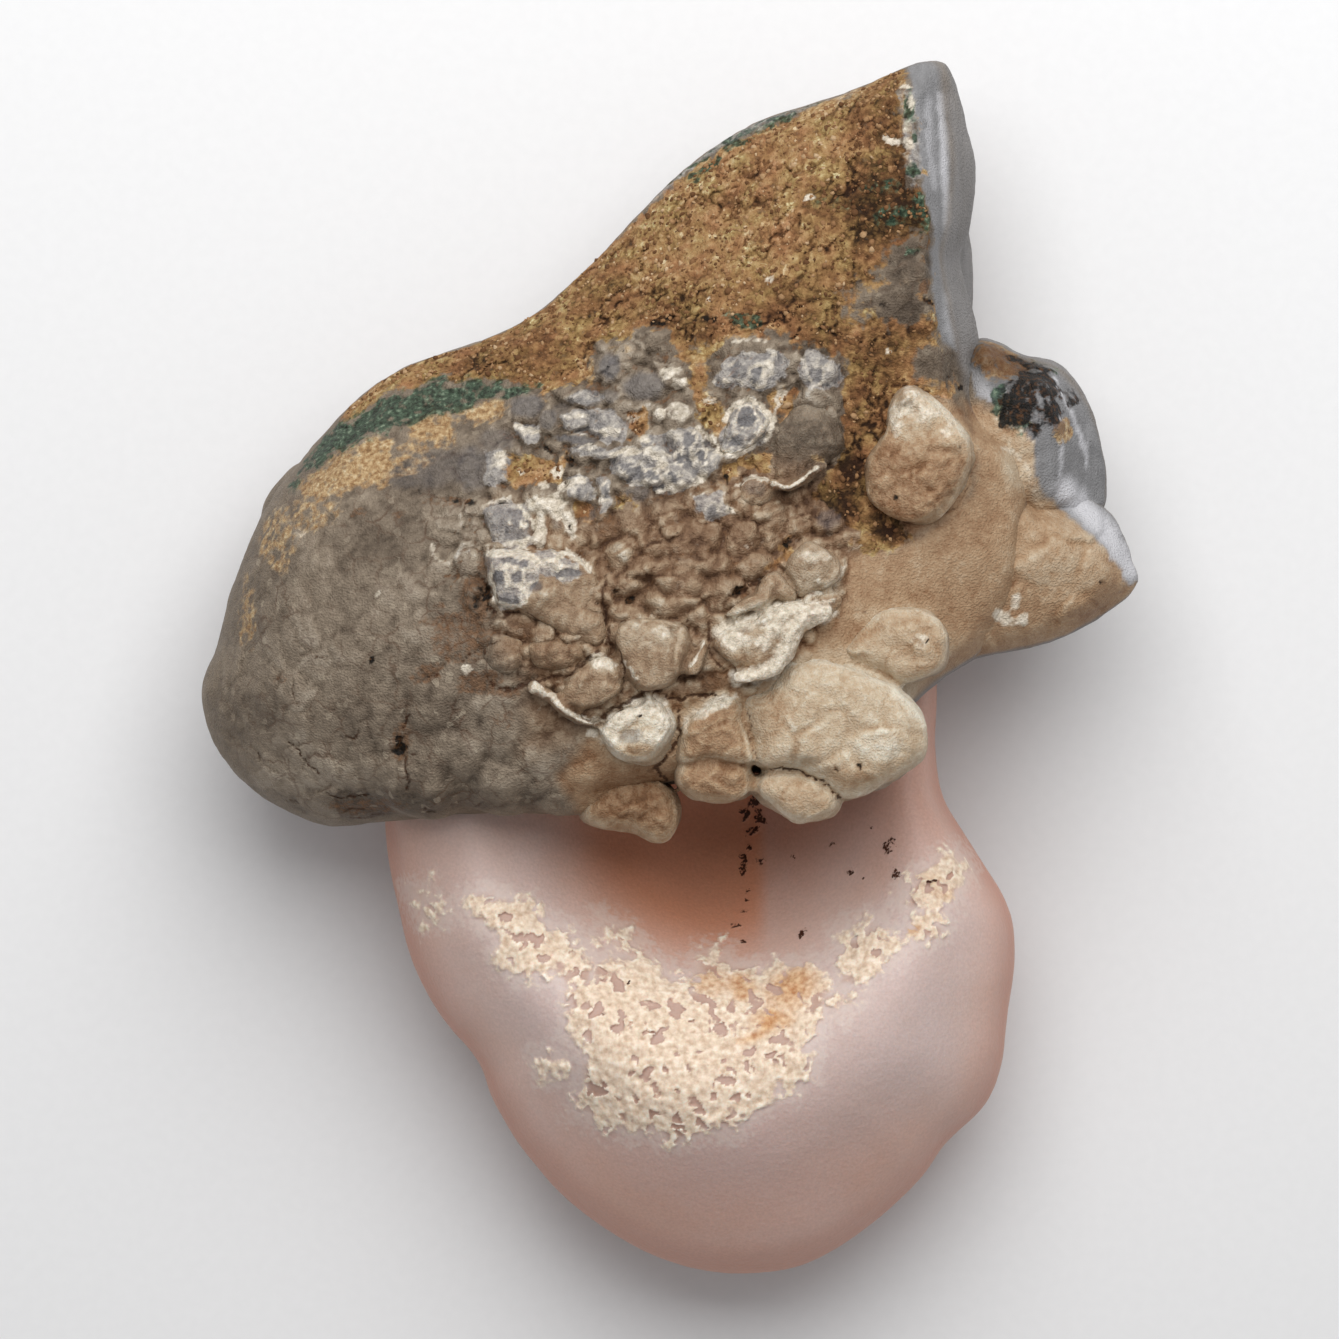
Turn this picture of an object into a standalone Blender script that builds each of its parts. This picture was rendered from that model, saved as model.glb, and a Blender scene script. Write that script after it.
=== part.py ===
"""A hand specimen of pink chalcedony, lying on its back as it rests on a table.

A crust of grey and cream chalcedony that once lined a hollow in rock, seen from the side that was
fixed to the rock, with a smooth pink lobe that grew out from under it. It grew as one stone, so it is
one solid: rounded plates and many lumps are laid over each other, fused, thinned to few faces, and
rubbed flat where the stone touches the table.

Places in the tables are in millimetres: x to the right, y up the stone's length and z above the table.
"""

import math

import bmesh
import bpy
import numpy as np
from mathutils import Matrix, Vector, noise
from mathutils.geometry import delaunay_2d_cdt

MM = 0.001

# Plates
GRID = 0.75  # spacing of the points inside a plate
RIM_STEPS = 4  # points made between two rim points
RIM_INSETS = (0.1, 0.35, 0.7)  # rows of points that follow the rim, to round it well
INSET_SHARE = 0.9  # share of its inset that a row's point keeps from every rim point
UNDER_REACH = 1.2  # the underside curves in over an edge this many times as wide as the top's

# Lumps and bulges
BALL_ROUNDS = 3  # subdivisions of a ball
LUMP_DEPTH = 0.8  # half depth of a wide lump, as a share of its mean half size
STEEP_DEPTH = 2.0  # least half depth of a lump, as a multiple of how proud it stands
LUMP_UNEVEN = 0.10  # how far a ball's surface strays, as a share of its half sizes
BULGE_UNEVEN = 0.06
UNEVEN_SCALE = 1.6
CREAM_SEED = 0.0
GREY_SEED = 100.0
EDGE_SEED = 200.0
BULGE_SEED = 300.0
SEED_STEP = 3.7

# Fusing and resting
FUSE_SIZE = 0.45  # size of the cubes that fuse the shapes
SMOOTH_SHARE = 0.5
SMOOTH_ROUNDS = 2
KEPT_SHARE = 0.115  # share of the fused faces that is kept
TABLE_DEPTH = 5.0
TABLE_WIDTH = 90.0

# Material
PINK_GREY = (0.50, 0.36, 0.32, 1.0)
WAXY_ROUGHNESS = 0.45

# A rim point: x, y, upper z, height of the wall below it, width of the sloping edge, and 1 where
# that edge is a straight break or 0 where it is round
CRUST_RIM = [
    (12.8, 30.4, 12.4, 3.6, 1.6, 0.6),
    (14.0, 30.1, 12.0, 3.6, 2.2, 1.0),
    (14.9, 27.0, 12.0, 4.0, 2.4, 1.0),
    (15.3, 24.9, 12.0, 4.2, 2.5, 1.0),
    (15.0, 21.9, 12.0, 4.2, 2.2, 1.0),
    (14.5, 20.4, 12.2, 4.4, 1.8, 1.0),
    (15.3, 17.4, 12.2, 4.4, 2.2, 1.0),
    (15.9, 13.5, 12.6, 4.0, 2.0, 1.0),
    (17.5, 11.0, 13.0, 3.0, 1.2, 0.6),
    (18.0, 7.5, 13.4, 2.0, 1.0, 0.4),
    (17.4, 3.5, 13.4, 2.0, 1.2, 0.2),
    (15.6, 0.9, 13.4, 1.6, 1.5, 0.0),
    (13.4, -0.6, 13.8, 1.4, 1.5, 0.0),
    (10.5, -3.2, 14.6, 1.2, 1.5, 0.0),
    (7.5, -4.8, 15.2, 1.2, 1.5, 0.0),
    (3.5, -5.2, 15.2, 1.2, 1.5, 0.0),
    (-0.5, -5.8, 15.2, 1.2, 1.5, 0.0),
    (-3.5, -6.8, 14.6, 1.2, 1.8, 0.0),
    (-6.3, -7.2, 14.0, 1.4, 2.2, 0.0),
    (-9.5, -7.1, 13.0, 1.4, 2.8, 0.0),
    (-14.2, -7.6, 11.5, 1.6, 3.2, 0.0),
    (-17.2, -7.8, 10.5, 1.6, 3.5, 0.0),
    (-20.4, -6.4, 9.8, 1.2, 4.5, 0.0),
    (-22.6, -4.1, 9.4, 1.0, 5.0, 0.0),
    (-23.5, -1.2, 9.4, 1.0, 5.0, 0.0),
    (-22.6, 1.4, 9.4, 1.2, 4.5, 0.0),
    (-22.0, 4.0, 9.6, 1.4, 3.8, 0.0),
    (-20.6, 7.5, 9.8, 1.8, 3.2, 0.0),
    (-19.2, 9.6, 10.0, 2.2, 2.6, 0.2),
    (-16.8, 12.4, 10.4, 2.8, 2.0, 0.4),
    (-14.0, 14.8, 10.8, 3.2, 1.6, 0.5),
    (-11.5, 15.8, 11.0, 3.2, 1.2, 0.5),
    (-8.5, 16.8, 11.0, 3.0, 1.0, 0.5),
    (-6.0, 18.4, 10.6, 3.0, 1.0, 0.5),
    (-2.5, 21.8, 10.4, 3.0, 1.0, 0.5),
    (1.0, 25.3, 10.4, 3.0, 1.0, 0.5),
    (4.3, 27.4, 10.6, 3.0, 1.0, 0.5),
    (9.0, 28.9, 11.4, 3.2, 1.0, 0.5),
    (11.5, 30.0, 12.0, 3.4, 1.4, 0.5),
]
# Spots that a plate's top or underside passes through: x, y, z
CRUST_TOP = [
    (12.2, 28.8, 15.0),
    (9.0, 28.0, 13.6),
    (4.5, 26.0, 12.4),
    (0.0, 22.5, 12.2),
    (-4.0, 18.5, 12.6),
    (-9.0, 15.5, 13.2),
    (-14.0, 13.0, 13.4),
    (12.4, 24.0, 16.8),
    (13.0, 18.0, 17.8),
    (6.5, 23.5, 15.6),
    (3.0, 18.5, 16.6),
    (9.0, 18.5, 17.8),
    (-3.5, 15.5, 15.6),
    (-6.0, 12.0, 17.2),
    (-1.0, 12.0, 18.6),
    (4.0, 12.0, 19.0),
    (9.0, 12.5, 18.2),
    (14.0, 13.0, 17.2),
    (-3.5, 6.0, 20.2),
    (1.5, 5.5, 20.6),
    (6.5, 7.5, 19.0),
    (-1.0, 1.0, 20.8),
    (4.0, 1.5, 20.6),
    (8.0, -1.5, 19.2),
    (11.5, 1.5, 18.2),
    (1.5, -3.5, 19.2),
    (-2.5, -3.0, 19.8),
    (-6.0, -4.5, 18.8),
    (-10.5, -4.5, 18.0),
    (-13.5, 3.5, 19.0),
    (-9.0, 4.0, 19.8),
    (-16.0, 6.0, 17.4),
    (-18.5, 3.5, 16.6),
    (-16.0, -1.5, 17.8),
    (-21.0, -1.5, 14.8),
    (-18.5, -5.5, 14.6),
    (-13.5, -5.5, 16.8),
    (15.5, 5.5, 17.2),
    (16.5, 8.5, 16.6),
    (14.5, 10.0, 17.6),
    (15.5, 2.5, 16.4),
]
CRUST_UNDER = [
    (12.0, 28.0, 6.8),
    (4.5, 25.5, 5.8),
    (-4.0, 17.5, 5.4),
    (-14.0, 12.5, 5.4),
    (-21.0, 3.0, 5.6),
    (-21.0, -3.0, 6.0),
    (-16.0, -6.0, 6.8),
    (0.0, 8.0, 4.6),
    (0.0, -3.0, 12.6),
    (8.0, -3.0, 12.6),
    (-7.0, -5.0, 11.4),
    (15.0, 5.0, 9.0),
    (12.0, 18.0, 4.6),
]
# The pink lobe: a broad horseshoe ridge around a hollow that runs back under the crust
LOBE_RIM = [
    (-13.8, -3.5, 7.7, 2.0, 5.0, 0.0),
    (-14.3, -6.5, 7.7, 2.0, 5.5, 0.0),
    (-14.2, -9.0, 7.7, 2.0, 6.0, 0.0),
    (-13.6, -12.2, 7.7, 2.0, 6.5, 0.0),
    (-12.9, -14.7, 7.6, 2.0, 7.0, 0.0),
    (-11.5, -17.5, 7.5, 2.0, 7.5, 0.0),
    (-9.6, -19.7, 7.4, 2.0, 7.5, 0.0),
    (-9.0, -21.5, 7.3, 2.0, 8.0, 0.0),
    (-7.5, -24.0, 7.2, 2.0, 8.5, 0.0),
    (-5.0, -26.8, 7.1, 2.0, 8.5, 0.0),
    (-1.8, -29.0, 7.0, 2.0, 8.5, 0.0),
    (1.5, -30.2, 7.0, 2.0, 8.5, 0.0),
    (4.5, -30.4, 7.0, 2.0, 8.5, 0.0),
    (7.5, -29.7, 7.0, 2.0, 8.5, 0.0),
    (10.5, -27.7, 7.1, 2.0, 8.0, 0.0),
    (12.8, -25.5, 7.3, 2.0, 7.5, 0.0),
    (13.9, -23.9, 7.4, 2.0, 7.0, 0.0),
    (15.8, -22.0, 7.5, 2.0, 7.0, 0.0),
    (16.7, -20.0, 7.6, 2.0, 7.0, 0.0),
    (17.0, -17.5, 7.7, 2.0, 7.0, 0.0),
    (17.4, -14.5, 7.7, 2.0, 6.5, 0.0),
    (17.1, -12.0, 7.8, 2.0, 5.5, 0.0),
    (15.8, -9.8, 8.0, 2.0, 4.4, 0.0),
    (14.4, -7.6, 8.2, 2.0, 3.4, 0.0),
    (13.7, -6.2, 8.4, 2.0, 3.0, 0.0),
    (13.4, -3.5, 8.6, 2.0, 2.8, 0.0),
    (13.4, -1.0, 8.7, 2.0, 2.8, 0.0),
    (13.0, 3.5, 8.7, 2.0, 3.0, 0.0),
    (9.0, 7.5, 8.1, 2.0, 4.0, 0.0),
    (1.5, 9.5, 8.1, 2.0, 4.0, 0.0),
    (-7.5, 7.5, 8.1, 2.0, 4.0, 0.0),
    (-12.0, 2.5, 7.9, 2.0, 4.0, 0.0),
]
LOBE_TOP = [
    (-12.0, -8.5, 13.2),
    (-10.0, -13.0, 14.2),
    (-6.5, -17.0, 14.9),
    (-2.5, -20.0, 15.3),
    (1.5, -21.5, 15.5),
    (5.5, -20.8, 15.4),
    (9.0, -18.0, 15.2),
    (12.0, -14.5, 14.6),
    (13.5, -10.5, 13.2),
    (12.5, -6.5, 11.8),
    (3.5, -26.5, 13.4),
    (-3.5, -24.5, 13.6),
    (9.5, -24.5, 13.6),
    (14.5, -19.5, 13.6),
    (-11.0, -16.5, 13.2),
    (-13.6, -12.0, 12.6),
    (-9.2, -21.5, 12.6),
    (-2.0, -29.0, 12.6),
    (7.5, -29.7, 12.6),
    (13.5, -25.0, 12.8),
    (16.8, -19.0, 13.0),
    (17.2, -13.0, 12.6),
    (-3.5, -11.5, 11.0),
    (-0.5, -13.5, 11.2),
    (2.5, -14.5, 11.4),
    (6.5, -13.5, 11.6),
    (9.5, -10.5, 11.0),
    (2.5, -11.5, 8.0),
    (2.5, -9.0, 6.2),
    (2.5, -6.5, 5.4),
    (-1.0, -9.0, 7.8),
    (6.0, -9.0, 7.8),
    (-5.5, -9.0, 10.6),
    (-8.5, -9.0, 12.6),
    (9.5, -7.5, 10.4),
    (2.5, -3.5, 6.6),
    (-3.5, -3.5, 9.8),
    (9.0, -3.5, 9.6),
]
LOBE_UNDER = [
    (1.5, -19.0, -0.6),
    (-3.5, -11.5, 0.6),
    (9.0, -11.5, 0.8),
    (2.5, -1.5, 0.8),
    (-8.0, -8.0, 1.8),
    (-2.0, 5.0, 1.6),
    (13.0, -3.0, 3.8),
    (2.0, -27.0, 1.4),
    (-9.2, -21.5, 1.6),
    (-2.0, -29.0, 1.4),
    (7.5, -29.7, 1.4),
    (16.0, -21.0, 1.8),
    (-13.0, -13.0, 2.0),
]
# The translucent knob on the right, and the spur below it
KNOB_RIM = [
    (15.1, 16.3, 10.4, 2.0, 1.6, 0.0),
    (16.5, 16.4, 10.4, 2.2, 1.6, 0.3),
    (17.6, 15.8, 10.4, 2.4, 1.6, 0.3),
    (19.5, 15.3, 10.4, 2.6, 1.8, 0.3),
    (20.9, 13.6, 10.6, 2.8, 2.0, 0.3),
    (21.6, 11.5, 10.6, 2.8, 2.0, 0.5),
    (21.9, 9.4, 10.6, 2.8, 1.8, 0.7),
    (21.6, 7.9, 10.6, 2.8, 1.6, 0.7),
    (19.5, 6.5, 10.4, 2.0, 1.5, 0.3),
    (15.5, 8.5, 10.4, 2.0, 1.5, 0.0),
    (14.0, 13.0, 10.4, 2.0, 1.5, 0.0),
]
KNOB_TOP = [
    (16.5, 14.8, 14.6),
    (18.5, 13.5, 15.0),
    (20.2, 12.0, 14.0),
    (19.0, 10.0, 14.6),
    (21.0, 9.5, 12.8),
    (16.5, 10.5, 15.2),
]
KNOB_UNDER = [(16.0, 14.0, 4.4), (20.0, 11.0, 5.6), (17.0, 9.0, 5.0)]
SPUR_RIM = [
    (14.5, 10.0, 12.0, 1.6, 2.0, 0.0),
    (17.5, 9.6, 12.0, 1.6, 2.0, 0.5),
    (20.2, 8.8, 12.0, 1.6, 2.0, 0.8),
    (21.8, 8.1, 12.0, 1.6, 1.8, 0.9),
    (22.8, 6.6, 12.0, 1.6, 1.6, 0.9),
    (23.1, 5.6, 12.0, 1.4, 1.4, 0.9),
    (23.4, 4.4, 12.0, 1.2, 1.2, 0.9),
    (22.5, 3.4, 12.2, 1.2, 1.0, 0.6),
    (20.5, 2.1, 12.4, 1.4, 1.0, 0.4),
    (18.5, 1.2, 12.6, 1.6, 1.2, 0.2),
    (16.5, 0.8, 12.8, 1.6, 1.4, 0.0),
    (14.6, 0.3, 12.8, 1.6, 1.5, 0.0),
    (13.4, -0.6, 12.8, 1.6, 1.5, 0.0),
    (11.5, -1.0, 12.8, 1.6, 1.5, 0.0),
    (9.0, 1.5, 12.8, 1.6, 1.5, 0.0),
    (10.0, 6.5, 12.8, 1.6, 1.5, 0.0),
]
SPUR_TOP = [
    (13.0, 5.0, 17.2),
    (16.5, 7.5, 15.8),
    (19.5, 6.8, 15.2),
    (21.6, 5.2, 14.6),
    (22.6, 4.6, 13.8),
    (19.0, 3.0, 14.9),
    (16.5, 2.2, 15.2),
    (13.5, 1.0, 15.6),
    (20.6, 7.6, 14.0),
]
SPUR_UNDER = [(12.0, 3.0, 7.0), (17.0, 5.0, 7.2), (21.0, 4.8, 8.8), (15.0, 1.5, 8.4)]

# Cream lumps that hang over the crust's edge: x, y, z, half width, half length, half depth, and turn
# in degrees
EDGE_LUMPS = [
    (8.2, -2.6, 16.8, 4.7, 3.7, 4.4, -6),
    (6.3, -6.1, 15.6, 2.4, 1.7, 2.8, -22),
    (11.2, 1.5, 17.2, 2.9, 1.9, 3.0, 4),
    (2.0, -3.6, 16.4, 2.4, 2.6, 3.4, 0),
    (2.1, -5.0, 15.8, 2.0, 1.6, 2.8, 0),
    (2.2, -2.2, 18.6, 1.9, 1.0, 1.8, 32),
    (-1.5, -6.8, 14.8, 2.6, 1.7, 2.4, -33),
    (-4.6, -5.6, 15.6, 3.0, 1.7, 2.4, 8),
    (-8.2, -5.0, 15.0, 2.7, 2.3, 3.0, 0),
    (-12.2, -4.6, 14.2, 2.8, 2.9, 3.6, 0),
    (12.3, 10.6, 17.0, 2.8, 3.6, 3.2, 12),
]
# Lumps on top of the crust: x, y, half width, half length, turn in degrees, and how proud it stands
CREAM_LUMPS = [
    (-1.6, -2.9, 2.1, 1.7, 6, 1.6),
    (7.1, 5.0, 1.6, 1.4, 0, 1.3),
    (4.0, 1.4, 2.2, 1.2, 14, 1.4),
    (3.7, 3.1, 1.4, 0.8, 15, 0.9),
    (5.2, 4.0, 1.0, 0.8, 0, 0.9),
    (-1.0, 0.8, 2.0, 1.9, 0, 1.4),
    (1.2, 0.6, 0.6, 1.0, -28, 0.7),
    (-3.6, -0.9, 1.5, 1.2, 30, 1.0),
    (10.7, 4.3, 2.7, 1.7, -4, 0.4),
    (6.2, 2.3, 1.8, 0.6, 45, 0.8),
]
GREY_LUMPS = [
    (-5.9, 3.0, 2.7, 2.2, 0, 1.1),
    (-5.6, 0.8, 1.5, 1.0, 10, 0.9),
    (-7.9, 0.4, 1.0, 0.9, 0, 0.7),
    (-8.0, -1.6, 2.2, 1.2, 12, 0.5),
    (-6.2, 8.0, 1.4, 0.9, -30, 0.8),
    (-4.9, 7.2, 0.9, 0.8, 0, 0.6),
    (-7.8, 7.4, 1.6, 1.2, 10, 0.6),
    (-4.3, 9.0, 0.9, 1.1, 0, 0.7),
    (-3.1, 8.5, 0.7, 1.1, 0, 0.6),
    (-8.5, 10.1, 0.8, 1.0, -20, 0.6),
    (-6.8, 12.2, 1.0, 1.2, 0, 0.6),
    (-3.9, 12.2, 1.7, 1.1, -8, 0.9),
    (-3.2, 10.9, 1.6, 0.8, 10, 0.7),
    (-3.8, 13.7, 1.4, 0.8, 0, 0.6),
    (-2.8, 14.9, 0.9, 1.0, 0, 0.6),
    (-1.0, 14.0, 1.5, 1.2, 0, 0.7),
    (0.3, 14.4, 0.8, 0.9, 0, 0.8),
    (0.1, 12.5, 1.2, 1.1, 0, 0.9),
    (1.3, 11.2, 1.5, 1.2, -10, 1.0),
    (-1.5, 10.3, 1.8, 1.2, -5, 0.9),
    (0.2, 9.7, 1.3, 1.0, 0, 0.8),
    (-1.4, 8.5, 1.2, 0.8, 0, 0.6),
    (3.8, 12.8, 1.4, 1.5, 0, 1.0),
    (3.4, 11.1, 1.2, 0.8, 10, 0.8),
    (4.0, 14.8, 1.9, 1.3, 0, 0.8),
    (7.1, 14.7, 1.1, 1.4, 0, 0.6),
    (2.2, 14.7, 0.8, 1.0, 0, 0.6),
    (6.7, 11.7, 2.1, 1.9, -20, 1.1),
    (4.2, 9.4, 1.1, 1.1, 0, 0.8),
    (6.3, 9.3, 1.4, 0.7, 35, 1.0),
    (7.8, 7.4, 0.9, 0.9, 0, 0.8),
    (4.6, 7.2, 1.4, 1.1, 0, 0.7),
    (2.2, 8.1, 1.1, 0.9, 0, 0.7),
    (-0.5, 7.7, 1.5, 1.0, 0, 0.7),
    (1.5, 6.8, 1.2, 1.1, 0, 0.7),
    (-1.5, 6.2, 1.2, 0.9, 0, 0.7),
    (0.9, 5.4, 1.4, 1.1, 0, 0.8),
    (-2.5, 5.2, 0.9, 1.1, 0, 0.7),
    (-0.8, 4.7, 1.0, 0.8, 0, 0.7),
    (2.8, 5.6, 0.9, 1.0, 0, 0.8),
    (4.3, 5.6, 1.1, 1.1, 0, 0.7),
    (-0.4, 3.3, 1.5, 0.9, 0, 0.9),
    (1.7, 3.5, 1.2, 1.2, 0, 0.8),
    (-2.5, 3.2, 0.8, 0.9, 0, 0.7),
]
# Smooth bulges under the crust, which the stone rests on with the lobe: x, y, z, half sizes
BULGES = [
    (-13.5, 2.5, 6.6, 8.6, 8.0, 7.3),
    (-17.0, -2.0, 8.0, 5.4, 5.0, 5.8),
    (-16.5, 7.0, 6.6, 4.2, 4.0, 4.2),
    (-8.0, 3.0, 6.0, 5.0, 5.0, 5.3),
    (9.5, 18.5, 6.4, 5.8, 9.6, 7.0),
    (10.8, 25.2, 7.4, 3.6, 4.2, 4.0),
    (5.0, 21.5, 6.6, 4.4, 4.0, 4.4),
    (2.0, 17.0, 7.0, 5.6, 5.4, 5.6),
    (-1.5, 9.0, 8.4, 10.5, 8.2, 8.0),
    (3.5, 12.0, 5.6, 4.6, 4.4, 4.8),
    (-5.0, 12.4, 6.4, 4.4, 4.0, 4.4),
    (-9.5, 9.8, 7.4, 5.6, 4.8, 5.6),
    (12.2, 5.8, 6.6, 5.4, 6.2, 6.9),
    (14.2, 11.5, 7.0, 3.8, 4.2, 4.6),
    (8.0, 9.0, 6.0, 4.4, 4.4, 4.6),
]


def clear_scene():
    for obj in list(bpy.data.objects):
        bpy.data.objects.remove(obj)


def spline_ring(points, steps):
    """A closed Catmull-Rom curve through the points, with the same number of steps between each two."""
    points = np.array(points, float)
    share = np.linspace(0, 1, steps, endpoint=False)[:, None]
    spans = []
    for i in range(len(points)):
        before, start, end, after = (points[(i + k) % len(points)] for k in (-1, 0, 1, 2))
        spans.append(
            start
            + 0.5 * share * (end - before)
            + share**2 * (before - 2.5 * start + 2 * end - 0.5 * after)
            + share**3 * (1.5 * (start - end) + 0.5 * (after - before))
        )
    return np.concatenate(spans)


def surface_through(spots):
    """A function of x and y: the thin-plate surface through spot heights."""
    spots = np.array(spots, float)
    places, heights = spots[:, :2], spots[:, 2]

    def bend(distance):
        return distance**2 * np.log(distance + 1e-9)

    count = len(spots)
    plane = np.hstack([np.ones((count, 1)), places])
    matrix = np.zeros((count + 3, count + 3))
    matrix[:count, :count] = bend(np.linalg.norm(places[:, None] - places[None], axis=2))
    matrix[:count, count:] = plane
    matrix[count:, :count] = plane.T
    weights = np.linalg.solve(matrix, np.append(heights, np.zeros(3)))

    def height(at):
        bent = bend(np.linalg.norm(at[:, None] - places[None], axis=2)) @ weights[:count]
        return bent + weights[count] + at @ weights[count + 1 :]

    return height


def edge_profile(share, straight):
    """How far the surface has risen from the rim: a quarter round, or a straight break."""
    share = np.clip(share, 0, 1)
    return (1 - straight) * np.sqrt(1 - (1 - share) ** 2) + straight * share


def inside(rim, at):
    """Which of the points lie inside the rim."""
    crossings = np.zeros(len(at), int)
    for (x0, y0), (x1, y1) in zip(rim, np.roll(rim, -1, axis=0)):
        spans = (at[:, 1] < y0) != (at[:, 1] < y1)
        across = x0 + (at[:, 1] - y0) * (x1 - x0) / (y1 - y0 + 1e-12)
        crossings += spans & (at[:, 0] < across)
    return crossings % 2 == 1


def inner_points(rim):
    """Points inside a rim that runs clockwise: a few rows that follow it, and a grid clear of them."""
    along = np.roll(rim, -1, axis=0) - np.roll(rim, 1, axis=0)
    inward = np.column_stack([along[:, 1], -along[:, 0]])
    inward /= np.linalg.norm(inward, axis=1)[:, None]
    xs = np.arange(rim[:, 0].min() + GRID / 2, rim[:, 0].max(), GRID)
    ys = np.arange(rim[:, 1].min() + GRID / 2, rim[:, 1].max(), GRID)
    rows = [(rim + inward * inset, inset * INSET_SHARE) for inset in RIM_INSETS]
    rows.append((np.array([(x, y) for x in xs for y in ys]), RIM_INSETS[-1] + GRID / 2))
    kept = []
    for points, clear in rows:
        gap = np.linalg.norm(points[:, None] - rim[None], axis=2).min(1)
        kept.append(points[inside(rim, points) & (gap > clear)])
    return np.concatenate(kept)


def add_plate(shape, rim_points, top_spots, under_spots):
    """A closed plate with this rim seen from above, and a top and an underside through spot heights."""
    ring = spline_ring(rim_points, RIM_STEPS)
    rim = ring[:, :2]
    places = np.concatenate([rim, inner_points(rim)])
    loop = [(i, (i + 1) % len(rim)) for i in range(len(rim))]
    flat, _, faces, *_ = delaunay_2d_cdt([Vector(p) for p in places], loop, [], 1, 1e-6)
    at = np.array([tuple(p) for p in flat])
    distance = np.linalg.norm(at[:, None] - rim[None], axis=2)
    nearest = distance.argmin(1)
    inward = distance.min(1)
    _, _, rim_z, wall, width, straight = ring[nearest].T
    levels = []
    for spots, edge_z, reach in (
        (top_spots, rim_z, width),
        (under_spots, rim_z - wall, width * UNDER_REACH),
    ):
        rise = surface_through(spots)(at) - edge_z
        levels.append(edge_z + rise * edge_profile(inward / reach, straight))
    upper, lower = (
        [shape.verts.new((x, y, z)) for (x, y), z in zip(at, level)] for level in levels
    )
    for face in faces:
        shape.faces.new([upper[i] for i in face])
        shape.faces.new([lower[i] for i in reversed(face)])
    edge = distance.argmin(0)
    for i, j in zip(edge, np.roll(edge, -1)):
        shape.faces.new([upper[i], upper[j], lower[j], lower[i]])


def add_ball(shape, centre, half_sizes, seed, turn=0.0, uneven=LUMP_UNEVEN):
    """A ball stretched to its half sizes, turned, and made a little uneven."""
    place = Matrix.Translation(centre) @ Matrix.Rotation(math.radians(turn), 4, "Z")
    made = bmesh.ops.create_icosphere(shape, subdivisions=BALL_ROUNDS, radius=1.0)["verts"]
    for vert in made:
        swell = 1 + uneven * noise.noise(vert.co * UNEVEN_SCALE + Vector((seed, 0, 0)))
        vert.co = place @ Vector([c * s * swell for c, s in zip(vert.co, half_sizes)])


def add_lumps(shape, lumps, first_seed):
    """Balls sunk in the crust so that what shows of each has the size in its row."""
    crust_height = surface_through(CRUST_TOP)
    for number, (x, y, wide, long, turn, proud) in enumerate(lumps):
        deep = max(STEEP_DEPTH * proud, LUMP_DEPTH * (wide + long) / 2)
        shown = math.sqrt(1 - (1 - proud / deep) ** 2)
        z = float(crust_height(np.array([(x, y)]))[0]) + proud - deep
        half_sizes = (wide / shown, long / shown, deep)
        add_ball(shape, (x, y, z), half_sizes, first_seed + number * SEED_STEP, turn)


def build_specimen():
    shape = bmesh.new()
    add_plate(shape, CRUST_RIM, CRUST_TOP, CRUST_UNDER)
    add_plate(shape, LOBE_RIM, LOBE_TOP, LOBE_UNDER)
    add_plate(shape, KNOB_RIM, KNOB_TOP, KNOB_UNDER)
    add_plate(shape, SPUR_RIM, SPUR_TOP, SPUR_UNDER)
    for number, (x, y, z, wide, long, deep, turn) in enumerate(EDGE_LUMPS):
        add_ball(shape, (x, y, z), (wide, long, deep), EDGE_SEED + number * SEED_STEP, turn)
    add_lumps(shape, CREAM_LUMPS, CREAM_SEED)
    add_lumps(shape, GREY_LUMPS, GREY_SEED)
    for number, (x, y, z, *half_sizes) in enumerate(BULGES):
        add_ball(shape, (x, y, z), half_sizes, BULGE_SEED + number * SEED_STEP, uneven=BULGE_UNEVEN)
    bmesh.ops.recalc_face_normals(shape, faces=shape.faces)
    bmesh.ops.scale(shape, vec=(MM, MM, MM), verts=shape.verts)
    mesh = bpy.data.meshes.new("chalcedony")
    shape.to_mesh(mesh)
    shape.free()
    specimen = bpy.data.objects.new("chalcedony", mesh)
    bpy.context.scene.collection.objects.link(specimen)
    return specimen


def build_table():
    """The cutter that rubs the underside flat where the stone touches the table."""
    shape = bmesh.new()
    bmesh.ops.create_cube(shape, size=1.0)
    size = Vector((TABLE_WIDTH, TABLE_WIDTH, TABLE_DEPTH)) * MM
    bmesh.ops.scale(shape, vec=size, verts=shape.verts)
    bmesh.ops.translate(shape, vec=(0, 0, -TABLE_DEPTH * MM / 2), verts=shape.verts)
    mesh = bpy.data.meshes.new("table_cutter")
    shape.to_mesh(mesh)
    shape.free()
    table = bpy.data.objects.new("table_cutter", mesh)
    bpy.context.scene.collection.objects.link(table)
    table.hide_render = True
    table.display_type = "WIRE"
    return table


def fuse(specimen, table):
    """Joins the overlapping shapes in one skin, thins it, and cuts it flat at the table."""
    remesh = specimen.modifiers.new("Fuse", "REMESH")
    remesh.mode = "VOXEL"
    remesh.voxel_size = FUSE_SIZE * MM
    smooth = specimen.modifiers.new("Soften", "SMOOTH")
    smooth.factor = SMOOTH_SHARE
    smooth.iterations = SMOOTH_ROUNDS
    thin = specimen.modifiers.new("Thin", "DECIMATE")
    thin.ratio = KEPT_SHARE
    cut = specimen.modifiers.new("Rest", "BOOLEAN")
    cut.operation = "DIFFERENCE"
    cut.object = table


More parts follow.
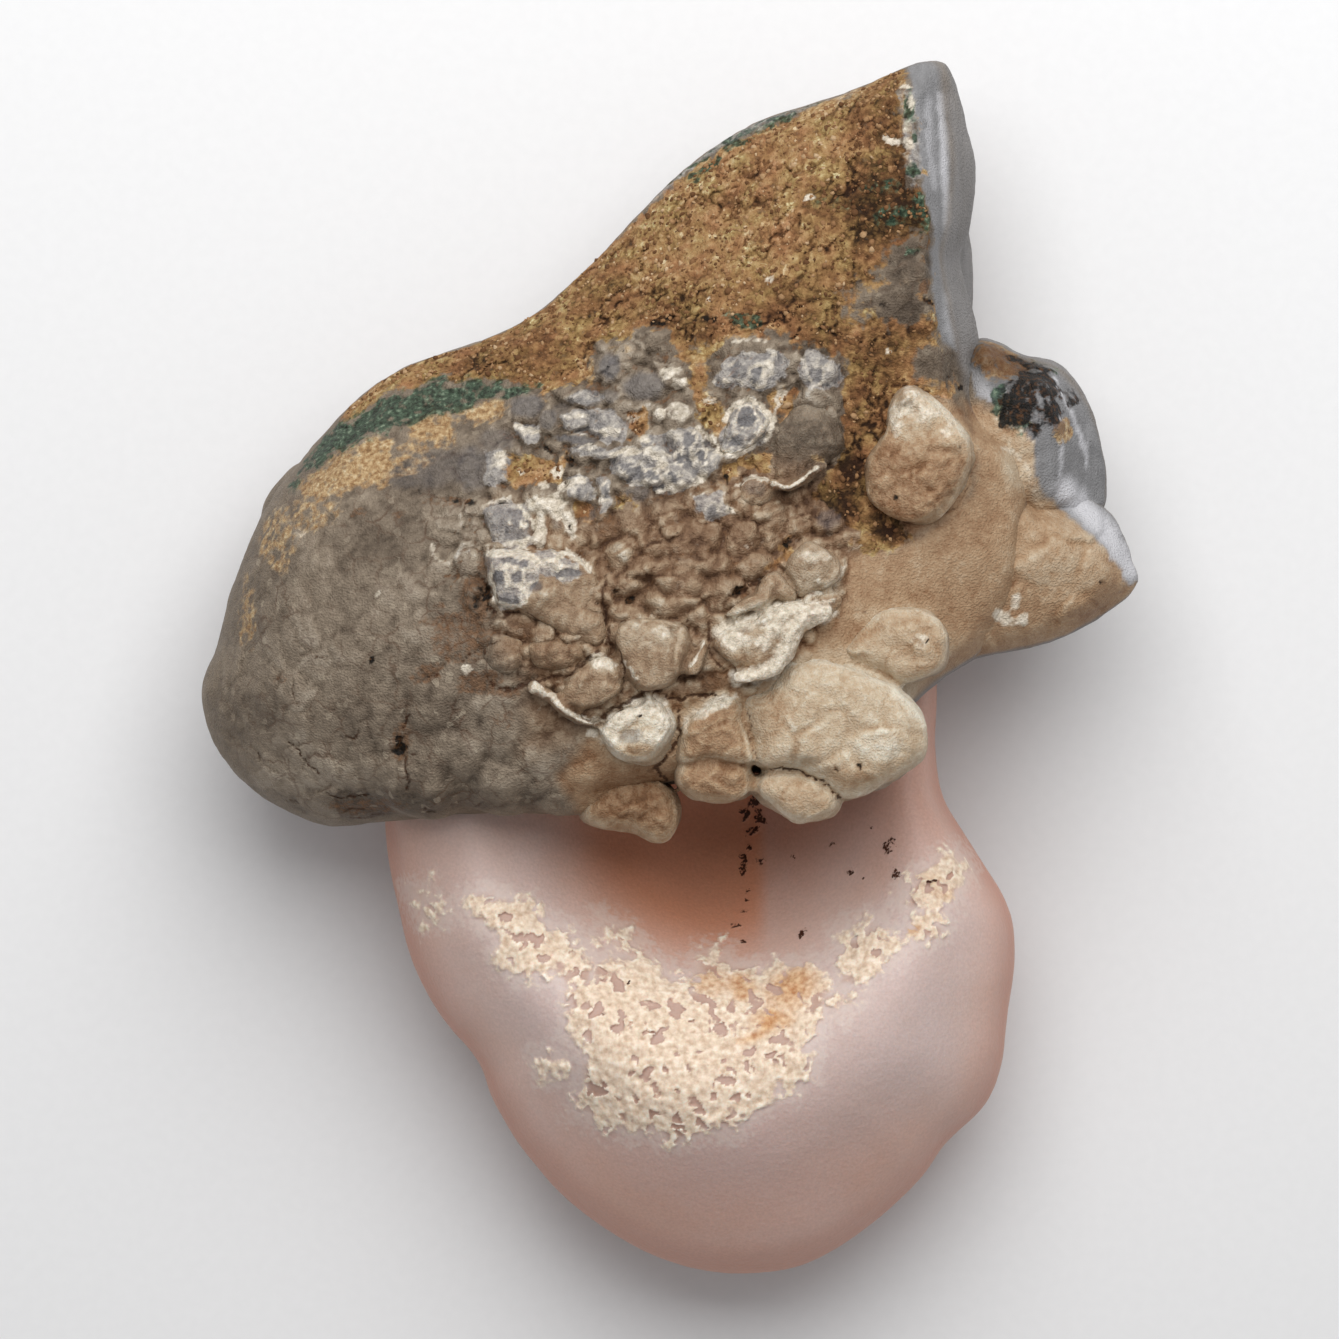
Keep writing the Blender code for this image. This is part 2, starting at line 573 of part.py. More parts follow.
def chalcedony_material():
    material = bpy.data.materials.new("pink_chalcedony")
    material.use_nodes = True
    shader = material.node_tree.nodes["Principled BSDF"]
    shader.inputs["Base Color"].default_value = PINK_GREY
    shader.inputs["Roughness"].default_value = WAXY_ROUGHNESS
    shader.inputs["Metallic"].default_value = 0.0
    return material


def main():
    clear_scene()
    specimen = build_specimen()
    specimen.data.materials.append(chalcedony_material())
    fuse(specimen, build_table())


main()
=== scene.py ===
"""The looks of a pink chalcedony hand specimen, lying on a pale table under soft light.

The stone is rebuilt from the same rims, heights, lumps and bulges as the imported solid, finely enough
to carry the real relief: nodules, sandy skin, cracks, small round cells and the porous patch on the
lobe. Markings are painted on the meshes as point attributes, which the node materials colour.

Places in the tables are in millimetres: x to the right, y up the stone's length and z above the table.
"""

import itertools
import math

import bmesh
import bpy
import numpy as np
from mathutils import Matrix, Vector, noise
from mathutils.geometry import delaunay_2d_cdt


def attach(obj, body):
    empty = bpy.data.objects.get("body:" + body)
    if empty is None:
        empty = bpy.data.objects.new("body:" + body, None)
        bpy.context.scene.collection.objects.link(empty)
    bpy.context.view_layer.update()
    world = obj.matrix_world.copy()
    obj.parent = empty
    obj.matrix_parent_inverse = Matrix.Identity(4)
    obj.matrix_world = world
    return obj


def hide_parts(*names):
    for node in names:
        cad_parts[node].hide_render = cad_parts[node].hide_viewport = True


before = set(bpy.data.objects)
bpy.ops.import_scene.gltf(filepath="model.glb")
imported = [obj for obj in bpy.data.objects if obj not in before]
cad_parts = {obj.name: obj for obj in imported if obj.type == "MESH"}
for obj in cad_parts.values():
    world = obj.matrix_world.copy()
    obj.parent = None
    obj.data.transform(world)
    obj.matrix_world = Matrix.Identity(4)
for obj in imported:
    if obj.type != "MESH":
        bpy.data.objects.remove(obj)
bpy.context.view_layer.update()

MM = 0.001

# Plates: spacing of inner points, steps between rim points, rows of points that follow the rim, and how
# much wider the sloping edge is on the underside
PLATE_GRID = 0.4
RIM_STEPS = 4
RIM_INSETS = (0.1, 0.25, 0.45)
UNDER_REACH = 1.2

# Balls: rounds of division, how uneven they are and how large the unevenness is
BALL_ROUNDS = 4
BULGE_UNEVEN = 0.06
RIDGE_UNEVEN = 0.3
RIDGE_HALF_HEIGHT = 0.7
UNEVEN_SCALE = 1.6
BULGE_SEED = 300.0
SEED_STEP = 3.7

# Fusing: size of the cubes that a piece's skin is made from, and how far each round smooths it
CRUST_CUBE = 0.3
LUMP_CUBE = 0.14
SPUR_CUBE = 0.2
LOBE_CUBE = 0.4
SMOOTH_SHARE = 0.5

# Relief and markings of the crust
CREVICE_DEPTH = 0.12
MIDDLE_LEVEL = 0.4
FROST_RIM = 0.16
# How strongly the materials paint shade into the hollows and light onto the bumps
HOLLOW_SHADING_GAIN = 3.0
BOLD_LUMPS = 3
# How far each marking lies below the surface, or above it where negative
DEPTHS = {"dirt": 0.14, "crack": 0.16, "blue": 0.07, "stain": 0.05, "white": -0.06}
# How far the edge of each marked area fades each way
AREA_EDGES = {
    "sand": 0.4, "cream": 0.4, "glass": 0.12, "warm": 1.2, "green": 0.45, "ochre": 0.5, "frost": 0.25,
}

# Grains: how many, and the shape and step of the random spread of their sizes
GRAIN_COUNT = 2600
GRAIN_SIZE_SHAPE = 9.0
GRAIN_SIZE_STEP = 0.0105

# Inputs and the output of a mix node that mixes colours
MIX_SHARE, MIX_FIRST, MIX_SECOND = 0, 6, 7
MIX_RESULT = 2

# The scene around the stone, in metres
FLOOR_HALF_SIZE = 0.6
FLOOR_DROP = 0.00002
ROOM_TINT = (0.98, 0.98, 1.0, 1)
ROOM_STRENGTH = 0.37
WINDOW_PLACE = (0.015, 0.15, 0.24)
WINDOW_SIZE = 0.26
WINDOW_POWER = 0.88
STONE_MIDDLE = (0, 0, 0.01)
CAMERA_DISTANCE = 0.8
SENSOR_WIDTH = 36
VIEW_WIDTH = 66.95 * MM
FRAMED_HEIGHT = 12 * MM

# A rim point: x, y, upper z, height of the wall below it, width of the sloping edge, and 1 where
# that edge is a straight break or 0 where it is round
CRUST_RIM = [
    (12.8, 30.4, 12.4, 3.6, 1.6, 0.6),
    (14.0, 30.1, 12.0, 3.6, 2.2, 1.0),
    (14.9, 27.0, 12.0, 4.0, 2.4, 1.0),
    (15.3, 24.9, 12.0, 4.2, 2.5, 1.0),
    (15.0, 21.9, 12.0, 4.2, 2.2, 1.0),
    (14.5, 20.4, 12.2, 4.4, 1.8, 1.0),
    (15.3, 17.4, 12.2, 4.4, 2.2, 1.0),
    (15.9, 13.5, 12.6, 4.0, 2.0, 1.0),
    (17.5, 11.0, 13.0, 3.0, 1.2, 0.6),
    (18.0, 7.5, 13.4, 2.0, 1.0, 0.4),
    (17.4, 3.5, 13.4, 2.0, 1.2, 0.2),
    (15.6, 0.9, 13.4, 1.6, 1.5, 0.0),
    (13.4, -0.6, 13.8, 1.4, 1.5, 0.0),
    (10.5, -3.2, 14.6, 1.2, 1.5, 0.0),
    (7.5, -4.8, 15.2, 1.2, 1.5, 0.0),
    (3.5, -5.2, 15.2, 1.2, 1.5, 0.0),
    (-0.5, -5.8, 15.2, 1.2, 1.5, 0.0),
    (-3.5, -6.8, 14.6, 1.2, 1.8, 0.0),
    (-6.3, -7.2, 14.0, 1.4, 2.2, 0.0),
    (-9.5, -7.1, 13.0, 1.4, 2.8, 0.0),
    (-14.2, -7.6, 11.5, 1.6, 3.2, 0.0),
    (-17.2, -7.8, 10.5, 1.6, 3.5, 0.0),
    (-20.4, -6.4, 9.8, 1.2, 4.5, 0.0),
    (-22.6, -4.1, 9.4, 1.0, 5.0, 0.0),
    (-23.5, -1.2, 9.4, 1.0, 5.0, 0.0),
    (-22.6, 1.4, 9.4, 1.2, 4.5, 0.0),
    (-22.0, 4.0, 9.6, 1.4, 3.8, 0.0),
    (-20.6, 7.5, 9.8, 1.8, 3.2, 0.0),
    (-19.2, 9.6, 10.0, 2.2, 2.6, 0.2),
    (-16.8, 12.4, 10.4, 2.8, 2.0, 0.4),
    (-14.0, 14.8, 10.8, 3.2, 1.6, 0.5),
    (-11.5, 15.8, 11.0, 3.2, 1.2, 0.5),
    (-8.5, 16.8, 11.0, 3.0, 1.0, 0.5),
    (-6.0, 18.4, 10.6, 3.0, 1.0, 0.5),
    (-2.5, 21.8, 10.4, 3.0, 1.0, 0.5),
    (1.0, 25.3, 10.4, 3.0, 1.0, 0.5),
    (4.3, 27.4, 10.6, 3.0, 1.0, 0.5),
    (9.0, 28.9, 11.4, 3.2, 1.0, 0.5),
    (11.5, 30.0, 12.0, 3.4, 1.4, 0.5),
]
# Spots that a plate's top or underside passes through: x, y, z
CRUST_TOP = [
    (12.2, 28.8, 15.0),
    (9.0, 28.0, 13.6),
    (4.5, 26.0, 12.4),
    (0.0, 22.5, 12.2),
    (-4.0, 18.5, 12.6),
    (-9.0, 15.5, 13.2),
    (-14.0, 13.0, 13.4),
    (12.4, 24.0, 16.8),
    (13.0, 18.0, 17.8),
    (6.5, 23.5, 15.6),
    (3.0, 18.5, 16.6),
    (9.0, 18.5, 17.8),
    (-3.5, 15.5, 15.6),
    (-6.0, 12.0, 17.2),
    (-1.0, 12.0, 18.6),
    (4.0, 12.0, 19.0),
    (9.0, 12.5, 18.2),
    (14.0, 13.0, 17.2),
    (-3.5, 6.0, 20.2),
    (1.5, 5.5, 20.6),
    (6.5, 7.5, 19.0),
    (-1.0, 1.0, 20.8),
    (4.0, 1.5, 20.6),
    (8.0, -1.5, 19.2),
    (11.5, 1.5, 18.2),
    (1.5, -3.5, 19.2),
    (-2.5, -3.0, 19.8),
    (-6.0, -4.5, 18.8),
    (-10.5, -4.5, 18.0),
    (-13.5, 3.5, 19.0),
    (-9.0, 4.0, 19.8),
    (-16.0, 6.0, 17.4),
    (-18.5, 3.5, 16.6),
    (-16.0, -1.5, 17.8),
    (-21.0, -1.5, 14.8),
    (-18.5, -5.5, 14.6),
    (-13.5, -5.5, 16.8),
    (15.5, 5.5, 17.2),
    (16.5, 8.5, 16.6),
    (14.5, 10.0, 17.6),
    (15.5, 2.5, 16.4),
]
CRUST_UNDER = [
    (12.0, 28.0, 6.8),
    (4.5, 25.5, 5.8),
    (-4.0, 17.5, 5.4),
    (-14.0, 12.5, 5.4),
    (-21.0, 3.0, 5.6),
    (-21.0, -3.0, 6.0),
    (-16.0, -6.0, 6.8),
    (0.0, 8.0, 4.6),
    (0.0, -3.0, 12.6),
    (8.0, -3.0, 12.6),
    (-7.0, -5.0, 11.4),
    (15.0, 5.0, 9.0),
    (12.0, 18.0, 4.6),
]
# The pink lobe: a broad horseshoe ridge around a hollow that runs back under the crust
LOBE_RIM = [
    (-13.8, -3.5, 7.7, 2.0, 5.0, 0.0),
    (-14.3, -6.5, 7.7, 2.0, 5.5, 0.0),
    (-14.2, -9.0, 7.7, 2.0, 6.0, 0.0),
    (-13.6, -12.2, 7.7, 2.0, 6.5, 0.0),
    (-12.9, -14.7, 7.6, 2.0, 7.0, 0.0),
    (-11.5, -17.5, 7.5, 2.0, 7.5, 0.0),
    (-9.6, -19.7, 7.4, 2.0, 7.5, 0.0),
    (-9.0, -21.5, 7.3, 2.0, 8.0, 0.0),
    (-7.5, -24.0, 7.2, 2.0, 8.5, 0.0),
    (-5.0, -26.8, 7.1, 2.0, 8.5, 0.0),
    (-1.8, -29.0, 7.0, 2.0, 8.5, 0.0),
    (1.5, -30.2, 7.0, 2.0, 8.5, 0.0),
    (4.5, -30.4, 7.0, 2.0, 8.5, 0.0),
    (7.5, -29.7, 7.0, 2.0, 8.5, 0.0),
    (10.5, -27.7, 7.1, 2.0, 8.0, 0.0),
    (12.8, -25.5, 7.3, 2.0, 7.5, 0.0),
    (13.9, -23.9, 7.4, 2.0, 7.0, 0.0),
    (15.8, -22.0, 7.5, 2.0, 7.0, 0.0),
    (16.7, -20.0, 7.6, 2.0, 7.0, 0.0),
    (17.0, -17.5, 7.7, 2.0, 7.0, 0.0),
    (17.4, -14.5, 7.7, 2.0, 6.5, 0.0),
    (17.1, -12.0, 7.8, 2.0, 5.5, 0.0),
    (15.8, -9.8, 8.0, 2.0, 4.4, 0.0),
    (14.4, -7.6, 8.2, 2.0, 3.4, 0.0),
    (13.7, -6.2, 8.4, 2.0, 3.0, 0.0),
    (13.4, -3.5, 8.6, 2.0, 2.8, 0.0),
    (13.4, -1.0, 8.7, 2.0, 2.8, 0.0),
    (13.0, 3.5, 8.7, 2.0, 3.0, 0.0),
    (9.0, 7.5, 8.1, 2.0, 4.0, 0.0),
    (1.5, 9.5, 8.1, 2.0, 4.0, 0.0),
    (-7.5, 7.5, 8.1, 2.0, 4.0, 0.0),
    (-12.0, 2.5, 7.9, 2.0, 4.0, 0.0),
]
LOBE_TOP = [
    (-12.0, -8.5, 13.2),
    (-10.0, -13.0, 14.2),
    (-6.5, -17.0, 14.9),
    (-2.5, -20.0, 15.3),
    (1.5, -21.5, 15.5),
    (5.5, -20.8, 15.4),
    (9.0, -18.0, 15.2),
    (12.0, -14.5, 14.6),
    (13.5, -10.5, 13.2),
    (12.5, -6.5, 11.8),
    (3.5, -26.5, 13.4),
    (-3.5, -24.5, 13.6),
    (9.5, -24.5, 13.6),
    (14.5, -19.5, 13.6),
    (-11.0, -16.5, 13.2),
    (-13.6, -12.0, 12.6),
    (-9.2, -21.5, 12.6),
    (-2.0, -29.0, 12.6),
    (7.5, -29.7, 12.6),
    (13.5, -25.0, 12.8),
    (16.8, -19.0, 13.0),
    (17.2, -13.0, 12.6),
    (-3.5, -11.5, 11.0),
    (-0.5, -13.5, 11.2),
    (2.5, -14.5, 11.4),
    (6.5, -13.5, 11.6),
    (9.5, -10.5, 11.0),
    (2.5, -11.5, 8.0),
    (2.5, -9.0, 6.2),
    (2.5, -6.5, 5.4),
    (-1.0, -9.0, 7.8),
    (6.0, -9.0, 7.8),
    (-5.5, -9.0, 10.6),
    (-8.5, -9.0, 12.6),
    (9.5, -7.5, 10.4),
    (2.5, -3.5, 6.6),
    (-3.5, -3.5, 9.8),
    (9.0, -3.5, 9.6),
]
LOBE_UNDER = [
    (1.5, -19.0, -0.6),
    (-3.5, -11.5, 0.6),
    (9.0, -11.5, 0.8),
    (2.5, -1.5, 0.8),
    (-8.0, -8.0, 1.8),
    (-2.0, 5.0, 1.6),
    (13.0, -3.0, 3.8),
    (2.0, -27.0, 1.4),
    (-9.2, -21.5, 1.6),
    (-2.0, -29.0, 1.4),
    (7.5, -29.7, 1.4),
    (16.0, -21.0, 1.8),
    (-13.0, -13.0, 2.0),
]
# The translucent knob on the right, and the spur below it
KNOB_RIM = [
    (15.1, 16.3, 10.4, 2.0, 1.6, 0.0),
    (16.5, 16.4, 10.4, 2.2, 1.6, 0.3),
    (17.6, 15.8, 10.4, 2.4, 1.6, 0.3),
    (19.5, 15.3, 10.4, 2.6, 1.8, 0.3),
    (20.9, 13.6, 10.6, 2.8, 2.0, 0.3),
    (21.6, 11.5, 10.6, 2.8, 2.0, 0.5),
    (21.9, 9.4, 10.6, 2.8, 1.8, 0.7),
    (21.6, 7.9, 10.6, 2.8, 1.6, 0.7),
    (19.5, 6.5, 10.4, 2.0, 1.5, 0.3),
    (15.5, 8.5, 10.4, 2.0, 1.5, 0.0),
    (14.0, 13.0, 10.4, 2.0, 1.5, 0.0),
]
KNOB_TOP = [
    (16.5, 14.8, 14.6),
    (18.5, 13.5, 15.0),
    (20.2, 12.0, 14.0),
    (19.0, 10.0, 14.6),
    (21.0, 9.5, 12.8),
    (16.5, 10.5, 15.2),
]
KNOB_UNDER = [(16.0, 14.0, 4.4), (20.0, 11.0, 5.6), (17.0, 9.0, 5.0)]
SPUR_RIM = [
    (14.5, 10.0, 12.0, 1.6, 2.0, 0.0),
    (17.5, 9.6, 12.0, 1.6, 2.0, 0.5),
    (20.2, 8.8, 12.0, 1.6, 2.0, 0.8),
    (21.8, 8.1, 12.0, 1.6, 1.8, 0.9),
    (22.8, 6.6, 12.0, 1.6, 1.6, 0.9),
    (23.1, 5.6, 12.0, 1.4, 1.4, 0.9),
    (23.4, 4.4, 12.0, 1.2, 1.2, 0.9),
    (22.5, 3.4, 12.2, 1.2, 1.0, 0.6),
    (20.5, 2.1, 12.4, 1.4, 1.0, 0.4),
    (18.5, 1.2, 12.6, 1.6, 1.2, 0.2),
    (16.5, 0.8, 12.8, 1.6, 1.4, 0.0),
    (14.6, 0.3, 12.8, 1.6, 1.5, 0.0),
    (13.4, -0.6, 12.8, 1.6, 1.5, 0.0),
    (11.5, -1.0, 12.8, 1.6, 1.5, 0.0),
    (9.0, 1.5, 12.8, 1.6, 1.5, 0.0),
    (10.0, 6.5, 12.8, 1.6, 1.5, 0.0),
]
SPUR_TOP = [
    (13.0, 5.0, 17.2),
    (16.5, 7.5, 15.8),
    (19.5, 6.8, 15.2),
    (21.6, 5.2, 14.6),
    (22.6, 4.6, 13.8),
    (19.0, 3.0, 14.9),
    (16.5, 2.2, 15.2),
    (13.5, 1.0, 15.6),
    (20.6, 7.6, 14.0),
]
SPUR_UNDER = [(12.0, 3.0, 7.0), (17.0, 5.0, 7.2), (21.0, 4.8, 8.8), (15.0, 1.5, 8.4)]
# Smooth bulges, which the stone rests on with the lobe: x, y, z, half sizes
BULGES = [
    (-13.5, 2.5, 6.6, 8.6, 8.0, 7.3),
    (-17.0, -2.0, 8.0, 5.4, 5.0, 5.8),
    (-16.5, 7.0, 6.6, 4.2, 4.0, 4.2),
    (-8.0, 3.0, 6.0, 5.0, 5.0, 5.3),
    (9.5, 18.5, 6.4, 5.8, 9.6, 7.0),
    (10.8, 25.2, 7.4, 3.6, 4.2, 4.0),
    (5.0, 21.5, 6.6, 4.4, 4.0, 4.4),
    (2.0, 17.0, 7.0, 5.6, 5.4, 5.6),
    (-1.5, 9.0, 8.4, 10.5, 8.2, 8.0),
    (3.5, 12.0, 5.6, 4.6, 4.4, 4.8),
    (-5.0, 12.4, 6.4, 4.4, 4.0, 4.4),
    (-9.5, 9.8, 7.4, 5.6, 4.8, 5.6),
    (12.2, 5.8, 6.6, 5.4, 6.2, 6.9),
    (14.2, 11.5, 7.0, 3.8, 4.2, 4.6),
    (8.0, 9.0, 6.0, 4.4, 4.4, 4.6),
]
# Low swellings along the crust's lower left edge: x, y, z, half width, half length, half depth
EDGE_SWELLINGS = [
    (-4.6, -5.6, 15.6, 3.0, 1.7, 2.4),
    (-8.2, -5.0, 15.0, 2.7, 2.3, 3.0),
    (-12.2, -4.6, 14.2, 2.8, 2.9, 3.6),
]

# Lumps that stand on the crust: how proud, width of the round edge, outline seen from above
TOP_LUMPS = [
    (1.0, 0.9, [(-8.9, 5.9), (-9.0, 4.7), (-8.7, 3.3), (-7.6, 2.9), (-6.4, 2.2), (-4.8, 1.4), (-3.4, 1.0),
        (-3.0, 2.2), (-3.3, 3.2), (-3.3, 4.4), (-4.0, 5.2), (-5.2, 5.9), (-7.0, 6.0)]),
    (0.8, 0.6, [(-7.0, 1.2), (-6.6, 0.2), (-5.6, -0.1), (-4.6, 0.2), (-4.1, 0.9), (-4.9, 1.5),
        (-6.0, 1.6)]),
    (0.7, 0.5, [(-9.1, 1.0), (-8.8, 0.1), (-8.0, -0.2), (-7.3, 0.3), (-7.3, 1.2), (-8.2, 1.6)]),
    (1.1, 0.6, [(-5.5, -1.5), (-4.4, -2.1), (-3.2, -1.9), (-2.3, -1.2), (-2.3, -0.2), (-2.9, 0.7),
        (-3.6, 0.8), (-4.6, 0.1), (-5.2, -0.6)]),
    (1.5, 0.7, [(-3.7, -3.1), (-3.2, -2.3), (-2.5, -1.8), (-1.6, -1.6), (-1.0, -1.3), (-0.2, -1.6),
        (0.3, -2.6), (0.1, -3.3), (-0.2, -3.9), (-1.0, -4.7), (-2.4, -4.6), (-3.2, -3.9)]),
    (1.4, 0.7, [(-2.9, 1.6), (-2.6, 0.5), (-2.1, -0.6), (-1.5, -1.3), (-0.6, -1.2), (0.3, -0.8),
        (0.8, 0.2), (1.2, 1.4), (0.8, 2.3), (-0.4, 2.6), (-1.6, 2.7), (-2.5, 2.4)]),
    (0.9, 0.4, [(0.7, -0.3), (1.0, 0.6), (1.6, 1.5), (1.9, 1.4), (1.9, 0.5), (1.5, -0.4)]),
    (1.4, 0.7, [(2.1, 1.5), (2.2, 0.8), (2.8, 0.2), (3.6, 0.0), (4.4, -0.1), (5.1, 0.2), (5.6, 1.0),
        (5.8, 1.8), (6.4, 2.4), (7.0, 2.9), (6.6, 3.2), (5.8, 3.3), (4.9, 3.0), (4.1, 2.5), (3.0, 2.3)]),
    (1.0, 0.4, [(2.6, 2.7), (3.3, 3.4), (4.2, 3.9), (5.2, 4.0), (5.1, 3.2), (4.1, 2.8), (3.1, 2.5)]),
    (1.1, 0.5, [(4.2, 3.9), (4.7, 4.6), (5.3, 4.9), (5.9, 4.3), (6.2, 3.5), (5.5, 3.4)]),
    (1.3, 0.6, [(5.7, 5.0), (6.2, 6.0), (6.9, 6.5), (7.8, 6.1), (8.6, 5.3), (8.5, 4.4), (7.7, 3.9),
        (6.6, 3.6), (6.1, 4.2)]),
    (0.8, 0.4, [(6.3, 3.2), (7.2, 3.6), (8.2, 3.9), (8.5, 3.3), (7.5, 2.7), (6.7, 2.5)]),
    (1.0, 1.0, [(4.8, 10.6), (5.0, 11.8), (5.9, 12.7), (6.6, 13.1), (7.6, 12.8), (8.3, 12.1), (8.6, 11.0),
        (8.0, 10.3), (7.2, 9.8), (6.2, 9.2), (5.2, 9.3)]),
    (0.9, 0.6, [(2.7, 12.2), (3.2, 13.2), (4.0, 13.4), (4.7, 12.9), (5.1, 12.2), (4.6, 11.4), (3.9, 10.8),
        (3.1, 10.5), (2.4, 10.8), (2.5, 11.5)]),
    (0.8, 0.5, [(3.4, 8.6), (3.5, 9.3), (4.3, 9.6), (5.2, 9.3), (5.2, 8.5), (4.4, 8.0), (3.6, 8.0)]),
    (0.6, 0.6, [(-9.2, 7.8), (-8.2, 8.3), (-7.0, 8.2), (-6.7, 7.3), (-6.7, 6.2), (-7.8, 6.0),
        (-8.9, 6.3)]),
    (1.9, 0.9, [(10.8, 12.9), (11.3, 13.7), (12.0, 14.0), (13.0, 13.6), (14.0, 12.7), (14.9, 11.7),
        (15.2, 10.8), (15.1, 9.9), (14.6, 8.9), (13.7, 7.9), (12.8, 7.2), (11.8, 7.1), (10.8, 7.4),
        (9.9, 8.1), (9.6, 9.2), (9.8, 10.6), (10.4, 11.8)]),
]
# Lumps that hang over the crust's edge: z of the rim, of the top and of the underside, width of the
# round edge, and outline
EDGE_LUMPS = [
    (18.8, 20.9, 13.0, 1.4, [(3.7, -1.2), (4.6, -0.8), (5.3, 0.1), (6.0, 0.6), (7.5, 0.7), (8.8, 0.4),
        (9.8, 0.0), (11.2, -0.7), (12.3, -1.8), (12.7, -3.0), (12.6, -4.2), (11.6, -5.2), (10.6, -5.8),
        (9.6, -6.2), (8.6, -6.4), (7.8, -5.8), (6.9, -5.3), (6.2, -5.0), (5.0, -5.1), (4.2, -4.6),
        (4.0, -3.4), (3.6, -2.4)]),
    (17.8, 20.2, 13.0, 0.8, [(4.1, -5.6), (4.6, -5.0), (5.4, -4.9), (6.3, -4.9), (7.4, -5.3), (8.3, -6.0),
        (8.5, -6.7), (8.1, -7.3), (7.3, -7.6), (6.4, -7.7), (5.6, -7.4), (4.9, -6.9), (4.3, -6.4)]),
    (18.2, 19.8, 14.4, 0.9, [(8.4, 0.8), (8.9, 1.6), (9.8, 2.4), (10.5, 2.8), (11.2, 3.1), (12.6, 3.0),
        (13.3, 2.5), (13.8, 1.8), (13.9, 0.9), (13.6, 0.0), (12.6, -0.6), (11.6, -0.8), (10.4, -0.3),
        (9.2, 0.1)]),
    (19.0, 20.5, 14.0, 0.7, [(0.5, -3.6), (0.8, -2.6), (1.6, -1.8), (2.3, -1.3), (3.0, -1.1), (3.6, -1.4),
        (3.7, -2.4), (4.0, -3.4), (4.2, -4.6), (3.2, -4.7), (2.0, -4.5), (1.0, -4.7), (0.5, -4.4)]),
    (18.0, 20.0, 13.0, 0.8, [(0.3, -5.1), (0.7, -4.6), (1.4, -4.3), (2.6, -4.2), (3.7, -4.5), (4.2, -5.2),
        (4.1, -6.1), (3.3, -6.6), (2.2, -6.6), (1.4, -6.5), (0.7, -6.2), (0.3, -5.7)]),
    (15.6, 17.8, 12.6, 0.8, [(-3.9, -5.8), (-3.4, -5.3), (-2.0, -5.1), (-0.6, -5.2), (0.2, -5.9),
        (0.6, -6.8), (0.5, -7.7), (-0.1, -8.5), (-0.8, -8.6), (-1.5, -8.2), (-2.2, -7.9), (-3.5, -7.8),
        (-4.4, -7.2)]),
]
# Raised bands on the crust: half width, height over it and the points they pass through
RIDGES = [
    (0.36, 0.95, [(7.6, 2.9), (6.8, 2.7), (6.2, 2.1), (5.9, 1.4), (5.6, 0.7), (5.1, 0.0), (4.3, -0.3),
        (3.4, -0.4)]),
    (0.22, 0.5, [(-6.7, -0.9), (-5.9, -1.3), (-5.2, -2.0), (-4.5, -2.5), (-3.9, -2.7)]),
    (0.22, 0.8, [(5.1, 9.2), (5.9, 9.0), (6.5, 9.3), (7.1, 9.8), (7.5, 10.1)]),
]

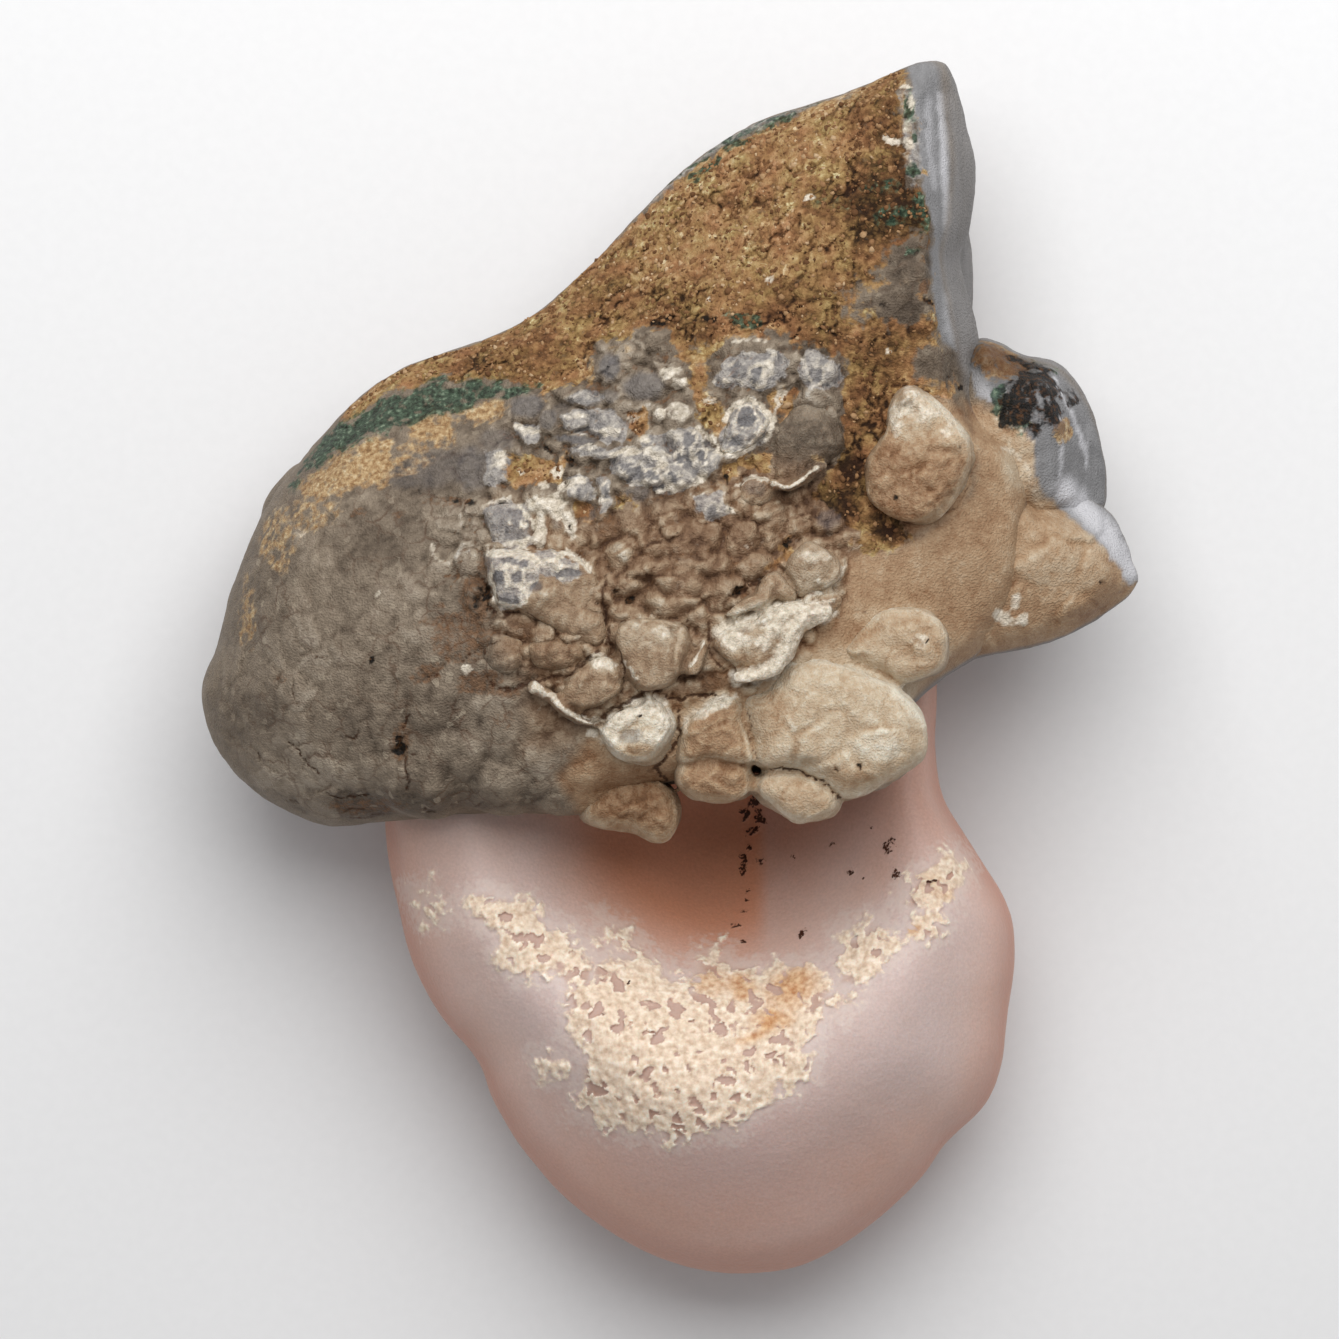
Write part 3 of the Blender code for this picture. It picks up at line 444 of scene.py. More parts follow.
# Nodules on the crust: x, y, half width, half length, turn in degrees, and how proud it stands
NODULES = [
    (-3.1, 15.1, 0.7, 0.8, 0, 0.5), (-0.7, 16.3, 1.0, 0.8, 0, 0.5), (-2.2, 15.8, 0.8, 0.5, 0, 0.3),
    (-1.3, 14.0, 1.1, 0.8, -10, 0.6), (0.1, 14.4, 0.9, 0.6, 10, 0.6), (-0.5, 12.7, 0.4, 0.4, 0, 0.6),
    (0.4, 12.6, 0.9, 0.9, 0, 0.8), (-4.3, 13.4, 1.1, 0.5, -8, 0.6), (-4.6, 12.4, 1.1, 0.6, 0, 0.6),
    (-3.0, 12.2, 0.9, 0.7, 0, 0.6), (-4.6, 11.4, 1.1, 0.4, -5, 0.4), (-3.8, 10.8, 1.3, 0.5, 8, 0.6),
    (-7.2, 13.1, 1.0, 0.8, 0, 0.4), (-6.0, 12.4, 0.7, 0.7, 0, 0.4), (-7.0, 11.7, 0.9, 0.5, -15, 0.6),
    (-8.6, 10.0, 0.7, 1.0, -15, 0.5), (-1.0, 11.3, 0.9, 0.7, 10, 0.6), (-0.9, 10.5, 0.9, 0.6, 0, 0.7),
    (1.0, 11.2, 1.1, 0.9, -20, 0.8), (1.8, 10.3, 0.9, 0.8, 0, 0.7), (0.4, 9.7, 1.1, 0.8, 0, 0.8),
    (-0.9, 9.7, 0.8, 0.6, 0, 0.7), (-2.2, 10.2, 0.9, 0.8, 0, 0.7), (-1.7, 8.8, 1.1, 0.6, 0, 0.5),
    (-4.4, 8.9, 0.8, 0.8, 0, 0.9), (-3.2, 8.4, 0.6, 1.3, 0, 0.7), (2.0, 13.6, 0.8, 0.5, 0, 0.3),
    (4.2, 14.8, 1.5, 1.1, 0, 0.7), (2.7, 14.7, 0.7, 0.7, 0, 0.5), (4.4, 16.0, 1.6, 0.7, 0, 0.4),
    (7.2, 14.9, 1.2, 1.1, 0, 0.6), (7.5, 13.4, 1.1, 1.0, 0, 0.5), (5.6, 13.6, 0.4, 0.7, -30, 0.5),
    (1.8, 8.1, 1.1, 0.9, 0, 0.6), (3.3, 7.7, 0.5, 0.4, 0, 0.5), (-0.4, 7.8, 1.2, 0.8, 0, 0.5),
    (-1.9, 7.3, 0.9, 0.8, 0, 0.5), (0.9, 6.4, 1.9, 1.1, 0, 0.6), (-0.9, 6.3, 0.9, 0.8, 0, 0.4),
    (3.7, 6.5, 1.0, 1.0, 0, 0.6), (5.0, 7.6, 0.9, 0.8, 0, 0.5), (-2.6, 5.6, 0.8, 0.7, 0, 0.6),
    (-3.0, 6.9, 0.7, 0.6, 0, 0.3), (-1.4, 5.1, 0.9, 0.6, 0, 0.6), (0.6, 5.2, 1.3, 0.7, 0, 0.5),
    (2.4, 5.3, 1.0, 0.8, 0, 0.6), (4.3, 5.2, 1.1, 0.9, 20, 0.6), (-2.1, 4.2, 0.9, 0.5, 0, 0.5),
    (0.6, 4.3, 1.4, 0.8, 0, 0.7), (2.3, 4.0, 1.0, 0.9, 0, 0.6), (-0.2, 3.2, 1.5, 0.8, -5, 0.8),
    (1.3, 2.6, 0.8, 0.7, 0, 0.6), (-2.5, 3.0, 0.6, 0.6, 0, 0.5), (7.9, 7.4, 0.8, 0.8, 0, 0.6),
    (6.4, 7.2, 0.7, 0.6, 0, 0.3), (9.4, 6.3, 1.0, 0.5, -10, 0.4), (6.5, 8.6, 0.7, 0.5, 30, 0.4),
    (-5.3, 7.2, 0.6, 0.8, 0, 0.4), (-6.0, 8.1, 1.0, 0.5, 0, 0.4), (-5.4, 6.4, 0.7, 0.5, 0, 0.3),
    (-11.2, 7.0, 0.9, 0.8, 0, 0.22), (-10.0, 6.6, 0.7, 0.8, 0, 0.25), (-11.1, 5.4, 0.8, 0.8, 0, 0.22),
    (-9.8, 5.2, 0.7, 0.7, 0, 0.25), (-11.0, 4.0, 0.8, 0.7, 0, 0.2), (-9.8, 7.9, 0.7, 0.6, 0, 0.2),
    (-7.6, 2.2, 0.9, 0.6, 0, 0.4), (-6.1, 2.0, 0.8, 0.6, 0, 0.3), (-12.6, 6.2, 0.9, 0.8, 0, 0.12),
    (-11.4, -2.0, 1.5, 1.3, 0, 0.26), (-10.6, -4.2, 1.8, 1.5, 10, 0.3), (-8.4, -3.4, 1.2, 1.4, 0, 0.28),
    (-9.0, -1.9, 1.2, 0.8, 0, 0.2), (-6.5, -4.4, 1.2, 1.1, 0, 0.32), (-6.8, -2.4, 1.3, 1.0, -20, 0.25),
    (-8.2, -5.6, 1.3, 1.0, 0, 0.34), (-11.2, -6.1, 1.4, 0.9, 0, 0.3), (-6.0, -6.2, 1.3, 0.9, 0, 0.34),
    (-4.9, -3.9, 1.0, 0.9, 0, 0.3), (-4.4, -5.4, 1.0, 0.9, 0, 0.3), (-14.6, -5.4, 1.3, 1.1, 0, 0.14),
    (-16.6, -4.6, 1.4, 1.1, 0, 0.12), (-15.0, -2.2, 1.5, 1.2, 0, 0.1), (-17.6, -2.4, 1.4, 1.2, 0, 0.1),
    (-16.8, 1.6, 1.6, 1.2, 0, 0.08), (-19.6, -1.4, 1.3, 1.2, 0, 0.1), (-18.8, -5.6, 1.3, 0.9, 0, 0.12),
    (-14.0, 0.6, 1.5, 1.2, 0, 0.08), (-12.4, 1.2, 1.2, 1.0, 0, 0.1), (-13.2, 4.4, 1.4, 1.1, 0, 0.08),
    (-15.4, 5.4, 1.4, 1.1, 0, 0.08), (-17.6, 5.0, 1.3, 1.2, 0, 0.08), (-19.4, 2.4, 1.4, 1.2, 0, 0.08),
    (-14.6, 7.2, 1.3, 0.9, 0, 0.1), (-16.9, 7.6, 1.0, 0.8, 0, 0.1), (-20.8, 4.8, 1.0, 1.2, 0, 0.1),
    (-11.9, 10.0, 1.3, 1.0, 0, 0.12), (-9.9, 11.0, 1.2, 1.3, 0, 0.15), (-13.4, 9.4, 1.0, 0.9, 0, 0.12),
]
# Where small nodules fill the gaps between those
NODULE_FIELD = [
    (-9.2, 8.6), (-9.4, 10.6), (-8.2, 12.6), (-5.8, 14.2), (-3.8, 16.2), (-0.4, 17.0), (1.6, 15.4),
    (3.2, 16.8), (6.0, 16.7), (8.8, 15.6), (8.9, 12.5), (8.6, 10.0), (8.8, 8.0), (8.6, 6.3), (9.0, 5.4),
    (8.6, 3.2), (6.0, 0.0), (3.4, -1.4), (0.5, -2.0), (-2.0, -3.2), (-4.5, -2.9), (-7.0, -0.8),
    (-9.2, 0.4), (-9.6, 3.2), (-11.6, 4.0), (-11.8, 7.6), (-10.0, 8.4),
]

# Areas of the crust's top: outlines
OUTLINES = {
    "sand": [
        [(11.5, 31.0), (11.7, 29.6), (11.8, 28.5), (12.2, 27.5), (12.3, 26.2), (12.0, 25.3), (12.6, 24.7),
         (12.4, 23.8), (12.9, 22.8), (13.1, 21.8), (13.0, 20.8), (13.1, 18.5), (13.4, 17.3), (13.6, 16.3),
         (14.2, 15.6), (14.6, 14.8), (13.8, 13.4), (12.4, 13.6), (11.6, 13.2), (11.2, 12.4), (10.6, 11.6),
         (10.2, 10.4), (10.1, 9.2), (10.5, 8.4), (11.3, 7.6), (12.1, 7.0), (12.1, 6.4), (10.9, 5.8),
         (9.4, 5.9), (8.9, 6.4), (9.8, 6.8), (8.8, 7.2), (8.4, 8.0), (7.4, 8.2), (6.9, 8.6), (7.5, 9.6),
         (8.2, 10.2), (8.7, 11.0), (8.5, 12.4), (8.7, 14.0), (8.7, 15.6), (7.8, 16.0), (6.2, 16.1),
         (5.9, 16.5), (4.4, 16.6), (3.0, 16.3), (2.4, 15.7), (1.2, 15.2), (0.4, 15.6), (0.3, 16.8),
         (-1.4, 17.1), (-2.0, 16.4), (-3.4, 16.4), (-4.0, 15.4), (-3.9, 14.3), (-5.6, 14.2), (-6.2, 13.4),
         (-6.6, 14.0), (-8.0, 14.3), (-9.0, 14.4), (-10.6, 14.2), (-11.4, 14.8), (-12.6, 14.2),
         (-14.6, 13.6), (-15.6, 12.9), (-17.2, 12.0), (-18.6, 10.8), (-19.4, 9.4), (-22.0, 9.0),
         (-20.0, 13.0), (-15.0, 17.0), (-11.0, 18.5), (-3.0, 24.5), (4.0, 30.0), (9.0, 32.0)],
        [(-8.1, 10.8), (-6.8, 10.6), (-5.6, 10.4), (-5.1, 10.9), (-4.9, 10.1), (-5.6, 9.3), (-6.6, 9.2),
         (-7.8, 8.8), (-8.3, 9.4)],
        [(-2.4, 12.8), (-1.3, 12.8), (-0.9, 12.2), (-1.4, 11.6), (-1.9, 11.3), (-2.1, 12.2)],
        [(1.0, 15.2), (1.8, 14.8), (2.2, 14.0), (1.7, 13.6), (2.4, 13.3), (2.7, 12.6), (2.3, 11.7),
         (1.7, 12.0), (1.2, 12.6), (1.2, 13.3), (0.9, 13.9)],
        [(2.5, 10.1), (3.4, 10.4), (4.4, 10.9), (4.9, 10.8), (4.8, 10.1), (5.0, 9.6), (3.6, 9.8),
         (3.0, 9.2), (2.5, 9.5)],
        [(5.0, 13.4), (5.5, 13.9), (6.3, 13.9), (6.4, 13.1), (5.6, 12.5), (5.2, 12.6)],
        [(-4.9, 8.3), (-4.0, 8.2), (-3.8, 7.5), (-4.3, 7.3), (-4.8, 7.8)],
        [(-2.7, 8.5), (-1.8, 8.5), (-1.6, 8.0), (-2.6, 7.9)],
        [(5.4, 6.1), (5.9, 6.5), (6.1, 5.7), (5.5, 5.2), (4.9, 5.0)],
    ],
    "green": [
        [(-19.2, 9.2), (-18.6, 10.6), (-17.2, 12.0), (-15.8, 12.8), (-14.6, 13.3), (-13.0, 13.9),
         (-11.5, 14.7), (-10.8, 14.2), (-8.6, 14.3), (-7.0, 14.3), (-6.4, 14.1), (-8.2, 13.7),
         (-9.6, 13.6), (-10.4, 13.0), (-11.8, 12.7), (-13.2, 12.3), (-14.6, 11.9), (-15.9, 11.0),
         (-17.2, 10.4), (-18.2, 9.6), (-18.7, 8.9)],
    ],
    "ochre": [
        [(-18.7, 9.2), (-17.6, 10.0), (-16.6, 10.8), (-15.6, 11.1), (-14.6, 11.8), (-13.8, 11.4),
         (-13.9, 10.0), (-14.2, 9.0), (-15.2, 9.3), (-16.0, 8.9), (-17.2, 8.7), (-18.2, 8.4)],
        [(-13.0, 12.2), (-12.2, 12.7), (-11.0, 12.6), (-10.7, 12.0), (-10.9, 11.2), (-11.8, 11.1),
         (-12.9, 11.5)],
        [(-10.6, 13.0), (-9.2, 13.5), (-8.0, 13.3), (-8.3, 12.7), (-9.6, 12.3)],
        [(15.4, 16.8), (17.2, 16.4), (18.4, 15.8), (18.2, 14.9), (17.0, 14.6), (15.9, 14.6),
         (15.4, 15.4)],
    ],
    "cream": [
        [(8.6, 3.4), (8.8, 5.4), (9.6, 5.9), (11.0, 5.8), (12.4, 6.6), (13.8, 7.6), (15.0, 8.8),
         (15.2, 10.3), (15.2, 11.2), (16.8, 10.6), (17.7, 9.6), (18.2, 8.5), (20.4, 8.2), (22.0, 6.6),
         (23.0, 5.0), (24.0, 3.0), (22.0, 0.0), (14.0, -3.0), (13.0, -9.0), (-3.0, -10.0), (-4.6, -7.0),
         (-5.6, -5.4), (-3.9, -3.2), (-0.5, -1.2), (2.0, -1.2), (2.2, 0.6), (6.0, 0.4), (6.4, 2.4)],
        [(9.4, 9.4), (10.6, 13.4), (12.0, 14.4), (14.6, 13.0), (15.6, 11.0), (14.6, 7.6), (12.0, 6.6),
         (9.8, 7.8)],
        [(14.6, 13.4), (16.0, 13.0), (17.2, 12.4), (18.3, 12.2), (18.3, 9.0), (16.0, 9.8), (15.0, 11.4)],
    ],
    "glass": [
        [(11.7, 32.0), (12.0, 29.4), (12.3, 27.5), (12.4, 25.0), (12.7, 23.4), (13.1, 22.0), (13.0, 20.0),
         (13.2, 18.0), (13.5, 16.4), (14.6, 15.6), (15.0, 14.6), (15.3, 13.6), (16.6, 13.2), (17.2, 12.4),
         (18.1, 11.4), (18.2, 9.8), (18.6, 8.8), (19.8, 7.8), (21.2, 6.6), (22.3, 5.2), (22.9, 4.2),
         (25.0, 5.0), (25.0, 18.0), (17.0, 32.0)],
    ],
    "frost": [
        [(-2.9, 10.9), (-2.4, 11.1), (-1.4, 10.9), (-1.2, 11.6), (-0.5, 11.8), (0.2, 11.9), (1.2, 11.9),
         (1.7, 11.5), (2.3, 11.1), (2.4, 10.2), (2.2, 9.9), (1.2, 9.2), (0.6, 8.8), (0.0, 8.7),
         (-0.6, 8.9), (-1.0, 9.2), (-2.0, 9.2), (-2.6, 9.5), (-3.0, 10.1)],
        [(-5.6, 12.8), (-4.6, 13.0), (-3.2, 12.9), (-2.4, 12.6), (-2.1, 12.0), (-2.2, 11.4), (-3.0, 11.2),
         (-3.6, 11.6), (-4.5, 11.8), (-5.4, 12.1)],
        [(-4.9, 13.9), (-3.4, 13.9), (-3.2, 13.4), (-4.2, 13.2), (-5.2, 13.4)],
        [(-5.0, 11.1), (-3.6, 11.0), (-2.6, 10.9), (-2.8, 10.5), (-4.2, 10.5), (-4.8, 10.7)],
        [(2.7, 12.6), (3.2, 13.3), (4.0, 13.4), (4.7, 12.9), (5.1, 12.2), (4.6, 11.4), (4.0, 10.9),
         (3.2, 10.5), (2.4, 10.7), (2.4, 11.2), (2.6, 11.8)],
        [(2.2, 14.6), (3.0, 15.4), (4.2, 15.8), (5.2, 15.9), (5.9, 15.5), (5.7, 14.5), (5.0, 13.9),
         (4.0, 13.9), (3.2, 14.1), (2.6, 13.9), (2.2, 14.1)],
        [(6.4, 14.6), (6.4, 15.4), (7.2, 15.9), (8.0, 15.7), (8.5, 15.0), (8.5, 14.2), (7.8, 13.8),
         (6.8, 13.9)],
        [(-9.3, 8.0), (-8.4, 8.4), (-7.0, 8.2), (-6.9, 7.0), (-6.6, 6.2), (-7.6, 5.9), (-8.7, 6.3),
         (-9.3, 7.2)],
        [(-9.0, 5.9), (-7.9, 5.9), (-6.6, 5.8), (-5.8, 5.8), (-4.4, 5.4), (-4.2, 4.7), (-5.0, 4.4),
         (-6.2, 4.6), (-6.8, 3.9), (-7.0, 3.3), (-8.4, 3.1), (-8.9, 4.0)],
        [(-5.1, 9.5), (-4.4, 9.7), (-3.8, 9.3), (-3.8, 8.6), (-4.4, 8.3), (-5.1, 8.5)],
        [(-3.7, 9.8), (-3.0, 9.5), (-2.8, 8.6), (-3.0, 7.8), (-3.5, 7.8), (-3.6, 8.8)],
        [(-9.2, 10.8), (-8.0, 10.8), (-8.0, 9.8), (-8.4, 9.0), (-9.1, 9.2)],
        [(-7.8, 12.2), (-6.4, 12.0), (-6.2, 11.6), (-7.0, 11.3), (-7.6, 11.6)],
        [(1.2, 8.7), (2.6, 8.7), (2.9, 8.0), (2.7, 7.4), (1.8, 7.4), (1.1, 8.0)],
    ],
    "warm": [
        [(-8.6, 8.4), (-4.0, 7.6), (-1.0, 8.4), (4.0, 10.4), (9.0, 9.6), (12.0, 6.0), (9.0, -2.0),
         (-1.5, -2.4), (-7.0, -4.0), (-7.0, -1.0), (-8.6, 1.0), (-8.4, 3.0)],
    ],
}

# Spots on the crust's top: x, y, half width, half length, turn in degrees, strength
SPOTS = {
    "crackle": [
        (-10.6, 1.6, 3.0, 2.6, 0, 1.0), (-13.2, -4.0, 1.0, 1.8, 0, 1.0), (-14.6, -6.8, 2.8, 0.9, 0, 0.9),
        (-17.6, -3.6, 2.4, 2.0, 0, 0.6), (-9.4, -2.2, 2.2, 1.6, 0, 0.7), (-10.8, 7.0, 1.8, 1.8, 0, 0.8),
        (-20.4, 4.4, 1.2, 3.4, 10, 0.7), (-12.4, -0.4, 1.4, 1.0, 0, 0.9), (-7.6, -4.8, 1.6, 1.4, 0, 0.5),
        (-14.8, 7.8, 1.6, 0.6, 0, 0.7), (-11.6, -6.4, 2.6, 0.7, 0, 0.7),
    ],
    "clear": [
        (11.9, 19.9, 1.5, 1.5, 0, 0.95), (11.2, 18.2, 2.2, 1.1, 0, 0.95), (13.5, 15.2, 1.5, 1.2, 0, 0.95),
        (9.4, 17.6, 1.0, 0.6, 0, 0.6), (12.4, 21.4, 0.8, 0.6, 0, 0.6), (1.6, 16.0, 1.0, 0.5, 0, 0.3),
    ],
    "white": [
        (3.2, 1.4, 0.9, 0.45, 0, 0.8), (11.6, 13.0, 0.8, 0.4, 30, 0.7), (12.8, 12.8, 0.7, 0.3, -20, 0.6),
        (11.2, 12.0, 0.4, 0.5, 0, 0.5), (13.8, 11.8, 0.4, 0.4, -30, 0.4), (2.0, -1.9, 1.2, 0.35, 25, 0.7),
        (7.6, 3.0, 0.9, 0.25, -20, 0.7), (7.2, 5.6, 0.8, 0.35, 0, 0.35), (-0.2, 1.9, 0.9, 0.4, 0, 0.3),
        (-1.2, -1.8, 1.1, 0.5, 10, 1.0), (-2.5, -2.5, 0.8, 0.45, 30, 1.0),
        (-0.2, -2.5, 0.45, 0.6, 0, 1.0), (-3.8, -3.2, 0.35, 0.2, 0, 1.0), (-2.9, -3.4, 0.5, 0.5, 0, 0.8),
        (-0.9, -3.3, 0.6, 0.4, 0, 0.7), (-3.3, 0.4, 0.7, 0.35, -20, 0.8), (-0.5, 12.7, 0.35, 0.3, 0, 0.9),
        (0.4, 12.8, 0.6, 0.5, 0, 0.55), (-4.9, 7.2, 0.35, 0.7, 10, 0.9), (-6.2, 8.1, 0.9, 0.4, -10, 0.95),
        (-5.5, 8.4, 0.5, 0.3, -30, 0.9), (-6.4, 6.7, 0.3, 0.8, 0, 0.9), (-5.6, 7.7, 0.4, 0.3, 0, 0.8),
        (-7.1, 11.9, 0.7, 0.25, -15, 0.8), (-8.4, 10.5, 0.4, 0.3, -10, 0.6),
        (-4.7, 12.6, 0.7, 0.2, 0, 0.6), (-3.0, 11.8, 0.6, 0.3, 0, 0.7), (0.0, 14.7, 0.6, 0.25, 10, 0.8),
        (0.5, 14.2, 0.4, 0.3, 0, 0.7), (2.0, 13.3, 0.4, 0.2, 0, 0.6), (5.5, 13.6, 0.2, 0.4, -30, 0.8),
        (-1.8, 12.5, 0.3, 0.2, 0, 0.5), (12.2, 12.8, 0.9, 0.6, -25, 0.45), (12.0, 13.7, 0.4, 0.3, 0, 0.5),
        (16.6, 2.6, 0.6, 0.35, -15, 0.75), (17.2, 3.4, 0.3, 0.4, 0, 0.55), (17.5, 2.5, 0.3, 0.35, 0, 0.8),
        (12.4, 1.4, 0.45, 0.4, 0, 0.5), (-10.0, 0.0, 0.28, 0.18, 0, 1.0), (6.9, 23.5, 0.28, 0.2, 0, 1.0),
        (11.1, 26.35, 0.5, 0.18, -15, 1.0), (11.8, 29.0, 0.3, 0.12, 0, 0.8),
        (12.05, 28.3, 0.15, 0.4, 0, 0.7), (11.9, 26.1, 0.3, 0.3, 0, 0.7), (-4.9, 9.2, 0.2, 0.3, 0, 0.8),
        (-18.4, 6.8, 0.4, 0.25, -30, 0.35), (-14.4, 3.8, 0.16, 0.12, 0, 0.5),
        (-4.4, 9.4, 0.5, 0.2, 0, 0.8), (4.9, 19.4, 0.2, 0.15, 0, 0.8), (2.0, 18.4, 0.15, 0.12, 0, 0.8),
        (10.8, 15.8, 0.16, 0.12, 0, 0.7), (-5.6, 9.8, 0.3, 0.4, -40, 0.8), (-5.3, 9.0, 0.3, 0.25, 0, 0.7),
        (-6.2, 9.1, 0.3, 0.2, 0, 0.6), (-7.4, 9.9, 0.25, 0.15, -40, 0.7), (-0.9, 10.7, 0.9, 0.2, -8, 0.7),
        (-2.0, 10.8, 0.6, 0.25, 0, 0.6), (-1.2, 11.4, 0.3, 0.2, 0, 0.6), (0.3, 11.6, 0.5, 0.3, 0, 0.5),
        (0.4, 9.1, 0.6, 0.15, 10, 0.7), (1.5, 9.5, 0.4, 0.2, 40, 0.5), (-0.4, 10.1, 0.3, 0.4, 0, 0.6),
        (-1.4, 10.2, 0.4, 0.2, 0, 0.5), (4.9, 14.9, 0.3, 0.5, 0, 0.5), (4.6, 14.1, 0.4, 0.15, 20, 0.7),
        (2.85, 14.3, 0.15, 0.2, 0, 0.8), (6.7, 15.2, 0.2, 0.4, 0, 0.5), (7.9, 15.0, 0.3, 0.2, 0, 0.5),
        (2.6, 8.3, 0.2, 0.3, 0, 0.5), (-7.2, 3.3, 0.3, 0.15, 0, 0.6), (-6.0, 5.2, 0.7, 0.25, -5, 0.6),
        (-6.8, 4.9, 0.3, 0.3, 0, 0.6), (9.2, 6.0, 0.4, 0.1, 20, 0.5), (3.9, 6.1, 0.3, 0.2, 0, 0.3),
        (13.9, 12.4, 0.4, 0.3, -40, 0.4),
    ],
    "blue": [
        (-1.0, 11.4, 0.2, 0.3, 0, 0.7), (0.9, 11.4, 0.35, 0.4, 0, 0.8), (0.8, 10.8, 0.3, 0.3, 0, 0.7),
        (0.5, 10.5, 0.25, 0.2, 0, 0.7), (1.6, 10.5, 0.2, 0.35, 15, 0.8), (1.9, 11.2, 0.2, 0.25, 0, 0.7),
        (0.9, 10.2, 0.3, 0.25, 0, 0.7), (0.1, 9.5, 0.3, 0.3, 0, 0.9), (-0.9, 9.6, 0.4, 0.25, 0, 0.7),
        (-1.7, 9.7, 0.5, 0.3, 0, 0.7), (-2.3, 10.1, 0.5, 0.3, 0, 0.6), (-1.6, 8.7, 0.7, 0.35, 0, 0.5),
        (1.2, 9.8, 0.3, 0.2, 0, 0.5), (-8.4, 4.6, 0.36, 0.36, 0, 0.9), (-7.9, 5.4, 0.5, 0.2, 0, 0.6),
        (-7.2, 5.2, 0.3, 0.25, 0, 0.8), (-7.5, 4.6, 0.35, 0.35, 0, 0.6), (-6.6, 4.1, 0.35, 0.25, 30, 0.7),
        (-5.0, 4.8, 0.7, 0.3, -5, 0.7), (-7.9, 3.5, 0.55, 0.25, -10, 0.7), (3.8, 12.5, 0.5, 0.5, 0, 0.9),
        (3.3, 11.3, 0.45, 0.3, 0, 0.6), (4.3, 14.6, 0.35, 0.45, 0, 0.8), (3.4, 14.8, 0.5, 0.4, 0, 0.5),
        (7.3, 14.6, 0.35, 0.4, 0, 0.6), (7.6, 15.2, 0.3, 0.2, 0, 0.4), (2.1, 7.8, 0.4, 0.3, 0, 0.7),
        (1.4, 7.9, 0.2, 0.2, 0, 0.6), (-3.2, 8.8, 0.22, 0.4, 0, 0.8), (-4.4, 8.7, 0.3, 0.3, 0, 0.4),
        (-3.0, 15.1, 0.55, 0.7, 0, 0.8), (-7.1, 13.1, 0.9, 0.6, 0, 0.7), (-1.3, 14.1, 1.1, 0.75, 0, 0.7),
        (-4.7, 11.4, 1.0, 0.22, -5, 0.9), (-3.9, 10.8, 1.0, 0.2, 8, 0.4),
        (-7.8, 7.2, 1.2, 0.9, -20, 0.55), (-5.6, 7.2, 0.3, 0.3, 0, 0.4), (-9.8, 10.0, 0.9, 1.2, 0, 0.5),
        (-4.2, 13.3, 0.9, 0.2, -8, 0.5), (-6.0, 12.4, 0.5, 0.5, 0, 0.6), (-8.6, 10.0, 0.3, 0.5, 0, 0.4),
        (-1.9, -3.3, 0.7, 0.35, 10, 0.6), (-3.0, 13.6, 0.5, 0.3, 0, 0.5), (4.2, 9.0, 0.6, 0.4, 0, 0.35),
        (7.9, 7.4, 0.6, 0.5, 0, 0.45), (-11.6, 10.0, 1.8, 1.0, 10, 0.35), (-13.2, 9.6, 1.0, 0.6, 0, 0.3),
        (-8.6, 11.4, 0.9, 0.6, 0, 0.4), (3.6, 2.0, 0.5, 0.2, 0, 0.3), (-5.4, 12.9, 0.5, 0.4, 0, 0.3),
        (-3.8, 7.8, 0.2, 0.4, 0, 0.3),
    ],
    "dirt": [
        (17.4, 13.2, 1.0, 1.1, 0, 1.0), (18.5, 14.3, 1.3, 0.6, -25, 1.0), (19.0, 12.8, 0.6, 0.8, 0, 0.95),
        (17.9, 15.3, 1.4, 0.25, -15, 0.9), (16.8, 12.4, 0.5, 0.6, 0, 0.8), (18.1, 11.9, 0.5, 0.4, 0, 0.6),
        (20.0, 13.6, 0.6, 0.5, -40, 0.6), (2.0, 17.4, 0.5, 0.3, 0, 0.6), (-0.4, 17.3, 0.6, 0.3, 0, 0.6),
        (-13.3, -3.9, 0.35, 0.3, 0, 1.0), (-13.4, -3.4, 0.25, 0.2, 0, 0.8), (-9.5, 3.6, 0.3, 0.7, 0, 0.6),
        (-9.0, 3.6, 0.15, 0.7, 0, 0.9), (5.8, 6.2, 0.22, 0.3, 0, 1.0), (3.4, 3.9, 0.3, 0.2, 20, 0.9),
        (-1.9, 3.4, 0.25, 0.2, 30, 0.9), (-14.7, 0.4, 0.12, 0.1, 0, 0.8),
        (8.3, -4.95, 0.14, 0.09, 0, 0.7), (9.35, -4.75, 0.12, 0.14, 0, 0.8),
        (-1.5, -2.3, 0.16, 0.1, -20, 0.8), (21.6, 4.4, 0.2, 0.11, 10, 1.0),
        (12.75, 1.4, 0.09, 0.09, 0, 0.8), (11.2, 8.5, 0.14, 0.18, 0, 0.4),
        (14.4, 11.1, 0.1, 0.18, 0, 0.5), (14.8, 20.5, 0.3, 0.6, -30, 1.0), (18.7, 3.7, 0.12, 0.1, 0, 0.5),
        (17.4, 13.2, 0.5, 0.7, 0, 1.0), (18.3, 14.2, 0.9, 0.4, -20, 0.9), (19.0, 12.6, 0.35, 0.5, 0, 0.9),
        (18.4, 15.2, 0.6, 0.2, -20, 0.8), (17.3, 14.1, 0.6, 0.4, 0, 0.8),
        (-6.0, 10.9, 0.3, 0.15, -40, 0.8), (-5.0, 10.4, 0.12, 0.4, 20, 0.8),
        (-2.6, 3.9, 0.3, 0.1, 20, 0.7), (-4.2, -5.0, 0.3, 0.2, 0, 0.3), (2.8, 9.4, 0.15, 0.4, 0, 0.6),
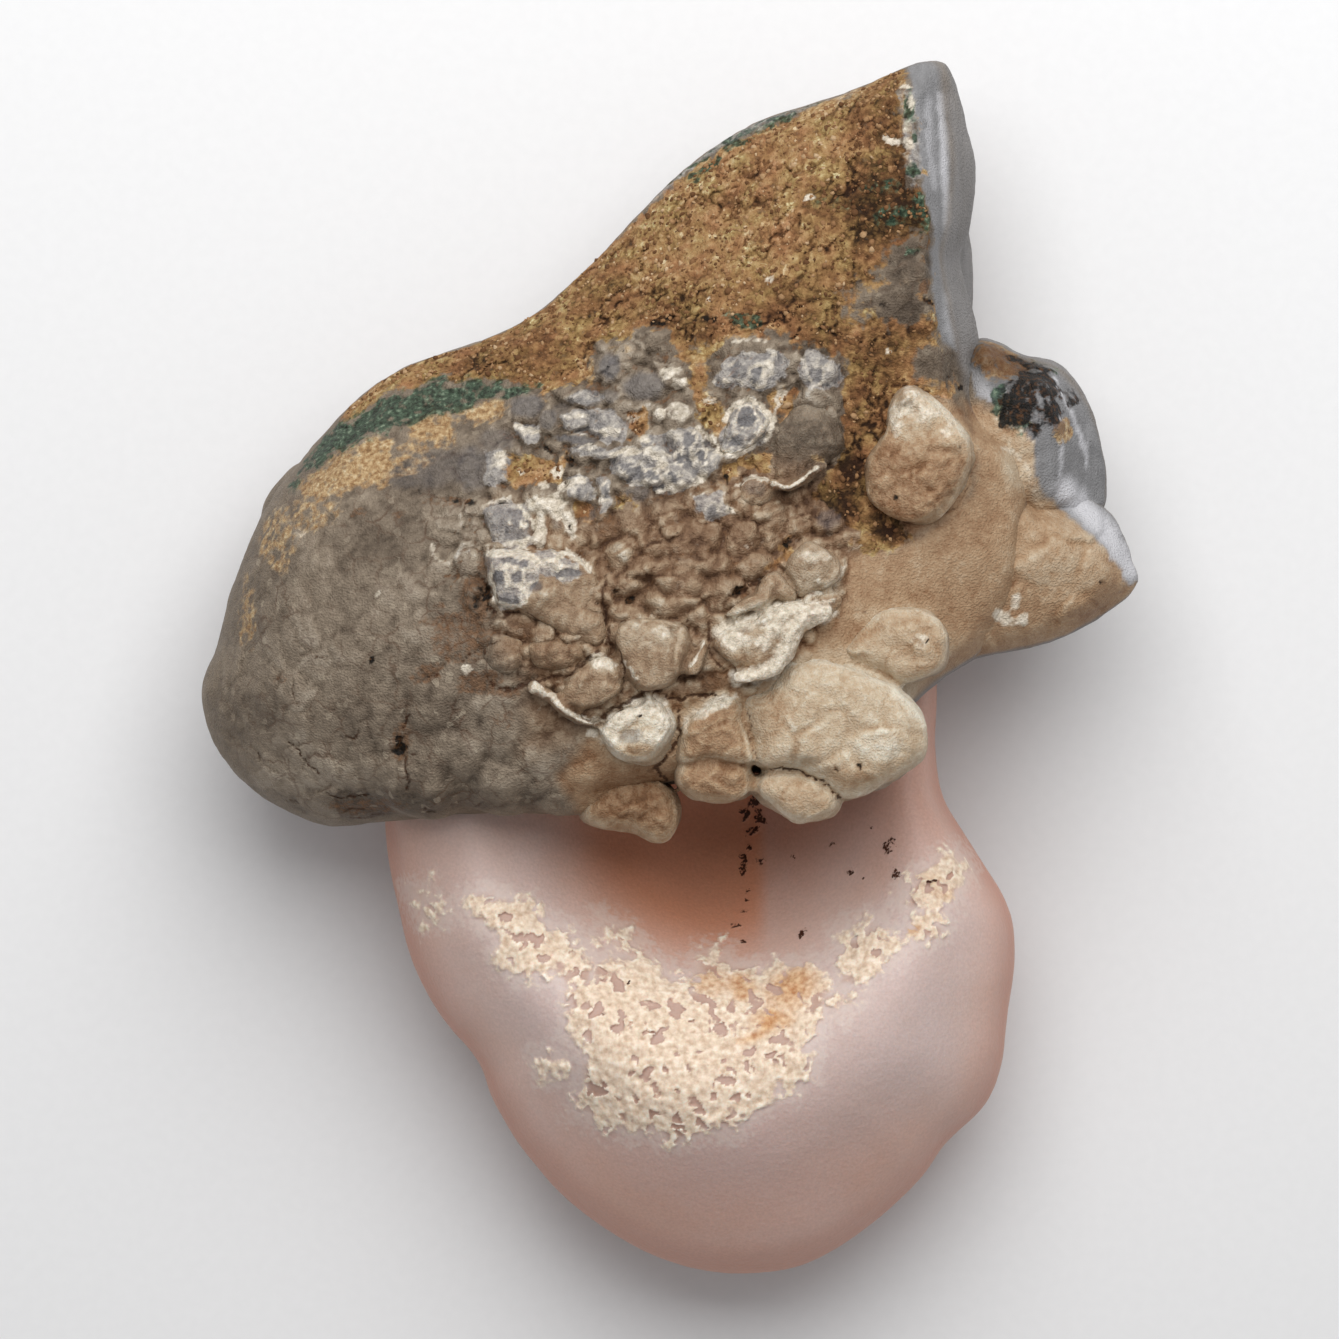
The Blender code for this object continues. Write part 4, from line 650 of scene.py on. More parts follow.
        (-9.8, 8.2, 0.3, 0.12, 0, 0.7), (-12.3, 8.8, 0.5, 0.12, -20, 0.5),
        (-10.8, 8.4, 0.5, 0.15, 0, 0.6), (12.85, 18.3, 0.3, 0.12, -20, 0.9),
        (10.6, 18.1, 0.2, 0.12, -20, 0.8), (13.9, 14.6, 0.2, 0.12, 20, 0.8),
        (14.5, 14.0, 0.3, 0.1, 30, 0.8), (-4.9, 7.0, 0.12, 0.2, 0, 0.7), (0.0, 17.4, 0.8, 0.25, 0, 0.7),
        (-0.7, 17.3, 0.4, 0.2, 0, 0.8),
    ],
    "stain": [
        (-10.4, 1.6, 1.6, 1.4, 0, 0.62), (-9.6, 3.4, 0.8, 1.4, 0, 0.8), (-9.4, -0.6, 1.3, 0.6, 10, 0.8),
        (-12.0, -0.2, 1.0, 0.5, 20, 0.7), (-13.3, -3.6, 0.5, 1.1, 0, 0.75),
        (-15.0, -6.8, 2.2, 0.4, 0, 0.6), (-11.0, 2.3, 1.6, 0.35, 0, 0.6), (-10.6, 1.3, 1.4, 0.5, 0, 0.5),
        (-9.6, 2.4, 0.7, 1.4, 0, 0.6), (-11.4, 3.1, 0.3, 0.2, 0, 0.6), (-9.2, 5.2, 0.35, 0.9, 0, 0.5),
        (-11.0, 8.3, 1.4, 0.25, 0, 0.5), (-13.4, 7.7, 0.35, 0.2, 0, 0.7), (-15.5, 7.8, 0.5, 0.2, 0, 0.5),
        (-8.2, -1.1, 1.1, 0.3, 0, 0.7), (-13.4, -3.4, 0.5, 0.8, 0, 0.4), (-19.3, -0.5, 0.4, 0.2, 0, 0.4),
        (3.5, 5.0, 0.8, 0.5, 0, 0.3), (-3.0, 7.2, 0.5, 0.5, 0, 0.6), (-4.5, 5.7, 0.5, 0.3, -20, 0.5),
        (-3.4, 5.3, 0.4, 0.3, 0, 0.5), (4.5, 10.1, 1.0, 0.4, 30, 0.3), (-2.2, 9.2, 0.3, 0.3, 0, 0.4),
        (12.7, 19.0, 0.3, 0.4, 0, 0.9), (3.9, 0.0, 0.7, 0.25, 0, 0.5), (-0.4, 10.15, 0.12, 0.12, 0, 0.9),
        (2.2, -0.6, 0.7, 0.5, 0, 0.8), (1.4, 2.4, 0.4, 0.3, 0, 0.3), (-11.9, -0.5, 0.5, 0.2, 30, 0.6),
        (-4.6, -4.2, 0.9, 0.6, 0, 0.35), (-8.3, -2.6, 0.8, 0.5, 0, 0.3), (5.2, 7.0, 0.2, 0.3, 0, 0.6),
        (6.6, 6.8, 0.6, 0.2, 20, 0.7), (-0.9, -5.0, 0.3, 0.15, 0, 0.6), (9.6, 6.0, 0.7, 0.3, 0, 0.4),
        (-7.2, 2.2, 0.5, 0.2, 0, 0.4), (19.4, 12.0, 0.35, 0.45, 0, 0.8), (15.0, 12.2, 0.2, 0.6, 0, 0.3),
    ],
    "ochre": [
        (16.7, 15.5, 1.4, 1.1, 0, 1.0), (19.6, 11.9, 0.6, 0.6, 0, 0.9), (-19.8, 6.6, 1.0, 2.0, 20, 0.5),
        (-21.4, 3.4, 0.7, 2.4, 10, 0.48), (-17.8, 7.6, 1.6, 0.8, 20, 0.5),
        (-13.0, 10.6, 1.6, 1.0, 20, 0.45), (-4.1, 14.9, 0.4, 0.8, 0, 0.7),
        (-19.4, 7.2, 0.9, 1.6, 20, 0.3), (-21.2, 3.6, 0.6, 1.8, 10, 0.25),
        (-18.4, 8.0, 1.0, 0.6, 20, 0.4), (7.4, 10.4, 0.4, 0.2, 0, 0.5), (11.6, 27.4, 0.25, 0.9, 0, 0.5),
        (8.5, 28.2, 1.4, 0.3, 20, 0.5), (-14.8, 14.0, 1.2, 0.4, 25, 0.4), (19.6, 11.6, 0.4, 0.3, 0, 0.7),
        (4.0, -0.1, 0.7, 0.4, 0, 0.4), (-0.9, 17.9, 0.8, 0.3, 0, 0.4), (-2.4, 16.0, 0.8, 0.3, 0, 0.25),
        (2.2, 19.6, 1.4, 0.5, 0, 0.25), (-1.0, 19.4, 1.2, 0.6, 0, 0.3), (14.0, 12.4, 0.4, 0.25, -40, 0.4),
    ],
    "green": [
        (16.5, 13.3, 0.5, 1.0, 0, 0.9), (17.4, 12.2, 0.7, 0.4, 0, 0.7), (18.7, 15.2, 1.2, 0.2, -20, 0.6),
        (11.95, 27.8, 0.3, 0.9, 0, 0.8), (12.1, 24.8, 0.35, 0.5, 0, 0.8), (12.4, 23.0, 0.4, 0.7, 0, 0.7),
        (11.4, 22.6, 1.4, 0.6, 10, 0.45), (10.6, 24.0, 1.2, 0.4, 0, 0.35), (3.8, 17.3, 0.9, 0.5, 0, 0.8),
        (2.9, 17.6, 0.4, 0.2, 0, 0.7), (4.4, 27.4, 1.8, 0.3, 28, 0.6), (6.8, 28.2, 1.0, 0.25, 15, 0.5),
        (11.9, 27.7, 0.25, 1.0, 0, 0.6), (12.2, 24.8, 0.3, 0.5, 0, 0.7), (12.6, 22.3, 0.4, 0.8, 0, 0.5),
        (11.8, 20.8, 0.9, 0.3, 0, 0.3), (2.2, 26.0, 0.9, 0.25, 35, 0.6), (16.6, 13.6, 0.5, 0.7, 0, 0.7),
        (18.6, 15.4, 1.0, 0.2, -20, 0.5), (17.5, 11.9, 0.3, 0.3, 0, 0.5),
        (-0.2, 17.3, 0.7, 0.15, -5, 0.4), (-2.8, 15.9, 0.6, 0.2, 0, 0.2), (8.4, 23.2, 1.4, 0.4, 0, 0.25),
        (11.8, 23.0, 0.9, 0.5, 0, 0.3), (13.7, 12.4, 0.4, 0.2, -30, 0.3),
    ],
    "shade": [
        (12.6, 24.0, 2.4, 4.4, 0, 0.8), (10.2, 23.0, 1.8, 2.4, 0, 0.9), (7.6, 16.6, 1.6, 1.2, 0, 0.5),
        (10.2, 15.4, 1.6, 2.0, 0, 0.5), (-7.0, 15.6, 4.0, 1.4, 15, 0.35), (0.0, 18.2, 3.0, 1.2, 20, 0.35),
        (6.0, 18.4, 3.0, 1.2, 0, 0.4), (9.4, 12.4, 1.4, 2.0, 0, 0.5), (17.2, 16.0, 1.4, 0.6, -15, 1.0),
        (16.0, 15.2, 0.7, 0.8, 0, 0.9), (9.0, 9.8, 0.8, 1.2, 0, 1.0), (8.3, 8.1, 1.4, 0.9, 0, 1.0),
        (10.8, 7.2, 1.5, 0.8, -15, 1.0), (11.4, 23.0, 1.9, 1.8, 0, 0.9), (8.2, 23.6, 1.4, 0.9, 0, 0.6),
        (11.2, 26.8, 1.4, 3.4, 0, 0.5), (9.4, 20.4, 2.6, 2.0, 0, 0.25), (12.0, 16.7, 1.6, 0.5, 0, 0.6),
        (-8.4, 15.4, 4.0, 0.9, 15, 0.35), (-3.4, 18.4, 2.4, 1.2, 45, 0.35),
        (16.4, 15.6, 1.3, 1.0, 0, 0.8), (19.4, 12.2, 0.5, 0.6, 0, 0.7), (20.5, 14.3, 1.2, 0.6, -45, 0.9),
        (21.4, 11.6, 0.5, 2.4, 10, 0.9), (11.2, 22.8, 1.6, 1.6, 0, 0.7), (10.6, 24.6, 1.4, 1.2, 0, 0.5),
        (9.6, 27.6, 1.2, 1.2, 0, 0.35), (8.6, 23.0, 2.0, 0.7, 0, 0.5), (3.6, 23.4, 2.0, 0.4, 0, 0.4),
        (9.0, 9.6, 0.9, 1.6, 0, 0.9), (8.4, 8.0, 1.3, 0.8, 0, 0.9), (10.6, 7.0, 1.3, 0.5, -20, 0.8),
        (7.2, 8.9, 0.6, 0.5, 0, 0.7), (11.6, 16.6, 1.4, 0.4, 0, 0.5), (1.4, 16.8, 1.0, 0.8, 0, 0.6),
        (5.5, 17.6, 1.4, 0.8, 0, 0.4), (-9.8, 15.2, 1.4, 0.6, 20, 0.5), (-7.0, 14.8, 1.4, 0.4, 0, 0.4),
        (-4.6, 16.0, 0.8, 0.8, 0, 0.3), (9.6, 14.8, 1.2, 1.0, 0, 0.4), (6.4, 19.4, 1.2, 0.6, 0, 0.3),
        (-4.0, 19.0, 1.4, 0.5, 40, 0.3), (4.2, 24.8, 0.7, 0.4, 0, 0.4), (11.4, 13.4, 0.6, 0.4, 40, 0.6),
        (14.6, 25.0, 0.7, 5.0, 0, 0.4), (14.5, 18.0, 0.6, 2.6, 10, 0.4), (12.2, 18.2, 1.2, 1.6, 0, 0.3),
        (21.3, 11.5, 0.4, 2.2, 10, 0.7), (20.2, 14.2, 1.2, 0.4, -45, 0.6),
        (-15.8, 12.0, 0.8, 0.4, 20, 0.5), (12.4, 15.2, 1.2, 0.8, 0, 0.3), (13.2, 19.4, 0.5, 1.4, 0, 0.3),
        (10.4, 20.2, 0.8, 0.6, 0, 0.3), (-3.4, 15.9, 0.6, 0.3, 0, 0.3),
    ],
}

# Lines on the crust's top: width, strength and the points they pass through
STROKES = {
    "white": [
        (1.0, 1.0, [(7.6, 2.9), (6.8, 2.7), (6.2, 2.1), (5.9, 1.4), (5.6, 0.7), (5.1, 0.0), (4.3, -0.3),
            (3.4, -0.4)]),
        (0.35, 1.0, [(-8.9, 5.8), (-8.0, 5.75), (-7.2, 5.8), (-6.6, 5.4), (-5.8, 5.4), (-5.0, 5.8),
            (-4.3, 5.4), (-4.0, 4.9)]),
        (0.24, 0.9, [(-8.8, 5.2), (-8.8, 4.2), (-8.7, 3.6), (-8.3, 3.2), (-7.4, 3.15), (-7.0, 3.4)]),
        (0.3, 0.8, [(-8.0, 5.2), (-8.0, 4.2), (-7.4, 4.1), (-7.1, 3.8)]),
        (0.3, 0.9, [(-6.7, -0.9), (-5.9, -1.3), (-5.2, -2.0), (-4.5, -2.4), (-3.9, -2.6), (-3.4, -2.5)]),
        (0.22, 0.8, [(-2.3, 0.3), (-1.9, -0.1), (-1.6, -0.4)]),
        (0.2, 0.7, [(1.0, 0.2), (1.3, 0.8), (1.7, 1.4)]),
        (0.35, 0.6, [(-1.6, 23.6), (0.6, 25.3), (2.4, 26.7), (4.6, 27.9), (7.0, 28.9)]),
        (0.7, 1.0, [(2.4, 1.8), (3.0, 2.2), (4.0, 2.4), (4.6, 2.5), (5.2, 2.9), (6.0, 3.1), (6.8, 3.0)]),
        (0.9, 0.8, [(4.6, 1.4), (5.2, 2.0), (5.8, 2.6)]),
        (0.7, 1.0, [(7.6, 2.9), (6.8, 2.7), (6.2, 2.1), (5.9, 1.4), (5.6, 0.7), (5.1, 0.0), (4.3, -0.3),
            (3.4, -0.4)]),
        (0.3, 0.8, [(8.2, 3.5), (7.2, 3.2)]),
        (0.22, 0.6, [(8.7, 5.2), (8.5, 4.5), (7.9, 4.1), (7.3, 4.3)]),
        (0.35, 0.6, [(0.7, -3.0), (1.1, -2.2), (1.9, -1.7), (2.9, -1.3), (3.3, -1.3)]),
        (0.2, 0.9, [(3.4, 9.1), (3.7, 9.4), (4.2, 9.55), (4.9, 9.35)]),
        (0.22, 1.0, [(5.1, 9.2), (5.9, 9.0), (6.4, 9.2), (7.0, 9.8), (7.4, 10.0)]),
        (0.3, 1.0, [(2.7, 12.3), (3.2, 13.1), (3.9, 13.4), (4.6, 13.0), (5.0, 12.4), (4.5, 11.6),
            (4.0, 11.0), (3.3, 10.6), (2.5, 10.8)]),
        (0.25, 0.9, [(4.8, 11.4), (5.1, 12.0), (5.2, 12.8), (5.6, 13.6), (5.9, 13.9)]),
        (0.25, 0.9, [(2.2, 10.5), (2.4, 11.1), (1.9, 11.6), (1.4, 12.0)]),
        (0.22, 0.9, [(-0.6, 8.85), (0.2, 8.85), (1.0, 9.1), (1.7, 9.4)]),
        (0.25, 0.8, [(-2.9, 10.6), (-2.2, 10.9), (-1.5, 10.7), (-0.6, 10.7)]),
        (0.4, 0.35, [(16.6, 11.0), (17.4, 10.6), (17.9, 9.8), (18.1, 8.9)]),
        (0.22, 0.5, [(16.2, 12.4), (17.0, 12.1), (17.8, 11.8), (18.1, 11.2)]),
        (0.25, 0.3, [(-17.6, 11.8), (-16.4, 12.9)]),
        (0.2, 0.7, [(2.7, 8.6), (3.0, 8.0), (3.2, 7.7)]),
        (0.2, 0.4, [(-11.8, 6.2), (-11.5, 5.4), (-10.8, 5.1)]),
        (0.3, 0.8, [(-7.4, 8.1), (-7.0, 7.6), (-6.6, 7.0), (-6.5, 6.3)]),
        (0.2, 0.6, [(-9.3, 8.0), (-8.6, 8.3), (-7.9, 8.5)]),
        (0.2, 0.5, [(3.1, 16.2), (3.9, 16.45), (4.8, 16.3)]),
        (0.2, 0.5, [(11.2, 12.6), (11.9, 13.3), (12.8, 13.0)]),
    ],
    "frost": [
        (1.6, 0.85, [(-3.6, 21.6), (-1.0, 24.0), (1.4, 26.0), (4.0, 27.5), (7.0, 28.7), (9.0, 29.3)]),
        (1.2, 0.7, [(11.8, 28.6), (12.0, 26.4), (12.2, 24.4)]),
    ],
    "green": [
        (0.6, 0.5, [(-2.4, 22.6), (0.5, 25.0), (2.2, 26.2), (4.4, 27.5)]),
        (1.0, 0.75, [(3.0, 26.4), (4.4, 27.1), (6.0, 27.8)]),
        (0.6, 0.8, [(1.2, 24.6), (2.4, 25.4)]),
        (0.4, 0.7, [(11.9, 28.9), (12.1, 27.6), (12.2, 26.4)]),
    ],
    "ochre": [
        (0.8, 0.8, [(7.0, 27.8), (8.4, 28.4), (9.6, 29.0), (10.6, 29.8)]),
        (0.5, 0.7, [(1.6, 25.2), (3.4, 26.3), (5.6, 27.2)]),
        (0.4, 0.7, [(11.6, 29.2), (11.8, 28.0), (12.0, 26.6), (11.8, 25.4), (12.3, 24.2)]),
    ],
    "streak": [
        (0.55, 1.0, [(13.6, 28.6), (13.65, 26.6), (13.75, 24.4), (13.9, 22.4), (14.0, 20.6),
            (14.2, 18.8)]),
        (0.4, 0.4, [(12.9, 28.4), (12.9, 26.0), (13.2, 24.0)]),
        (0.8, 0.5, [(14.0, 18.6), (14.0, 17.0), (14.8, 15.4), (15.4, 14.4), (16.4, 12.8)]),
        (1.4, 1.0, [(19.8, 9.0), (20.9, 7.9), (21.9, 6.8), (22.9, 5.0)]),
        (0.3, 0.8, [(19.2, 14.6), (20.0, 13.0), (20.6, 11.6), (20.9, 10.2)]),
        (0.25, 0.6, [(19.4, 13.0), (19.6, 11.0), (19.4, 9.4)]),
    ],
    "crack": [
        (0.1, 0.5, [(-18.3, 0.8), (-17.6, 0.7), (-17.0, 0.6)]),
        (0.1, 0.5, [(-19.7, -0.4), (-19.2, -0.6)]),
        (0.1, 0.6, [(-18.6, -0.5), (-18.7, -1.2), (-18.4, -1.9)]),
        (0.12, 0.8, [(-19.0, -3.6), (-18.4, -4.1), (-17.9, -4.8), (-17.4, -5.2)]),
        (0.12, 0.7, [(-16.3, -3.3), (-15.7, -3.4), (-15.4, -3.0)]),
        (0.12, 0.8, [(-17.1, -6.1), (-16.6, -6.35), (-15.0, -6.2)]),
        (0.12, 0.7, [(-16.2, -7.0), (-15.2, -6.9)]),
        (0.2, 1.0, [(-15.8, -7.4), (-14.9, -7.3), (-14.3, -7.2)]),
        (0.12, 0.8, [(-14.6, -7.6), (-14.0, -7.6)]),
        (0.1, 0.6, [(-19.1, -6.5), (-18.5, -6.7)]),
        (0.12, 0.6, [(-20.5, -4.1), (-20.4, -4.5)]),
        (0.14, 0.9, [(-12.9, -2.2), (-13.2, -3.0), (-13.4, -3.4), (-13.1, -4.4), (-13.0, -5.2),
            (-13.0, -5.9)]),
        (0.1, 0.7, [(-12.9, -4.1), (-12.5, -4.3)]),
        (0.12, 0.7, [(-12.4, -0.7), (-12.0, -0.4), (-11.5, -0.3)]),
        (0.1, 0.6, [(-12.0, 0.2), (-11.4, 0.1)]),
        (0.14, 0.8, [(-10.5, 0.4), (-10.0, 0.6), (-9.7, 0.9)]),
        (0.12, 0.5, [(-12.2, 2.2), (-10.5, 2.4), (-9.0, 2.2)]),
        (0.18, 0.9, [(-9.2, 4.5), (-9.0, 3.8), (-8.8, 3.0), (-8.7, 2.8), (-8.0, 2.85), (-7.4, 2.8)]),
        (0.12, 0.6, [(-8.4, 1.4), (-8.8, 1.2), (-9.2, 0.6)]),
        (0.2, 0.9, [(-9.0, -0.4), (-8.6, -0.8), (-8.0, -1.0), (-6.9, -0.7), (-5.8, -0.4), (-4.8, -0.2),
            (-4.2, 0.5), (-3.4, 1.0)]),
        (0.14, 0.8, [(-12.1, -6.9), (-11.7, -7.0)]),
        (0.14, 0.8, [(-10.6, -7.1), (-10.3, -7.2)]),
        (0.14, 0.8, [(-9.9, -6.9), (-9.3, -6.6)]),
        (0.2, 1.0, [(-3.4, -2.4), (-2.8, -1.9), (-2.2, -1.7), (-1.5, -1.3), (-0.6, -1.05), (0.0, -1.4),
            (0.6, -1.5), (1.2, -1.3), (2.2, -1.3)]),
        (0.2, 1.0, [(0.5, -2.0), (0.45, -2.6), (0.5, -3.2), (0.1, -4.1), (-0.4, -4.6), (-0.8, -4.9)]),
        (0.2, 1.0, [(-0.8, -4.9), (-0.3, -5.3), (0.1, -5.8)]),
        (0.14, 0.9, [(-3.1, 1.2), (-3.0, 1.9), (-3.2, 2.6), (-3.3, 3.8), (-3.2, 4.6)]),
        (0.14, 0.8, [(-3.0, 1.6), (-2.6, 0.8), (-2.3, 0.0), (-2.2, -0.9)]),
        (0.14, 0.8, [(1.9, 2.4), (1.95, 1.6), (2.0, 0.9), (2.4, 0.3), (2.9, -0.1)]),
        (0.16, 0.9, [(3.0, 3.6), (3.4, 3.7), (3.9, 4.0), (4.4, 4.3)]),
        (0.13, 0.9, [(5.0, -4.95), (5.6, -4.85), (6.3, -4.9), (6.9, -5.3), (7.6, -5.5), (8.1, -6.0),
            (8.5, -6.35)]),
        (0.1, 0.4, [(6.7, -1.6), (7.0, -1.9), (7.2, -2.0)]),
        (0.1, 0.7, [(-7.1, 2.9), (-6.8, 2.7), (-6.6, 2.2)]),
        (0.1, 0.4, [(15.3, 10.6), (15.0, 9.4), (14.2, 8.0), (13.2, 7.4)]),
        (0.1, 0.4, [(8.8, 5.3), (8.7, 4.0), (8.8, 3.2)]),
        (0.1, 0.4, [(8.8, 2.9), (10.2, 2.8)]),
        (0.12, 0.6, [(0.8, 2.5), (1.2, 2.0), (1.9, 2.4)]),
        (0.1, 0.5, [(14.6, 15.2), (14.9, 14.2), (14.4, 13.4)]),
        (0.14, 0.8, [(10.9, 14.0), (11.6, 14.15), (12.2, 14.1), (12.9, 13.8)]),
        (0.1, 0.5, [(-12.3, 13.2), (-10.9, 13.1)]),
        (0.14, 0.7, [(-2.3, 12.9), (-1.8, 12.6), (-1.9, 12.0), (-1.4, 11.6)]),
        (0.1, 0.6, [(-3.2, 4.9), (-2.6, 4.7), (-1.6, 4.6), (-0.7, 4.7)]),
        (0.1, 0.6, [(-1.6, 3.9), (-1.3, 3.2), (-0.9, 2.7), (0.4, 2.5)]),
        (0.1, 0.5, [(4.4, -4.6), (4.0, -3.6), (4.0, -2.6), (3.6, -1.8)]),
    ],
    "stain": [
        (0.3, 0.7, [(-3.4, 8.2), (-3.5, 7.4), (-3.2, 6.4), (-3.5, 5.4)]),
        (0.25, 0.6, [(-1.0, 8.3), (-0.4, 8.6), (1.0, 8.8), (2.4, 9.0)]),
        (0.25, 0.6, [(3.0, 9.0), (3.2, 8.2), (3.6, 7.8), (4.6, 7.9), (5.6, 8.2)]),
        (0.2, 0.5, [(0.8, 7.4), (-0.2, 7.1), (-1.2, 6.9), (-2.2, 6.4)]),
        (0.2, 0.5, [(2.8, 7.1), (2.9, 6.2), (3.1, 5.4), (3.1, 4.4)]),
        (0.2, 0.5, [(-2.0, 6.3), (-1.6, 5.7), (-0.6, 5.6), (0.6, 5.7), (1.6, 5.8)]),
        (0.2, 0.6, [(5.3, 7.0), (5.6, 6.4), (5.6, 5.6), (5.0, 4.8)]),
        (0.2, 0.5, [(-8.9, 2.0), (-8.0, 1.7), (-7.0, 1.6), (-6.0, 1.9)]),
        (0.25, 0.5, [(8.6, 5.4), (9.4, 5.8), (10.6, 5.9)]),
        (0.4, 0.7, [(1.9, -0.2), (2.6, -0.6), (3.1, -0.8)]),
        (0.2, 0.5, [(-5.2, -0.7), (-4.2, -0.6), (-3.2, -0.5)]),
        (0.25, 0.5, [(-6.0, -5.0), (-5.4, -4.6), (-5.2, -3.8)]),
    ],
    "shade": [
        (3.0, 1.0, [(15.8, 15.6), (17.6, 15.4)]),
        # Painted shade on the strip's steep outer facets
        (1.4, 1.0, [(15.0, 28.6), (15.1, 26.0), (15.1, 24.0), (15.0, 22.0), (14.9, 20.8)]),
        (0.6, 0.6, [(14.4, 19.4), (15.0, 17.6), (15.5, 15.6)]),
    ],
}

# How light the crust is in places, from 0 to 1: x, y, half width, half length, turn in degrees, level
LEVELS = [
    (12.4, 9.4, 2.8, 2.6, 0, 0.36), (12.3, 12.4, 1.7, 1.3, 0, 0.66), (14.0, 11.5, 0.9, 1.0, 30, 0.6),
    (12.8, 10.9, 1.4, 0.5, 0, 0.5), (16.5, 7.0, 2.2, 3.0, 0, 0.44), (12.5, 5.2, 2.8, 1.4, 0, 0.48),
    (10.2, 4.4, 1.4, 1.4, 0, 0.44), (19.6, 5.4, 2.4, 2.2, 0, 0.56), (18.0, 1.8, 3.6, 0.9, 10, 0.46),
    (21.4, 3.4, 1.8, 0.8, 40, 0.36), (14.4, 2.4, 1.2, 1.4, 0, 0.42), (11.2, 1.4, 2.7, 1.9, 0, 0.6),
    (12.2, -0.3, 1.5, 0.5, 0, 0.5), (8.4, 1.8, 1.4, 0.9, 0, 0.4), (8.0, -2.4, 4.8, 3.4, 0, 0.72),
    (4.9, -2.2, 1.1, 1.4, 0, 0.6), (10.9, -1.9, 1.5, 1.2, -30, 0.76), (10.4, -3.9, 1.5, 0.6, 0, 0.85),
    (6.9, -3.6, 1.6, 0.8, 0, 0.7), (9.4, -5.6, 1.8, 0.6, -15, 0.55), (6.2, -6.4, 2.1, 1.2, 0, 0.62),
    (6.4, -5.5, 1.6, 0.4, -10, 0.64), (2.5, -2.9, 1.4, 1.4, 0, 0.42), (1.9, -1.7, 1.4, 0.5, 25, 0.72),
    (1.9, -5.3, 1.8, 1.1, 0, 0.38), (1.9, -4.4, 1.3, 0.4, 0, 0.4), (-1.6, -6.5, 2.4, 1.5, 0, 0.28),
    (-0.4, -7.4, 0.8, 1.0, 0, 0.38), (-1.7, -2.8, 2.0, 1.4, 0, 0.86), (-1.9, -4.2, 1.4, 0.5, 0, 0.6),
    (4.6, 2.6, 2.2, 0.8, 15, 0.85), (3.9, 1.3, 1.5, 0.8, 0, 0.62), (3.8, 0.3, 1.4, 0.4, 0, 0.45),
    (-0.9, 1.7, 1.8, 1.1, 0, 0.62), (-0.6, 0.1, 1.2, 0.9, 0, 0.5), (-3.8, -0.9, 1.3, 0.8, 0, 0.46),
    (-3.4, 0.3, 0.8, 0.4, -20, 0.8), (7.1, 5.0, 1.5, 1.3, 0, 0.6), (7.5, 4.0, 1.3, 0.4, 0, 0.72),
    (5.2, 4.2, 1.0, 0.7, 0, 0.5), (-5.4, 3.4, 2.0, 1.6, 0, 0.5), (-4.0, 2.2, 0.8, 1.4, 0, 0.46),
    (-6.2, 0.8, 1.8, 0.9, 0, 0.33), (-8.2, 0.7, 0.9, 0.8, 0, 0.36), (6.8, 11.2, 1.8, 1.8, 0, 0.24),
    (7.5, 13.2, 1.1, 0.9, 0, 0.5), (1.0, 6.3, 2.0, 1.0, 0, 0.32), (-2.0, 7.4, 1.0, 0.8, 0, 0.34),
    (4.0, 6.6, 1.6, 1.2, 0, 0.36), (5.1, 7.8, 0.8, 0.7, 0, 0.5), (0.6, 4.4, 1.5, 0.8, 0, 0.46),
    (-0.2, 3.2, 1.5, 0.7, 0, 0.48), (2.3, 4.0, 1.0, 0.9, 0, 0.38), (-1.4, 5.1, 0.8, 0.5, 0, 0.5),
    (-2.6, 5.6, 0.7, 0.6, 0, 0.5), (-0.5, 12.7, 2.6, 2.2, 0, 0.6), (4.4, 16.0, 1.6, 0.6, 0, 0.46),
    (-2.6, 15.9, 1.0, 0.5, 0, 0.6), (-0.6, 16.3, 0.9, 0.6, 0, 0.45), (-11.0, 5.6, 1.4, 2.6, 0, 0.52),
    (-9.6, 6.4, 0.8, 1.4, 0, 0.58), (-6.0, 8.0, 1.2, 0.8, 0, 0.8), (-5.4, 7.0, 0.8, 0.9, 0, 0.5),
    (-10.6, -4.0, 2.2, 2.2, 0, 0.3), (-8.3, -3.4, 1.4, 1.6, 0, 0.42), (-6.4, -4.6, 1.4, 1.2, 0, 0.45),
    (-15.6, 3.6, 3.0, 1.6, 0, 0.5), (-18.6, 0.4, 2.6, 2.2, 0, 0.5), (-15.4, 6.4, 2.2, 1.6, 0, 0.4),
    (-18.6, -4.6, 2.6, 1.6, 0, 0.52), (-14.2, -6.6, 3.0, 0.8, 0, 0.2), (-14.5, 1.6, 2.4, 1.0, 0, 0.36),
    (-9.4, -6.4, 3.0, 0.6, 0, 0.24), (-11.4, 9.8, 2.4, 1.2, 10, 0.2), (-20.6, 3.8, 1.4, 2.6, 10, 0.44),
    (-22.6, -1.0, 0.8, 3.0, 0, 0.4), (-16.4, 8.2, 1.4, 0.7, 0, 0.36), (-13.4, 6.0, 1.8, 1.4, 0, 0.34),
    (-12.6, -1.6, 1.4, 1.4, 0, 0.36), (12.0, 20.0, 1.2, 1.2, 0, 0.22), (11.4, 17.9, 2.0, 0.9, 0, 0.2),
    (13.6, 15.0, 1.2, 1.0, 0, 0.24), (16.4, 12.0, 1.2, 0.8, -20, 0.5), (17.4, 10.4, 0.9, 1.4, 0, 0.66),
    (15.9, 10.9, 0.8, 0.8, 0, 0.46), (20.8, 7.0, 1.4, 0.9, -50, 0.6), (18.6, 7.6, 1.0, 1.6, 0, 0.5),
]

